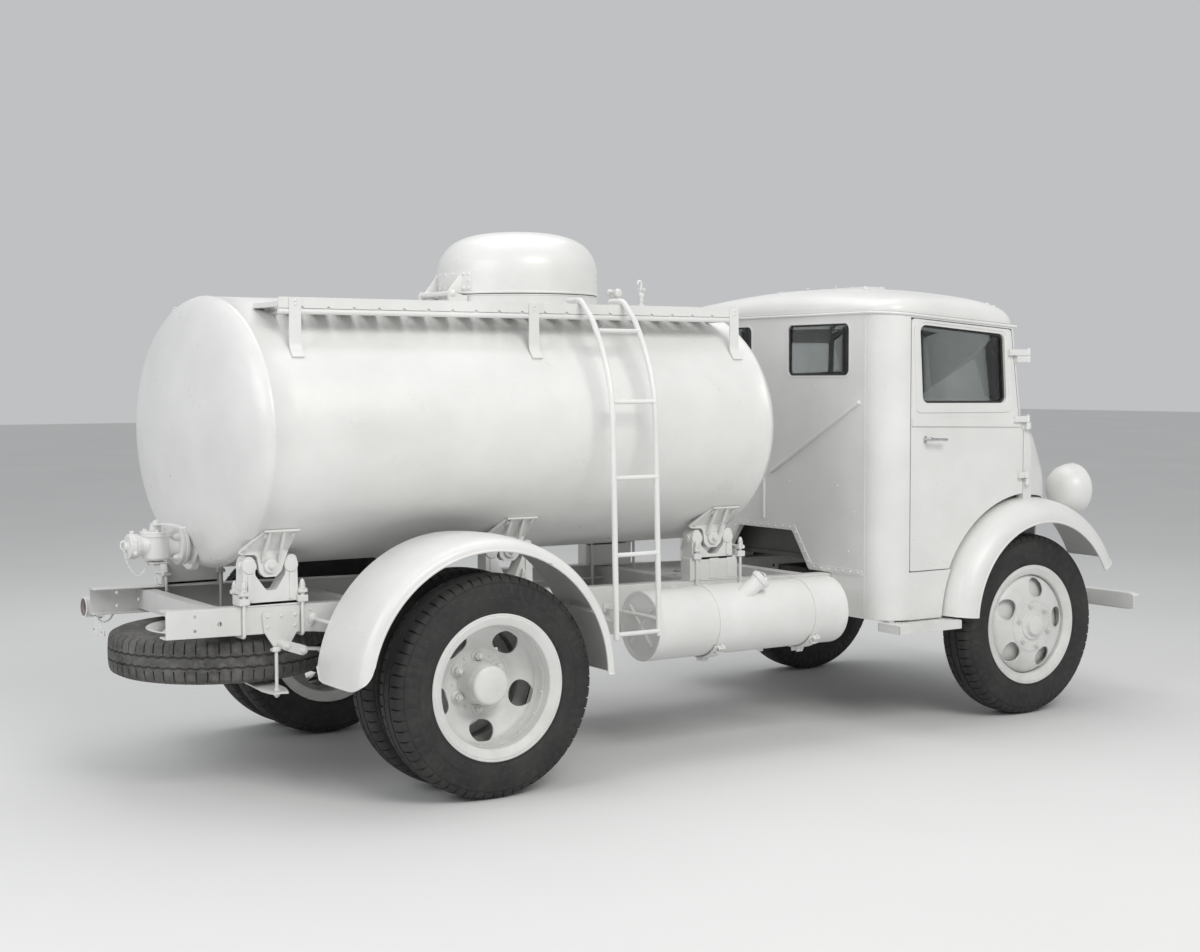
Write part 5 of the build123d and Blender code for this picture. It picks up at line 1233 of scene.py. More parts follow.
k.lathe([(0, 0), (0, 4), (5, 4), (6, 2.4), (8, 3), (10, 1.5), (10, 0)], (-690, -520, 630), (0, 0, 1), 10)
emit(k.both(), "rear_spring_packs", "root", [WHITE_CHASSIS], replaces=("rear_springs",))

k = leafspring(WB, -440.0, 486.0, 470.0, 535.0, 4)
for sx in (-1, 1):
    xe = WB + sx * 470
    zt = min(rail_low(xe - 26), rail_low(xe + 26)) - 0.3
    for y0, y1 in ((-474, -466.6), (-413.4, -406)):
        k.slab(rounded([(xe - 26, zt - 1), (xe + 26, zt - 1), (xe + 20, 524), (xe + 12, 519.5), (xe - 12, 519.5), (xe - 20, 524)], [2, 2, 8, 6, 6, 8], 4), xz(), y0, y1, b=1.4)
    k.box(xe - 26, xe + 26, -474, -406, zt - 6, zt, b=1.4)
    k.hexa((xe, -474, 535), (0, -1, 0), 11, 8)
    k.rod((xe, -474, 535), (xe, -406, 535), 10, 16, 1)
emit(k.both(), "front_spring_packs", "root", [WHITE_CHASSIS], replaces=("front_springs",))

# ------------------------------------------------------------------ tank mounting
PZ = 925.0
TIES = ((-120.0, 125.0), (-125.0, 60.0), (-100.0, 150.0))
kb, kp = Kit(), Kit()
for i, x in enumerate((-725.0, 360.0, 1440.0)):
    fp = [(x - 148, 974), (x - 62, 1058), (x + 86, 1058), (x + 70, 985), (x + 40, 902), (x + 18, 881), (x - 32, 881), (x - 52, 902), (x - 62, 970)]
    kb.slab(rounded(fp, [10, 12, 12, 18, 22, 16, 16, 22, 18], 5), xz(), -480, -466, b=2)
    # raised edge round the pressed plate
    edge = [Vector((p[0], -481, p[1])) for p in rounded([(x - 138, 979), (x - 58, 1052), (x + 79, 1052), (x + 63, 986)], [3, 12, 12, 4], 5)]
    kb.tube(edge, 4.5, 10)
    for xa, xb, lean in ((x - 46, x - 34, 5), (x + 22, x + 34, -4)):
        kb.slab(rounded([(xa + lean, 1056), (xb + lean, 1056), (xb, 944), (xa, 944)], 3, 3), xz(), -492, -479, b=2.4)
    kb.slab(rounded([(x - 34, 985), (x + 20, 985), (x + 20, 892), (x + 8, 880.5), (x - 22, 880.5), (x - 34, 892)], [2, 2, 9, 9, 9, 9], 5), xz(), -467, -420.5, b=3)
    kb.lathe([(0, 0), (0, 27), (4, 29), (12, 27), (14, 20), (14, 0)], (x - 7, -480, PZ), (0, -1, 0), 28)
    kb.box(x - 60, x + 70, -466, -400, 986, 1058, b=5)
    for dx, z in ((-48, 1040), (66, 1040), (-112, 992)):
        kb.hexa((x + dx, -480, z), (0, -1, 0), 10, 8, stud=3)
    kb.hexa((x - 7, -493, PZ), (0, -1, 0), 13, 10, stud=4)
    kb.lathe([(0, 0), (0, 15.5), (2.5, 17), (226, 17), (228.5, 15.5), (228.5, 0)], (x - 120.2, -440, PZ), (1, 0, 0), 28)
    for xs, d in ((x - 120, -1), (x + 108, 1)):
        kb.hexa((xs - d * 3, -440, PZ), (d, 0, 0), 20, 7)
    # pedestal casting
    y0, y1 = -476.0, -404.0
    z0 = rail_top(x - 140) + (92 if i == 2 else 0.0)
    foot = [(x - 130, rail_top(x - 130) + 0.4), (x + 140, rail_top(x + 140) + 0.4), (x + 140, z0 + 14), (x - 130, z0 + 14)]
    kp.slab(rounded(foot, [2, 2, 6, 6], 4), xz(), y0, y1, b=3)
    if i == 2:
        for xx in (x - 95, x + 5, x + 105):
            kp.slab([(xx - 26, rail_top(x) + 8), (xx + 26, rail_top(x) + 8), (xx + 26, z0 + 8), (xx - 26, z0 + 8)], xz(), y0 - 3, y0 + 6, b=2.5)
    notch = z0 + (28 if i == 2 else 60)
    post = [(x - 122, z0 + 4), (x + 112, z0 + 4), (x + 108, PZ + 20), (x + 102, PZ + 35), (x + 86, PZ + 42), (x + 70, PZ + 36), (x + 58, PZ + 22), (x + 58, PZ - 35), (x + 20, notch), (x - 22, notch), (x - 68, PZ - 35), (x - 68, PZ + 22), (x - 80, PZ + 36), (x - 94, PZ + 41), (x - 108, PZ + 34), (x - 117, PZ + 18)]
    kp.slab(rounded(post, [4, 4, 10, 12, 14, 12, 10, 14, 16, 16, 14, 10, 12, 14, 12, 10], 4), xz(), y0, y1, b=4, seg=3)
    for a in (x - 92, x + 82):
        kp.lathe([(0, 0), (0, 30), (5, 28), (7, 22), (7, 0)], (a, y0, PZ), (0, -1, 0), 28)
        kp.slab(rounded([(a - 10, z0 + 22), (a + 10, z0 + 22), (a + 8, PZ - 30), (a - 8, PZ - 30)], 3, 3), xz(), y0 - 7, y0 + 3, b=2.4)
    for dx in TIES[i]:
        zb = min(rail_low(x + dx - 8), rail_low(x + dx + 8)) - 8
        zl = z0 + 44
        kp.box(x + dx - 17, x + dx + 17, -499, -379, zl, zl + 16, b=3)
        kp.box(x + dx - 17, x + dx + 17, y0 + 4, y1 - 4, z0 + 6, zl + 8, b=2)
        kp.box(x + dx - 21, x + dx + 21, -496, -462, z0 + 8, z0 + 34, b=2.5)
        pts = [(x + dx, -485.5, zl + 30), (x + dx, -485.5, zb + 4), (x + dx, -485.5, zb), (x + dx, -393, zb), (x + dx, -393, zb + 4), (x + dx, -393, zl + 30)]
        kp.tube(fillet3([pts[0], (x + dx, -485.5, zb), (x + dx, -393, zb), pts[-1]], 11, 6), 6.8, 14)
        for yb in (-485.5, -393.0):
            kp.hexa((x + dx, yb, zl + 16), (0, 0, 1), 12, 11)
            kp.acorn((x + dx, yb, zl + 29), (0, 0, 1), 10.5, 24)
# the upright plates follow the tank outward above their fold
for j, (px, py, pz) in enumerate(kb.v):
    if pz > 985 and py < -462:
        up_ = (pz - 985) * 1.13
        kb.v[j] = (px, py - up_ * 0.83, 985 + up_)
for x in (-725.0, 360.0, 1440.0):
    kb.block((x + 11, -556, 1068), (73, 0, 0), (0, 9.5, 0), (0, 0, 3.6), 2)
emit(kb.both(), "tank_bracket_pressings", "root", [WHITE_CAST], replaces=("tank_brackets",))
emit(kp.both(), "rocker_pedestals", "root", [WHITE_CAST], replaces=("pedestals",))

# ------------------------------------------------------------------ fenders
def arch(table, cx, cz, t, a0, arc_, seg, lip=6.5, n=5):
    """Sheet turned about the wheel arch, its outer edge rolled round a wire."""
    k = Kit()
    pts = smoothline(table, n)
    out = [(p.x, p.y) for p in pts]
    inn = []
    for j, p in enumerate(pts):
        a, c = pts[max(j - 1, 0)], pts[min(j + 1, len(pts) - 1)]
        d = (c - a).normalized()
        nx, nz = d.y, -d.x
        if nz > 0 or (abs(nz) < 0.2 and nx > 0):
            nx, nz = -nx, -nz
        inn.append((p.x + nx * t, p.y + nz * t))
    k.lathe([(-y, r) for y, r in out] + [(-y, r) for y, r in reversed(inn)], (cx, 0, cz), (0, 1, 0), seg, 0, a0, arc_, close=True)
    ly, lr = out[0][0] - lip * 0.55, out[0][1] + lip * 0.2
    ring = [(-ly + lip * cos(2 * pi * j / 12), lr + lip * sin(2 * pi * j / 12)) for j in range(12)]
    k.lathe(ring, (cx, 0, cz), (0, 1, 0), seg, 0, a0, arc_, close=True)
    for tt in (a0, a0 + arc_):
        c, s = -cos(rad(tt)), sin(rad(tt))
        k.tube([(cx + r * c, -y, cz + r * s) for y, r in out[::2]], 4.2, 8)
    return k


RF = [(1025.2, 533), (1024.8, 545), (1021, 558), (1010, 569), (988, 579), (930, 587), (830, 591.5), (730, 589), (640, 584)]
k = arch(RF, -30.0, 455.0, 3.0, 3, 177, 84)
# the rear lower end has rounded corners: the sheet is drawn back there, more towards its two edges
for j, (px, py, pz) in enumerate(k.v):
    r, t = math.hypot(px + 30.0, pz - 455.0), math.degrees(math.atan2(pz - 455.0, -(px + 30.0)))
    t += 360 if t < -90 else 0
    y, back = abs(py), 0.0
    u = 1.05 * (r - 533) if y > 1010 else 40 + 1.04 * (1010 - y)
    if u < 105:
        back = 105 * (1 - math.sqrt(max(0.0, 1 - ((105 - max(u, 0.0)) / 105.0) ** 2)))
    elif y < 702:
        back = 60 * (1 - math.sqrt(max(0.0, 1 - ((702 - y) / 63.0) ** 2)))
    t = rad(180 - (180 - t) * (1 - back / 585.0 * 180 / pi / 177.0)) if t < 120 else rad(t)
    if t < rad(120):
        k.v[j] = (-30.0 - r * cos(t), py, 455.0 + r * sin(t))
for a in (25.5, 154.5):
    ca, sa = cos(rad(a)), sin(rad(a))
    x, z = -30 + 576 * ca, 455 + 576 * sa
    k.rod((x, -925, z), (x, -474.5, z), 8, 16, 2)
    k.lathe([(0, 0), (0, 22), (4, 22), (6, 16), (16, 11), (16, 0)], (x, -474.4, z), (0, -1, 0), 24)
    for yy in (-900, -720):
        n = Vector((ca, 0, sa))
        k.block(Vector((x, yy, z)) + n * 8, Vector((sa, 0, -ca)) * 16, (0, 13, 0), n * 4.5, 1.5)
    for j in range(6):
        y = -650 - 60 * j
        r = interp([(640, 584), (730, 589), (830, 591.5), (930, 587), (988, 579)], -y)
        k.rivet((-30 + r * ca, y, 455 + r * sa), (ca, 0, sa), 4.5)
emit(k.both(), "rear_fender_sheets", "root", [WHITE], smooth=45, replaces=("rear_fenders",), weighted=False)

FF = [(984.5, 466), (984, 490), (979, 510), (968, 530), (950, 549), (926, 565), (880, 577), (800, 584.5), (720, 586), (640, 586)]
k = arch(FF, 3097.0, 487.0, 3.0, 4, 149.5, 78)
emit(k.both(), "front_fender_sheets", "root", [WHITE], smooth=45, replaces=("front_fenders",), weighted=False)

# ------------------------------------------------------------------ bumper and lamps
k = Kit()
sec = [(3827, 466), (3827, 538), (3831, 544.5), (3837, 545.8), (3869, 545.8), (3869.6, 543), (3869, 540.4), (3839, 539.6), (3834, 536), (3834, 468), (3839, 464.6), (3869, 463.8), (3869.6, 461), (3869, 458.4), (3837, 458.4), (3831, 459.6)]
ys = [-899, -893, -880, -860] + list(range(-800, 801, 200)) + [860, 880, 893, 899]
rows = []
for y in ys:
    f = 1 - 0.28 * max(0.0, (abs(y) - 860) / 39.0) ** 2
    rows.append([(x, y, 502 + (z - 502) * f) for x, z in sec])
k.loft(rows, cap0=True, cap1=True)
for s in (-1, 1):
    irons = [(3600, rail_top(3600) - 20), (3780, rail_top(3780) - 20), (3828, 545), (3828, 472), (3790, 472), (3700, rail_top(3700) - 90), (3600, rail_top(3600) - 90)]
    k.slab(rounded(irons, [6, 14, 4, 4, 12, 20, 6], 4), xz(), s * 474.3, s * 485.8, b=2)
    for x, dz in ((3625, 36), (3625, 74), (3720, 40), (3720, 76)):
        k.hexa((x, s * 485.8, rail_top(x) - dz), (0, s, 0), 10, 8)
    for z in (486, 518):
        k.rivet((3869 - 35, s * 480, z), (1, 0, 0), 9)
emit(k, "bumper_channel", "root", [WHITE], replaces=("front_bumper",))

for side, s in (("left", 1), ("right", -1)):
    o = (3535, s * 745, 1089)
    k = Kit()
    shell = smoothline([(-128, 0.01), (-127, 26), (-121.5, 55), (-110, 81), (-91, 102), (-66, 117), (-40, 125), (-20, 128.4), (-6, 128.6)], 5)
    prof = [(p.x, max(p.y, 0)) for p in shell]
    prof[0] = (-128, 0)
    k.lathe(prof + [(-6, 122), (-30, 118)], o, (1, 0, 0), 72)
    k.lathe([(-12, 124), (-12, 129.6), (-8, 130.4), (-2, 129.6), (0.5, 126), (0.5, 117), (-4, 116)], o, (1, 0, 0), 72, close=True)
    k.rod((o[0] - 60, o[1], 990), (o[0] - 60, o[1], 948), 14, 20, 2)
    k.lathe([(0, 0), (0, 34), (5, 32), (9, 20), (24, 15), (24, 0)], (o[0] - 60, o[1], 946), (0, 0, 1), 28)
    k.lathe([(0, 0), (0, 26), (6, 30), (12, 30), (18, 24), (18, 0)], (o[0] - 60, o[1], 968), (0, 0, 1), 28)
    k.rivet((o[0] - 5, o[1], o[2] + 129.6), (0, 0, 1), 5)
    k.lathe([(-64, 116.4), (-63, 118.8), (-59, 119.6), (-57, 119)], o, (1, 0, 0), 72)
    emit(k, "headlamp_%s_shell" % side, "root", [WHITE], replaces=("headlamps",) if side == "left" else (), smooth=45)
    k = Kit()
    k.lathe([(-74, 0), (-72, 30), (-62, 62), (-44, 90), (-22, 106), (-8, 111), (-6, 111), (-20, 108), (-42, 92), (-60, 64), (-70, 30), (-72, 0)], o, (1, 0, 0), 64)
    k.lathe([(-70, 0), (-70, 9), (-50, 9), (-46, 12), (-36, 12), (-30, 6), (-29, 0)], o, (1, 0, 0), 20)
    emit(k, "headlamp_%s_reflector" % side, "root", [MIRROR], smooth=45)
    k = Kit()
    k.lathe([(-4, 0), (-4, 116), (-1, 116), (0.5, 84), (1.2, 42), (1.5, 0)], o, (1, 0, 0), 64)
    emit(k, "headlamp_%s_lens" % side, "root", [GLASS], smooth=45, weighted=False)

k = Kit()
k.lathe([(0, 0), (0, 40), (3, 44), (8, 45), (44, 45), (50, 42), (54, 44.6), (58, 44.6), (59.6, 42), (59.6, 38)], (-1105.4, 530, 685), (-1, 0, 0), 48)
k.box(-1139.6, -1120.4, 474.4, 528, 676.4, 693.6, b=2)
k.hexa((-1130, 482, 694), (0, 0, 1), 6, 5)
emit(k, "tail_lamp_shell", "root", [WHITE], replaces=("tail_lamp",))
k = Kit()
k.lathe([(50, 0), (50, 38.5), (57, 37), (61, 28), (63, 14), (63.5, 0)], (-1101.5, 530, 685), (-1, 0, 0), 40)
emit(k, "tail_lamp_lens", "root", [LENS])

k = Kit()
slots = []
for y in (332.0, 438.0):
    slots.append(rounded([(y - 14, 595), (y + 14, 595), (y + 14, 603), (y - 14, 603)], 3.9, 4))
bar_ = [(300, 586), (470, 586), (470, 612), (440, 612), (425, 640), (385, 640), (350, 612), (300, 612)]
k.slab(rounded(bar_, [5, 5, 5, 8, 4, 4, 8, 5], 4), yz, -1150, -1144.2, slots, b=1)
k.box(-1149.6, -1144.4, 385.5, 424.5, 636, 664, b=1)
k.box(-1149.6, -1117, 385.5, 424.5, 657, 662.4, b=1)
k.hexa((-1131, 405, 657), (0, 0, -1), 8, 6)
emit(k, "plate_bar", "root", [WHITE], replaces=("plate_bracket",))
# conduit to the tail lamp
k = Kit()
k.tube(smoothline([(-1108, 530, 672), (-1106, 528, 650), (-1100, 520, 628), (-1086, 505, 618), (-1068, 488, 628), (-1056, 476, 650), (-1050, 470, 672)], 6), 4.0, 10)
emit(k, "tail_lamp_conduit", "root", [WHITE])

# ------------------------------------------------------------------ fuel tank
FX0, FX1, FY, FZ, FR = 876.0, 1935.0, -700.0, 585.0, 154.0
k = Kit()
prof = [(FX0 + 7 + a, r) for a, r in ((0, 0), (0, 58), (1, 62), (1, 124), (-1, 134), (-6, 142), (-6.8, 149), (-5, 152.6), (-1, 154))]
prof += [(FX0 + 20, 154), (FX0 + 21, 154.8), (FX0 + 25, 155), (FX0 + 29, 154.8), (FX0 + 30, 154), (1190, 154), (1400, 154), (1600, 154), (1800, 154), (FX1 - 30, 154), (FX1 - 29, 154.8), (FX1 - 25, 155), (FX1 - 21, 154.8), (FX1 - 20, 154)]
prof += [(FX1 - 7 - a, r) for a, r in ((-1, 154), (-5, 152.6), (-6.8, 149), (-6, 142), (-1, 134), (1, 124), (1, 62), (0, 58), (0, 0))]
k.lathe([(x - FX0, r) for x, r in prof], (FX0, FY, FZ), (1, 0, 0), 96)
for a in (45, 135):
    c, s = cos(rad(a)), sin(rad(a))
    for xs, d in ((FX0 + 7.5, -1), (FX1 - 7.5, 1)):
        L = 118
        p0, p1 = Vector((xs, FY - L * c, FZ - L * s)), Vector((xs, FY + L * c, FZ + L * s))
        k.tube([p0, p0.lerp(p1, 0.02), p0.lerp(p1, 0.5), p0.lerp(p1, 0.98), p1], [3, 9, 9, 9, 3], 14)
for xc in (1215.0, 1755.0):
    k.lathe([(-20, 154.2), (-20, 158.2), (-18.6, 159.4), (18.6, 159.4), (20, 158.2), (20, 154.2)], (xc, FY, FZ), (1, 0, 0), 96, close=True)
    # saddle plate under the drum, and the bolt that draws the strap down at its outboard end
    k.lathe([(-30, 159.6), (-30, 164.4), (-28, 166), (28, 166), (30, 164.4), (30, 159.6)], (xc, FY, FZ), (1, 0, 0), 40, 0, 218, 104, close=True)
    q, n_ = Vector((xc, FY + 171 * cos(rad(222)), FZ + 171 * sin(rad(222)))), Vector((0, cos(rad(222)), sin(rad(222))))
    d_ = Vector((0, -n_.z, n_.y))
    k.block(q - d_ * 14, (18, 0, 0), n_ * 11, d_ * 3, 1.2)
    k.block(q + d_ * 14, (18, 0, 0), n_ * 11, d_ * 3, 1.2)
    k.rod(q - d_ * 30, q + d_ * 30, 5, 14, 1)
    k.hexa(q - d_ * 17, -d_, 8.5, 7)
    k.hexa(q + d_ * 17, d_, 8.5, 7)
    for w_ in (-1, 1):
        k.block(q + d_ * 27 + Vector((w_ * 11, 0, 0)), (7, 0, 0), n_ * 5, d_ * 2, 1.2)
    k.slab([(-474.3, FZ - 40), (-560, FZ - 40), (-560, FZ + 60), (-474.3, FZ + 60)], lambda u, v, w: (w, u, v), xc - 18, xc - 12, b=1.2)
    k.slab([(-474.3, FZ - 40), (-560, FZ - 40), (-560, FZ + 60), (-474.3, FZ + 60)], lambda u, v, w: (w, u, v), xc + 12, xc + 18, b=1.2)
    k.box(xc - 18, xc + 18, -482, -474.4, FZ - 40, FZ + 130, b=1.5)
    for z in (FZ + 80, FZ + 112):
        k.hexa((xc, -482, z), (0, -1, 0), 9, 7)
    # strap tightener under the tank: two lugs, a bolt and its wing nut
    for dy in (-20, 16):
        k.box(xc - 18, xc + 18, FY + dy, FY + dy + 5, FZ - 184, FZ - 155, b=1.2)
    k.rod((xc, FY - 34, FZ - 172), (xc, FY + 30, FZ - 172), 5, 14, 1)
    k.hexa((xc, FY + 21, FZ - 172), (0, 1, 0), 8, 7)
    k.lathe([(0, 0), (0, 8), (8, 7), (10, 0)], (xc, FY - 20, FZ - 172), (0, -1, 0), 16)
    for s in (-1, 1):
        k.block((xc + s * 11, FY - 25, FZ - 172 + 4), (7, 0, 3 * s), (0, 1.8, 0), (0, 0, 7), 1.4)
# filler
ax = (Vector((1452, -812, 762)) - Vector((1345, -760, 660))).normalized()
base = Vector((1345, -760, 660))
k.lathe([(-10, 36), (0, 50), (10, 42), (22, 37), (28, 36), (128, 36), (134, 39), (146, 39), (150, 36)], base, ax, 40)
k.lathe([(146, 0), (146, 43), (148, 45), (166, 45), (169, 43), (170, 36), (172, 34), (172, 0)], base, ax, 40)
for j in range(18):
    t = 2 * pi * j / 18
    a, u, w = basis(ax)
    d_ = u * cos(t) + w * sin(t)
    k.block(base + ax * 158 + d_ * 44.8, ax * 7, a.cross(d_) * 2.2, d_ * 1.2, 0.4)
k.rod((1540, FY, FZ - 152), (1540, FY, FZ - 166), 13, 6, 2)
k.hexa((1620, FY + 60, FZ + 142), (0, 0.3, 1), 12, 12)
k.tube(fillet3([(1620, FY + 62, FZ + 150), (1620, FY + 66, FZ + 172), (1640, FY + 140, FZ + 176), (1700, -476, FZ + 110)], 24), 4.4, 10)
emit(k, "fuel_tank_drum", "root", [WHITE], replaces=("fuel_tank",), smooth=32)


# ------------------------------------------------------------------ cab
CX0, CX1, CY, CR = 2150.0, 3050.0, 865.0, 145.0
AX, AZC = 3097.0, 487.0


def eave(x):
    return 1968.0 - 0.069 * (x - CX0)


def door_edge(z):
    """Front edge of the door: upright to the belt, raked back above it."""
    if z <= 1395:
        return 3043.0
    if z <= 1445:
        return 3043.0 - 0.6 * (z - 1395)
    return 3013.0 - 0.137 * (z - 1445)


def screen(z):
    return 3041.0 - 0.137 * (z - 1445)


def outset(pts, g):
    """A convex outline moved outward by g, corners mitred."""
    out, m = [], len(pts)
    for i in range(m):
        a, p, c = Vector(pts[i - 1]), Vector(pts[i]), Vector(pts[(i + 1) % m])
        d0, d1 = (p - a).normalized(), (c - p).normalized()
        n0, n1 = Vector((d0.y, -d0.x)), Vector((d1.y, -d1.x))
        b = (n0 + n1).normalized()
        out.append(tuple(p + b * (g / max(0.3, b.dot(n0)))))
    return out


def cab_plan(grow, x1, n=22):
    """Half of the plan outline, from the right side's front edge to the middle of the rear wall."""
    r = CR - grow
    out = [(x1, -(CY - grow))]
    for j in range(n + 1):
        t = rad(90 * j / n)
        out.append((CX0 + CR - r * sin(t), -(CY - CR) - r * cos(t)))
    return out


def wall_ring(z, g0, g1):
    a = cab_plan(g0, 2295.0)[1:]
    o = a + [(x, -y) for x, y in reversed(a)]
    a = cab_plan(g1, 2295.0)[1:]
    i = a + [(x, -y) for x, y in reversed(a)]
    return [(x, y, z if z else eave(x) - 0.3) for x, y in o + i[::-1]]


k = Kit()
k.loft([wall_ring(520.5, 0, 30), wall_ring(0, 0, 30)], cap0=True, cap1=True)
rear_wall = emit(k, "cab_rear_panel", "root", [WHITE], smooth=25, replaces=("cab_rear_wall",), weighted=True)
cuts = []
for y0, y1 in ((-599, -145), (145, 599)):
    c = Kit()
    c.slab(rounded([(y0, 1668), (y1, 1668), (y1, 1915), (y0, 1915)], 30, 7), yz, 2120, 2200, b=0)
    cuts.append(c)
c = Kit()
c.slab(rounded([(-480, 500), (480, 500), (480, 719), (380, 719), (240, 903), (-180, 903), (-310, 719), (-480, 719)], [0, 0, 14, 20, 26, 26, 20, 14], 5), yz, 2120, 2200, b=0)
cuts.append(c)
carve(rear_wall, *cuts)

k = Kit()
# riveted flange round the lower opening, then the seam out to the corner
line = [(-700, 735), (-488, 735), (-326, 737), (-196, 917), (256, 917), (397, 737), (488, 735), (700, 735)]
up, dn = [], []
for j, (y, z) in enumerate(line):
    a, c = Vector(line[max(j - 1, 0)]), Vector(line[min(j + 1, len(line) - 1)])
    d0 = (Vector((y, z)) - a).normalized() if j else (c - Vector((y, z))).normalized()
    d1 = (c - Vector((y, z))).normalized() if j < len(line) - 1 else d0
    t = (d0 + d1).normalized()
    n = Vector((-t.y, t.x)) / max(0.5, t.dot(d0))
    up.append(tuple(Vector((y, z)) + n * 13.5))
    dn.append(tuple(Vector((y, z)) - n * 13.5))
k.slab(rounded(up + dn[::-1], [0, 16, 16, 16, 16, 16, 16, 0, 0, 8, 8, 8, 8, 8, 8, 0], 4), yz, 2146.4, 2151, b=1.3)
for (ya, za), (yb, zb) in zip(line, line[1:]):
    L = math.hypot(yb - ya, zb - za)
    n = max(2, int(round(L / 54)))
    for j in range(n):
        s = (j + 0.5) / n
        k.rivet((2146.6, ya + (yb - ya) * s, za + (zb - za) * s), (-1, 0, 0), 6.2)
# thin shadow step under the seam, beads, corner joints with their small rivets
k.box(2148.8, 2151, -716, -704, 540, 1952, b=0.8)
k.box(2148.8, 2151, 704, 716, 540, 1952, b=0.8)
for s in (-1, 1):
    for j in range(26):
        k.rivet((2148.9, s * 710, 566 + 54 * j), (-1, 0, 0), 3.2, seg=8)
k.rod((2149.0, -14, 1185), (2149.0, -678, 1543), 10.5, 16, 8)
k.rod((2149.0, 40, 948), (2149.0, 40, 1150), 9, 16, 7)
for y, z in ((-347, 1615), (-160, 1145), (-518, 1139), (347, 1615), (518, 1139), (-600, 830), (-640, 1020), (600, 830)):
    k.hexa((2150.2, y, z), (-1, 0, 0), 5.5, 3.5)
for y0, y1 in ((-599, -145), (145, 599)):
    o = rounded([(y0 - 9, 1659), (y1 + 9, 1659), (y1 + 9, 1924), (y0 - 9, 1924)], 38, 7)
    i = rounded([(y0 + 0.5, 1668.5), (y1 - 0.5, 1668.5), (y1 - 0.5, 1914.5), (y0 + 0.5, 1914.5)], 29.5, 7)
    k.slab(o, yz, 2147.6, 2151, [i], b=1.1)
# rain gutter under the roof, round the rear and on over the doors
half = [(2984, -CY - 2)] + [(x, y - 3) if y < -860 else (x - 2.5, y - 1.5 * (y < -600)) for x, y in cab_plan(0, 2320.0)]
path = [(x, y, eave(x) - 7) for x, y in half]
path = path + [(x, -y, z) for x, y, z in reversed(path)]
k.tube(path, 6.6, 10)
emit(k, "cab_rear_beads", "root", [WHITE])

k = Kit()
for y0, y1 in ((-599, -145), (145, 599)):
    o = rounded([(y0 + 0.4, 1668.4), (y1 - 0.4, 1668.4), (y1 - 0.4, 1914.6), (y0 + 0.4, 1914.6)], 29.6, 7)
    i = rounded([(y0 + 9, 1677), (y1 - 9, 1677), (y1 - 9, 1906), (y0 + 9, 1906)], 22, 7)
    k.slab(o, yz, 2156, 2161.7, [i], b=1.5)
    k.slab(o, yz, 2168.3, 2174, [i], b=1.5)
emit(k, "rear_window_seals", "root", [SEAL])
k = Kit()
for y0, y1 in ((-599, -145), (145, 599)):
    k.slab(rounded([(y0 + 2, 1670), (y1 - 2, 1670), (y1 - 2, 1913), (y0 + 2, 1913)], 28, 7), yz, 2162, 2168, b=0.4)
for y0, y1 in ((-775, -28), (28, 775)):
    k.slab(rounded([(y0 + 0.5, 1480.8), (y1 - 0.5, 1480.8), (y1 - 0.5, 1849.2), (y0 + 0.5, 1849.2)], 14, 6), lambda u, v, w: (screen(v) - 20 + w, u, v), 0, 6, b=0.4)
emit(k, "cab_panes", "root", [GLASS], replaces=("cab_glass",), weighted=False)

# sides: sill, strip over the door, and the front pillar with its rounded corner
k = Kit()
arc = []
for j in range(9):
    z = 520.5 + (744 - 520.5) * j / 8
    arc.append((AX - math.sqrt(592.0 ** 2 - (z - AZC) ** 2), z))
k.slab([(2295.0, 520.5)] + arc + [(2295.0, 744)], xz(), -CY, -CY + 45, b=0)
k.slab([(2295.0, eave(2295) - 20), (2956, eave(2956) - 20), (2956, eave(2956) - 0.3), (2295.0, eave(2295) - 0.3)], xz(), -CY, -CY + 45, b=0)
rings = []
for z, xf, r in ((1060, 3106, 6), (1180, 3106, 6), (1300, 3106, 8), (1340, 3104.5, 11), (1372, 3099.5, 15), (1395, 3090, 19), (1410, 3081, 21), (1424, 3070, 22), (1435, 3056, 22), (1445, 3041, 22), (1500, 0, 22), (1620, 0, 22), (1760, 0, 22), (1880, 0, 22), (1913, 0, 22)):
    xf = xf or screen(z)
    x0 = door_edge(z) + 4.2
    ring = [(x0, -820.4), (x0, -864.9)]
    for j in range(9):
        t = rad(90 * j / 8)
        ring.append((xf - r + r * sin(t), -CY + r - r * cos(t)))
    ring.append((xf, -820.4))
    rings.append([(x, y, eave(x) - 0.3 if z == 1913 else z) for x, y in ring])
k.loft(rings, cap0=True, cap1=True)
for z in (1164.0, 1438.0, 1762.0):
    k.rod((3055, -884, z - 32), (3055, -884, z - 1), 10, 20, 2)
    if z > 1500:
        k.box(door_edge(z - 32) + 6.5, 3060.5, -884, -870.5, z - 31.6, z - 1.4, b=2)
        k.box(door_edge(z - 32) + 6.5, 3004, -874, -863, z - 31.6, z - 1.4, b=2)
    else:
        k.box(3049, 3079, -884, -863, z - 32, z - 1.2, b=2)
    k.lathe([(0, 0), (0, 7), (2, 9), (5, 7), (6, 0)], (3055, -884, z - 31), (0, 0, -1), 16)
    if z > 1500:
        for xx in (2989, 3000):
            k.rivet((xx, -883.8, z - 16), (0, -1, 0), 4)
    else:
        k.box(3062, 3086, -869.5, -864, z - 30, z - 4, b=1.5)
        for dz in (-24, -10):
            k.rivet((3077, -869.3, z + dz), (0, -1, 0), 4)
# folded lip along the sill
k.tube([(2296, -CY + 6, 521.5)] + [(x, -CY + 6, z) for x, z in arc[:1]], 5, 10)
emit(k.both(), "cab_side_panels", "root", [WHITE], smooth=28, replaces=("cab_sides",))

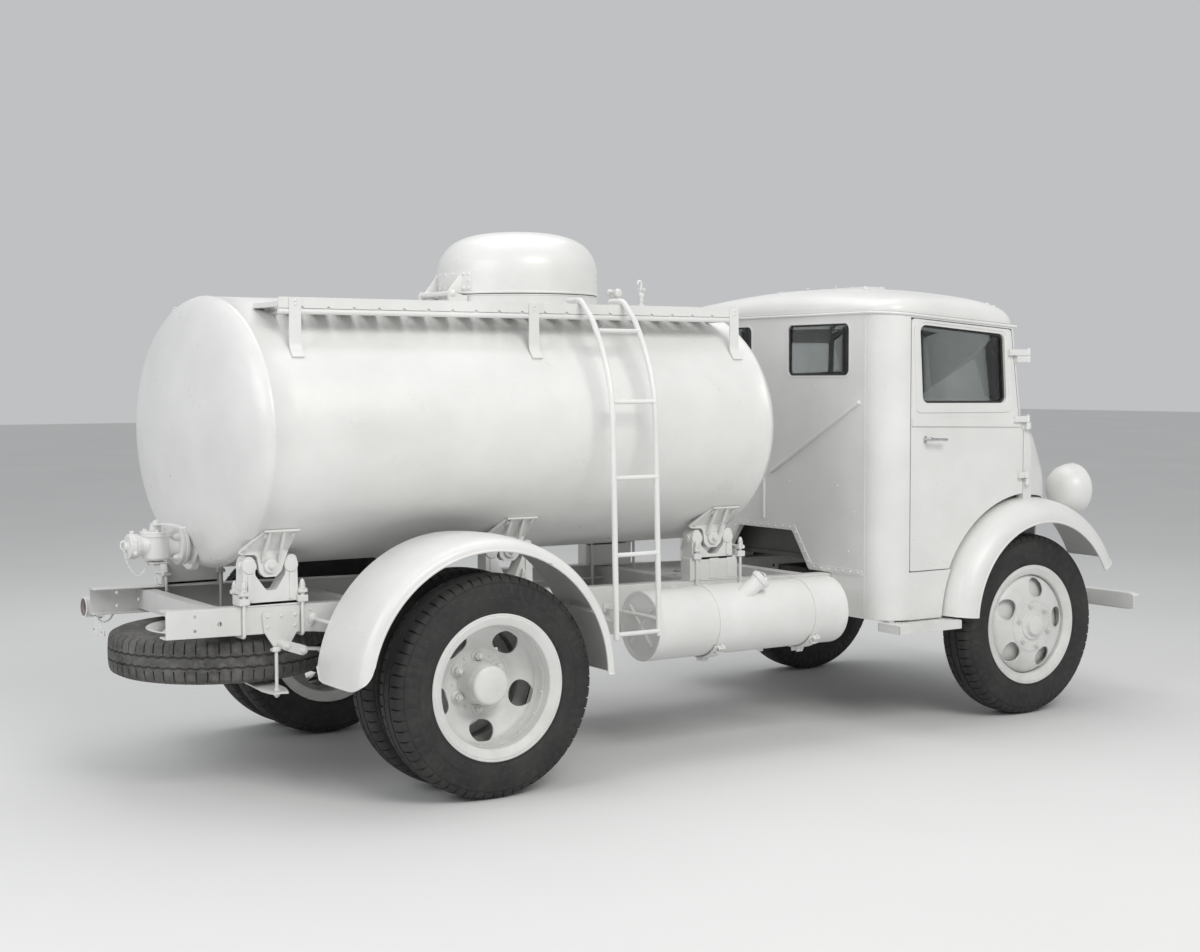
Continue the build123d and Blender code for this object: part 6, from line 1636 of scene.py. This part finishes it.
# ------------------------------------------------------------------ roof
SEC = smoothline([(1.0, 0.0), (1.0, 0.155), (0.984, 0.37), (0.943, 0.53), (0.857, 0.635), (0.70, 0.755), (0.462, 0.895), (0.22, 0.975), (0.0, 1.0)], 4)
PROF = smoothline([(2150, 1968.5), (2150.5, 1988), (2168, 2030), (2212, 2066), (2330, 2094), (2470, 2105), (2600, 2110), (2700, 2108.5), (2790, 2102), (2860, 2086), (2915, 2062), (2960, 2020), (2986, 1962), (2996, 1911)], 5)
PLANR = [(2150, 720), (2155, 757), (2170, 790), (2190, 817), (2218, 842), (2250, 857), (2295, 865), (2400, 866), (2840, 866), (2915, 865), (2950, 858), (2976, 840), (2989, 819), (2996, 800)]
PLANS = smoothline(PLANR, 4)


def roof_half(x):
    return interp([tuple(p) for p in PLANS], x)


rings = []
last = -1e9
for p in PROF:
    x, zt = p.x, p.y
    if x - last < 0.2 and rings:
        x = last + 0.2
    last = x
    e = eave(x)
    w = roof_half(x)
    h = max(zt - e, 0.6)
    right = [(x, -w * q.x, e + h * q.y) for q in SEC]
    rings.append(right + [(a, -b, c) for a, b, c in reversed(right[:-1])])
k = Kit()
k.loft(rings, closed=False)
roof = emit(k, "cab_roof_pressing", "root", [WHITE], smooth=50, replaces=("cab_roof",), weighted=False)
sol = roof.modifiers.new("sheet", "SOLIDIFY")
sol.thickness, sol.offset = 0.018, -1.0
k = Kit()
top = rounded([(2476, -352), (2610, -352), (2610, 352), (2476, 352)], 16, 5)
k.slab(top, lambda u, v, w: (u, v, w - 0.000085 * v * v - (0.000012 * (u - 2620) ** 2)), 2104, 2117, b=2.5)
for y in (-330, -110, 110, 330):
    for x in (2490, 2596):
        k.rivet((x, y, 2116.6 - 0.000085 * y * y), (0, 0, 1), 5)
for s in (-1, 1):
    k.slab(rounded([(2868, -9), (2946, -9), (2946, 9), (2868, 9)], 7, 4), lambda u, v, w: (u, s * (772 + v), w - 0.24 * (u - 2868) - 0.35 * v), 1997, 2011, b=2)
    for x in (2884, 2930):
        k.lathe([(0, 0), (0, 8), (12, 8), (15, 5), (15, 0)], (x, s * 772, 2009 - 0.24 * (x - 2868)), (0, 0, 1), 18)
emit(k, "roof_hatch_board", "root", [WHITE])

# ------------------------------------------------------------------ doors
ARC5 = []
t0 = math.atan2(748 - AZC, -math.sqrt(605.0 ** 2 - (748 - AZC) ** 2))
t1 = math.atan2(math.sqrt(605.0 ** 2 - (3043 - AX) ** 2), 3043 - AX)
for j in range(15):
    t = t0 + (t1 - t0) * j / 14
    ARC5.append((AX + 605 * cos(t), AZC + 605 * sin(t)))
outline = [(2301, 748)] + ARC5 + [(3043, 1395), (3013, 1445), (2951, eave(2951) - 24), (2301, eave(2301) - 24)]
radii = [10] + [0] * len(ARC5) + [22, 26, 22, 22]
window = [(2374, 1537), (2926, 1533), (2904, 1866), (2352, 1906)]


def ring_of(pts, g):
    return outset(pts, g)


for side, s in (("left", 1), ("right", -1)):
    k = Kit()
    k.slab(rounded(outline, radii, 5), xz(), s * CY, s * (CY - 45), [rounded(window, 34, 7)], b=2.2)
    # pressed frame round the window, proud of the lower panel
    k.slab(rounded([(2332, 1493), (2967, 1489), (2938, 1884), (2312, 1925)], [26, 44, 30, 26], 7), xz(), s * (CY - 1), s * (CY + 5), [rounded(ring_of(window, 12), 42, 7)], b=2.4, seg=3)
    k.slab(rounded(ring_of(window, 13), 43, 7), xz(), s * (CY - 1), s * (CY + 1.6), [rounded(ring_of(window, -0.5), 34, 7)], b=0.8)
    # belt moulding
    belt = [(2303, 1430), (3029, 1415.3), (3011, 1444), (3009, 1456), (2303, 1471)]
    k.slab(rounded(belt, [6, 6, 3, 6, 6], 3), xz(), s * (CY - 1), s * (CY + 7), b=5.0, seg=4)
    k.slab([(2303, 1424.5), (3033, 1409.7), (3031.2, 1412.7), (2303, 1427.5)], xz(), s * (CY - 1), s * (CY + 1.2), b=0.5)
    # lower edge strip with its small screws
    k.slab([(2303, 750), (2548, 750), (2530, 772), (2303, 772)], xz(), s * (CY - 1), s * (CY + 1.4), b=0.7)
    for x, z in ((2330, 786), (2420, 786), (2510, 790), (2330, 900), (2990, 1300)):
        k.rivet((x, s * (CY + 0.4), z), (0, s, 0), 4.2)
    for z in (1164.0, 1438.0, 1762.0):
        k.rod((3055, s * 884, z + 1), (3055, s * 884, z + 32), 10, 20, 2)
        a, b = sorted((s * (CY - 2), s * 888))
        e = door_edge(z + 32) - 1
        k.box(e - 40, e, a, b, z + 1.2, z + 31, b=2.5)
        a, b = sorted((s * 871.3, s * 888))
        k.box(e - 2, 3056, a, b, z + 1.2, z + 31, b=2)
        for x in (e - 30, e - 12):
            k.rivet((x, s * 887.8, z + 16), (0, s, 0), 4.5)
        k.lathe([(0, 0), (0, 7), (2, 9), (5, 7), (6, 0)], (3055, s * 884, z + 31.4), (0, 0, 1), 16)
    emit(k, "door_%s_panel" % side, "door_" + side, [WHITE], replaces=("door_" + side,))
    k = Kit()
    k.slab([(2388 + 10 * cos(rad(15 * q)), 1366 + 19 * sin(rad(15 * q))) for q in range(24)], xz(), s * (CY - 0.5), s * (CY + 6), b=2.6, seg=3)
    k.lathe([(5, 9), (9, 8), (30, 8), (34, 9.4), (40, 11), (46, 10), (49, 5), (49.4, 0)], (2388, s * CY, 1368), (0, s, 0), 28)
    pts = [(2380, s * 904.5, 1368.4), (2392, s * 905.5, 1368), (2414, s * 908, 1367), (2444, s * 910, 1366), (2470, s * 910, 1365), (2487, s * 908.5, 1364.2), (2494, s * 907, 1364)]
    k.tube(smoothline(pts, 5), [6] * 3 + [8.4] * 6 + [7.4] * 8 + [8.0] * 8 + [7.0] * 3 + [5, 3, 1.2], 18)
    emit(k, "door_%s_handle" % side, "door_" + side, [CHROME], weighted=False)
    k = Kit()
    o = rounded(ring_of(window, -0.6), 33, 7)
    i = rounded(ring_of(window, -11), 24, 7)
    for w0, w1 in ((CY - 18.7, CY - 12), (CY - 32, CY - 25.3)):
        k.slab(o, xz(), s * w0, s * w1, [i], b=1.6)
    emit(k, "door_%s_seal" % side, "door_" + side, [SEAL])
    k = Kit()
    k.slab(rounded(ring_of(window, -1.5), 32, 7), xz(), s * (CY - 19), s * (CY - 25), b=0.5)
    emit(k, "door_%s_pane" % side, "door_" + side, [GLASS], replaces=("door_glass_" + side,), weighted=False)

# mirror arm stub and bracket blocks are the hinges above; steps under the sills
k = Kit()
tread = rounded([(2160, -952), (2555, -952), (2555, -800), (2160, -800)], [14, 14, 2, 2], 5)
k.slab(tread, xy, 506, 511.8, b=2)
k.slab([(2161, -951.6), (2554, -951.6), (2554, -946), (2161, -946)], xy, 470.5, 510, b=1.6)
k.slab([(2161, -951), (2166, -951), (2166, -801), (2161, -801)], xy, 470.5, 510, b=1.6)
k.slab([(2549, -951), (2554, -951), (2554, -801), (2549, -801)], xy, 470.5, 510, b=1.6)
k.slab([(2161, -806), (2554, -806), (2554, -800.6), (2161, -800.6)], xy, 470.5, 510, b=1.6)
for i in range(9):
    for j in range(3):
        k.box(2186 + 42 * i, 2186 + 42 * i + 30, -934 + 42 * j, -930 + 42 * j, 511.4, 513.4, b=0.6)
for x in (2200, 2420):
    k.box(x, x + 30, -840, -474.4, 512.4, 519.4, b=1.2)
    k.box(x, x + 30, -481.8, -474.4, 513, 600, b=1.2)
    for z in (546, 584):
        k.hexa((x + 15, -481.8, z), (0, -1, 0), 8, 7)
    k.slab([(x + 12, -481), (x + 12, -540), (x + 18, -540), (x + 18, -481)], xy, 519, 536, b=1)
emit(k.both(), "cab_step_plates", "root", [WHITE_CHASSIS], replaces=("cab_steps",))

# ------------------------------------------------------------------ nose: pillow form with a rolled lower edge
NOSE = smoothline([(603, 466), (680, 482), (760, 497), (900, 514), (1030, 522), (1110, 522.5), (1160, 511), (1200, 491), (1270, 433), (1325, 381), (1365, 332), (1390, 277), (1401, 220), (1404, 160), (1405, 100), (1405.4, 58)], 4)


def nose_grid(g):
    rows = []
    for q in NOSE:
        z, a = q.x, q.y
        ga = min(g, a - 57.2)
        t1 = math.acos(56.7 / (a - ga))
        rows.append([(CX1 + (a - ga) * cos(t1 * (j - 36) / 36), (CY - g) * sin(t1 * (j - 36) / 36), z - g * min(1.0, max(0.0, (z - 1110) / 250))) for j in range(73)])
    return rows


out_rows, in_rows = nose_grid(0.0), nose_grid(9.0)
k = Kit()
nr, nc = len(out_rows), len(out_rows[0])
verts = [p for r_ in out_rows for p in r_] + [p for r_ in in_rows for p in r_]
B0 = nr * nc
faces = []
for i in range(nr - 1):
    for j in range(nc - 1):
        a = i * nc + j
        faces.append((a, a + 1, a + nc + 1, a + nc))
        faces.append((B0 + a, B0 + a + nc, B0 + a + nc + 1, B0 + a + 1))
for j in range(nc - 1):
    faces.append((j, B0 + j, B0 + j + 1, j + 1))
    a = (nr - 1) * nc + j
    faces.append((a, a + 1, B0 + a + 1, B0 + a))
for i in range(nr - 1):
    a, c = i * nc, i * nc + nc - 1
    faces.append((a, a + nc, B0 + a + nc, B0 + a))
    faces.append((c, B0 + c, B0 + c + nc, c + nc))
k.add(verts, faces)
nose = emit(k, "nose_pressing", "root", [WHITE], smooth=42, replaces=("nose_panel",), weighted=False)
c1 = Kit()
c1.lathe([(610, 0), (610, 592), (1100, 592), (1100, 0)], (AX, 0, AZC), (0, 1, 0), 128)
c2 = Kit()
c2.lathe([(470, 0), (470, 515), (640, 515), (640, 0)], (WB, 0, 445), (0, 1, 0), 96)
c3 = Kit()
c3.box(2900, 3700, -478, 478, 500, 712, b=0)
c4 = Kit()
c4.slab(rounded([(-250, 760), (250, 760), (250, 1190), (130, 1228), (0, 1240), (-130, 1228), (-250, 1190)], [26, 26, 24, 0, 0, 0, 24], 6), yz, 3300, 3700, b=0)
carve(nose, c1, c1.flip(), c2, c2.flip(), c3, c4)

# windscreen frame: cowl strip, posts and header round the two openings
k = Kit()
top = eave(screen(1905)) - 2.6
holes = []
for y0, y1 in ((-775, -28), (28, 775)):
    holes.append(rounded([(y0, 1480), (y1, 1480), (y1, 1850), (y0, 1850)], 15, 6))
k.slab([(-819.6, 1440), (819.6, 1440), (819.6, top), (-819.6, top)], lambda u, v, w: (screen(v) + w, u, v), -29.5, -0.4, holes, b=2.2)
rings = []
for y in (-819.6, -500, 0, 500, 819.6):
    rings.append([(3105.6, y, 1405.6), (3100, y, 1413), (3091, y, 1424), (3066, y, 1436), (3040.5, y, 1445), (3012, y, 1445), (3072, y, 1405.6)])
k.loft(rings, cap0=True, cap1=True)
for y0, y1 in ((-775, -28), (28, 775)):
    o = rounded([(y0 - 8, 1472), (y1 + 8, 1472), (y1 + 8, 1858), (y0 - 8, 1858)], 22, 7)
    i = rounded([(y0 + 6, 1486), (y1 - 6, 1486), (y1 - 6, 1844), (y0 + 6, 1844)], 10, 7)
    k.slab(o, lambda u, v, w: (screen(v) + w, u, v), -12, 2.4, [i], b=1.4)
    for q in range(9):
        y = y0 + 30 + (y1 - y0 - 60) * q / 8
        k.rivet((screen(1852) + 2.2, y, 1852), (1, 0, 0.137), 3.4, seg=8)
# inner header roll above the screen
k.tube([(screen(1878) - 34, -800, 1878), (screen(1878) - 34, 800, 1878)], 11, 14)
emit(k, "windscreen_frame_pressing", "root", [WHITE], replaces=("windshield_frame",), weighted=False)


# ------------------------------------------------------------------ cab inside: bench, wheel, dashboard
def padded_form(name, kit, voxel, pressure, cap, pinned, frames=12):
    """Voxel remesh, then cloth pressure with the pinned places held, moves no further than cap; returns world points and faces."""
    me = bpy.data.meshes.new(name + "_start")
    me.from_pydata([P(*p) for p in kit.v], [], kit.f)
    o = bpy.data.objects.new(name + "_start", me)
    bpy.context.scene.collection.objects.link(o)
    r = o.modifiers.new("remesh", "REMESH")
    r.mode, r.voxel_size = "VOXEL", voxel
    deps = bpy.context.evaluated_depsgraph_get()
    m2 = bpy.data.meshes.new_from_object(o.evaluated_get(deps))
    bpy.data.objects.remove(o)
    o = bpy.data.objects.new(name + "_cloth", m2)
    bpy.context.scene.collection.objects.link(o)
    rest = [v.co.copy() for v in m2.vertices]
    moved = [p.copy() for p in rest]
    g = o.vertex_groups.new(name="held")
    for i, p in enumerate(rest):
        w = pinned(p)
        if w > 0:
            g.add([i], w, "REPLACE")
    c = o.modifiers.new("cloth", "CLOTH")
    st = c.settings
    st.quality, st.mass = 3, 0.25
    st.tension_stiffness = st.compression_stiffness = 14
    st.shear_stiffness, st.bending_stiffness = 6, 0.6
    st.use_pressure, st.uniform_pressure_force = True, pressure
    st.effector_weights.gravity = 0
    st.vertex_group_mass = "held"
    c.point_cache.frame_start, c.point_cache.frame_end = 1, frames
    for f in range(1, frames + 1):
        bpy.context.scene.frame_set(f)
    deps = bpy.context.evaluated_depsgraph_get()
    ev = o.evaluated_get(deps).to_mesh()
    for i, v in enumerate(ev.vertices):
        d = v.co - rest[i]
        n = d.length
        if n > 1e-6:
            moved[i] = rest[i] + d * (cap * math.tanh(n / cap) / n)
    o.evaluated_get(deps).to_mesh_clear()
    bpy.context.scene.frame_set(1)
    pts = [(p.x * 1000 + MID_X, p.y * 1000, p.z * 1000) for p in moved]
    faces = [tuple(f.vertices) for f in m2.polygons]
    bpy.data.objects.remove(o)
    return pts, faces


def finer(o, level=1):
    s = o.modifiers.new("finer", "SUBSURF")
    s.levels = s.render_levels = level
    deps = bpy.context.evaluated_depsgraph_get()
    me = bpy.data.meshes.new_from_object(o.evaluated_get(deps))
    o.modifiers.clear()
    o.data = me
    for f in me.polygons:
        f.use_smooth = True


def press_lines(o, lines, deep, wide, side):
    """Sewn channels: vertices on the side that faces out sink in a narrow groove along y = line."""
    me = o.data
    nor = [v.normal.copy() for v in me.vertices]
    for v, n in zip(me.vertices, nor):
        out = n.dot(side)
        if out < 0.25:
            continue
        y = v.co.y * 1000
        d = sum(math.exp(-((y - l) / wide) ** 2) for l in lines)
        v.co -= n * (deep / 1000.0) * min(1.0, d) * min(1.0, (out - 0.25) / 0.3)
    me.update()


def piping(k, o, pts, r=4.6, lift=1.0, mat=0):
    """A sewn cord that follows the pad's skin near the given points."""
    path = []
    for q in pts:
        ok, at, n, _ = o.closest_point_on_mesh(P(*q))
        at = at + n * lift / 1000.0
        path.append((at.x * 1000 + MID_X, at.y * 1000, at.z * 1000))
    k.tube(path, r, 8, mat, loop=True)


SEAMS = [-420, -140, 140, 420]
# cushion: crowned above, flat on its box
k = Kit()
rings = []
for y, g in ((-684, 16), (-678, 5), (-660, 0), (-350, 0), (0, 0), (350, 0), (660, 0), (678, 5), (684, 16)):
    rings.append([(2216 + g, y, 964), (2574 - g, y, 964), (2596 - g, y, 994), (2597 - g, y, 1044), (2588 - g, y, 1062 - g * 0.4), (2566 - g, y, 1074 - g), (2400, y, 1066 - g), (2232 + g, y, 1058 - g), (2216 + g, y, 1046 - g)])
k.loft(rings, cap0=True, cap1=True)
pts, faces = padded_form("cushion", k, 0.0195, 4.0, 0.020, lambda p: 1.0 if p.z < 0.972 else 0.75 if (p.x * 1000 + MID_X) < 2232 else 0.0)
k = Kit()
k.add(pts, faces)
cushion = emit(k, "bench_cushion", "root", [LEATHER], replaces=("seat_cushion",), weighted=False)
finer(cushion, 1)
press_lines(cushion, SEAMS, 7.0, 9.0, Vector((0, 0, 1)))
# backrest
k = Kit()
rings = []
for y, g in ((-684, 16), (-678, 5), (-660, 0), (-350, 0), (0, 0), (350, 0), (660, 0), (678, 5), (684, 16)):
    rings.append([(2186, y, 1100 + g), (2262 - g, y, 1100 + g), (2274 - g, y, 1122 + g), (2268 - g, y, 1300), (2256 - g, y, 1470 - g), (2244 - g, y, 1492 - g), (2226 - g * 0.6, y, 1504 - g), (2186, y, 1504 - g)])
k.loft(rings, cap0=True, cap1=True)
pts, faces = padded_form("back", k, 0.0195, 4.0, 0.016, lambda p: 1.0 if (p.x * 1000 + MID_X) < 2194 else 0.0)
k = Kit()
k.add(pts, faces)
backrest = emit(k, "bench_backrest", "root", [LEATHER], replaces=("seat_back",), weighted=False)
finer(backrest)
press_lines(backrest, [-560, -420, -280, -140, 0, 140, 280, 420, 560], 6.0, 8.0, Vector((1, 0, 0)))

k = Kit()
loop = [(2230 + 340 * t / 8, -690, 1085) for t in range(9)] + [(2600, -690 + 1380 * t / 40, 1085) for t in range(41)] + [(2570 - 340 * t / 8, 690, 1085) for t in range(9)] + [(2222, 690 - 1380 * t / 40, 1085) for t in range(41)]
piping(k, cushion, loop)
loop = [(2285, -690, 1110 + 380 * t / 10) for t in range(11)] + [(2275, -690 + 1380 * t / 40, 1512) for t in range(41)] + [(2285, 690, 1490 - 380 * t / 10) for t in range(11)] + [(2290, 690 - 1380 * t / 40, 1104) for t in range(41)]
piping(k, backrest, loop)
emit(k, "bench_piping", "root", [THREAD], weighted=False)

k = Kit()
k.slab(rounded([(2262.5, 774.6), (2544.5, 774.6), (2544.5, 959.6), (2262.5, 959.6)], 3, 2), lambda u, v, w: (u, w, v), -699, 699, b=3)
for y0, y1 in ((-660, -240), (-205, 205), (240, 660)):
    k.slab(rounded([(y0, 800), (y1, 800), (y1, 936), (y0, 936)], 14, 5), yz, 2544, 2547.5, b=1.2)
    for y in (y0 + 16, y1 - 16):
        for z in (816, 920):
            k.rivet((2547.2, y, z), (1, 0, 0), 3.6, seg=8)
k.slab([(2545, 944), (2551, 944), (2551, 958), (2545, 958)], lambda u, v, w: (u, w, v), -698, 698, b=1)
emit(k, "bench_box", "root", [INNER], replaces=("seat_base",), weighted=False)

# steering wheel and column
AXS = Vector((-0.62, 0, 0.785)).normalized()
UX, UY = Vector((0.785, 0, 0.62)).normalized(), Vector((0, 1, 0))
SWC = Vector((2680.0, 430.0, 1330.0))


def on_ring(a, r, h=0.0):
    return SWC + UX * r * cos(a) + UY * r * sin(a) + AXS * h


k = Kit()
n = 96
ring = [on_ring(2 * pi * j / n, 205) for j in range(n)]
k.tube(ring, [11.4 + 0.6 * cos(16 * 2 * pi * j / n) for j in range(n)], 14, 0, loop=True)
for a in (30, 150, 270):
    t = rad(a)
    k.tube(smoothline([on_ring(t, 30, -2), on_ring(t, 70, -10), on_ring(t, 130, -12), on_ring(t, 180, -5), on_ring(t, 200, 0)], 5), [9] * 5 + [7.4] * 5 + [6.6] * 5 + [8] * 6, 12)
k.lathe([(-30, 0), (-30, 20), (-26, 30), (-8, 37), (6, 38), (12, 34), (15, 26), (15, 0)], SWC, AXS, 40)
emit(k, "wheel_rim_moulding", "root", [BLACK], replaces=("steering_wheel",), weighted=False)
k = Kit()
k.lathe([(13, 0), (13, 25), (18, 24), (23, 15), (24, 0)], SWC, AXS, 36)
k.rod(tuple(SWC - AXS * 330), tuple(SWC - AXS * 26), 21, 28, 2)
k.lathe([(0, 0), (0, 34), (6, 36), (16, 32), (20, 24), (20, 0)], SWC - AXS * 326, AXS, 32)
k.lathe([(-60, 22), (-58, 27), (-48, 28), (-36, 27), (-34, 22)], SWC, AXS, 28)
emit(k, "steering_column_tube", "root", [BLACK], weighted=False)

# dashboard with blank instruments, lid and knobs
k = Kit()
k.slab(rounded([(3027.4, 1200.4), (3027.4, 1399.6), (2902, 1399.6), (2871, 1370), (2880.5, 1215.5)], [2, 2, 26, 16, 12], 5), xz(), -811, 811, b=2.5)
face = lambda z: 2871 + (1370 - z) * 9.5 / 154.5
k.slab(rounded([(250, 1236), (610, 1236), (610, 1352), (250, 1352)], 20, 6), lambda u, v, w: (face(v) + w, u, v), -4, 3, b=1.4)
k.slab(rounded([(-700, 1232), (-340, 1232), (-340, 1352), (-700, 1352)], 16, 6), lambda u, v, w: (face(v) + w, u, v), -3, 3, b=1.4)
k.slab(rounded([(-790, 1385), (790, 1385), (790, 1396), (-790, 1396)], 4, 3), lambda u, v, w: (2888 + w, u, v), -4, 12, b=1.2)
emit(k, "dashboard_pressing", "root", [DASH], replaces=("dashboard",), weighted=False)
k = Kit()
dials = Kit()
for y, z, r in ((350, 1294, 47), (510, 1294, 47), (430, 1265, 25), (430, 1325, 25)):
    x = face(z) - 3.6
    a = (-1, 0, -0.06)
    k.lathe([(0, r - 6), (0, r), (3, r + 1), (6, r - 1), (6.5, r - 4), (4, r - 6)], (x, y, z), a, 40, close=True)
    dials.lathe([(0, 0), (1.5, 0.01), (1.5, r - 6), (0, r - 5)], (x, y, z), a, 32, mat=0)
    dials.block((x - 2.6, y + r * 0.12, z + r * 0.22), (0.5, 0, 0), (0, r * 0.015 + 0.6, 0), (0, r * 0.16, r * 0.34), b=0.2, mat=1)
k.lathe([(0, 0), (0, 5), (14, 5), (16, 11), (22, 12), (26, 9), (27, 0)], (face(1240) - 1, 140, 1290), (-1, 0, 0), 24)
for y in (-200, -120, -40, 60):
    k.lathe([(0, 0), (0, 8), (3, 8), (4, 4), (16, 4), (18, 9), (23, 10), (27, 7), (28, 0)], (face(1290) + 1, y, 1290), (-1, 0, 0), 24)
k.lathe([(0, 0), (0, 7), (8, 7), (12, 11), (16, 9), (17, 0)], (face(1330) - 3, -366, 1292), (-1, 0, 0), 24)
emit(k, "dashboard_bright_trim", "root", [CHROME], weighted=False)
emit(dials, "dashboard_dial_faces", "root", [BLACK, MIRROR], weighted=False)

# ribbed rubber mat over the floor, either side of the cover
k = Kit()
for s in (-1, 1):
    a, c = sorted((s * 300, s * 528))
    k.slab(rounded([(2556, a), (2900, a), (2900, c), (2556, c)], 18, 5), xy, 774.4, 779.5, b=1.5)
    for j in range(11):
        y = a + 18 + (c - a - 36) * j / 10
        k.tube([(2572, y, 779.3), (2884, y, 779.3)], 3.0, 6)
emit(k, "floor_mats", "root", [RUBBER_OLD], weighted=False)


# ------------------------------------------------------------------ CAD nodes that stay, with paint and worked edges
KEPT = {
    "engine_block": (IRON, 6.0), "exhaust_pipe": (IRON, 2.0), "propeller_shaft": (WHITE_CHASSIS, 2.0),
    "rear_axle_housing": (WHITE_CAST, 4.0), "front_axle_beam": (WHITE_CAST, 4.0), "knuckle_left": (WHITE_CAST, 2.0),
    "knuckle_right": (WHITE_CAST, 2.0), "tie_rod": (WHITE_CHASSIS, 1.5), "crossmembers": (WHITE_CHASSIS, 1.2),
    "cab_floor": (INNER, 1.5), "dashboard": (DASH, 6.0), "seat_base": (INNER, 3.0), "grille": (WHITE, 1.5),
    "cab_glass": (GLASS, 0.0), "door_glass_left": (GLASS, 0.0), "door_glass_right": (GLASS, 0.0),
    "seat_cushion": (LEATHER, 12.0), "seat_back": (LEATHER, 12.0), "steering_wheel": (BLACK, 1.0),
}
for name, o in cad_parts.items():
    if o.hide_render:
        continue
    mat, wide = KEPT.get(name, (RUBBER if "tyre" in name else WHITE, 1.5))
    if not o.material_slots:
        o.data.materials.append(mat)
    for s in o.material_slots:
        s.material = mat
    if wide:
        b = o.modifiers.new("worked_edges", "BEVEL")
        b.width, b.segments, b.limit_method, b.angle_limit = wide / 1000.0, 2, "ANGLE", rad(35)
        b.use_clamp_overlap = True
        b.harden_normals = False

# ------------------------------------------------------------------ stage, light, camera
fm = Mat("studio_floor")
fm.color(fm.ramp(fm.noise(0.35, 4, 0.55), [(0.3, (0.70, 0.70, 0.695)), (0.75, (0.735, 0.735, 0.73))]))
fm.rough(fm.ramp(fm.noise(3, 4, 0.6), [(0.3, 0.6), (0.75, 0.72)]))
fm.set(Specular_IOR_Level=0.2)
fm.bump((fm.noise(60, 4, 0.6), 0.05, 0.0006))
bpy.ops.mesh.primitive_plane_add(size=120, location=(6, 0, 0))
floor = bpy.context.object
floor.name = "studio_floor"
floor.data.materials.append(fm.m)

world = bpy.data.worlds.new("studio")
bpy.context.scene.world = world
world.use_nodes = True
bg = world.node_tree.nodes["Background"]
bg.inputs["Color"].default_value = (0.97, 0.985, 1.0, 1)
bg.inputs["Strength"].default_value = 0.54


def lamp(name, at, aim, size, power, tint=(1, 1, 1)):
    d = bpy.data.lights.new(name, "AREA")
    d.shape = "RECTANGLE"
    d.size, d.size_y = size
    d.energy = power
    d.color = tint
    o = bpy.data.objects.new(name, d)
    bpy.context.scene.collection.objects.link(o)
    o.location = at
    o.rotation_euler = (Vector(aim) - Vector(at)).to_track_quat("-Z", "Y").to_euler()
    return o


lamp("key_soft_box", (-1.0, -7.5, 6.5), (0.0, 0.0, 1.1), (5.0, 3.5), 375, (1.0, 0.985, 0.96))
lamp("rear_soft_box", (-7.5, -1.5, 4.5), (-1.0, 0.0, 1.2), (4.5, 3.0), 140, (0.97, 0.985, 1.0))
lamp("top_soft_box", (0.5, 1.5, 7.5), (0.0, 0.0, 1.5), (6.0, 6.0), 175)

yaw, pitch, roll = 0.58005, 0.054957, -0.00226
d = Vector((sin(yaw) * cos(pitch), cos(yaw) * cos(pitch), -sin(pitch)))
r = Vector((cos(yaw), -sin(yaw), 0))
u = r.cross(d)
r2, u2 = r * cos(roll) + u * sin(roll), u * cos(roll) - r * sin(roll)
cd = bpy.data.cameras.new("photo_camera")
cam = bpy.data.objects.new("photo_camera", cd)
bpy.context.scene.collection.objects.link(cam)
cam.matrix_world = Matrix(((r2.x, u2.x, -d.x, -4.7585), (r2.y, u2.y, -d.y, -6.9583), (r2.z, u2.z, -d.z, 1.6541), (0, 0, 0, 1)))
cd.sensor_fit = "HORIZONTAL"
cd.sensor_width = 36.0
cd.lens = 52.94
cd.clip_start, cd.clip_end = 0.1, 300
bpy.context.scene.camera = cam

sc = bpy.context.scene
sc.view_settings.view_transform = "Standard"
sc.view_settings.look = "None"
sc.view_settings.exposure = 0.0
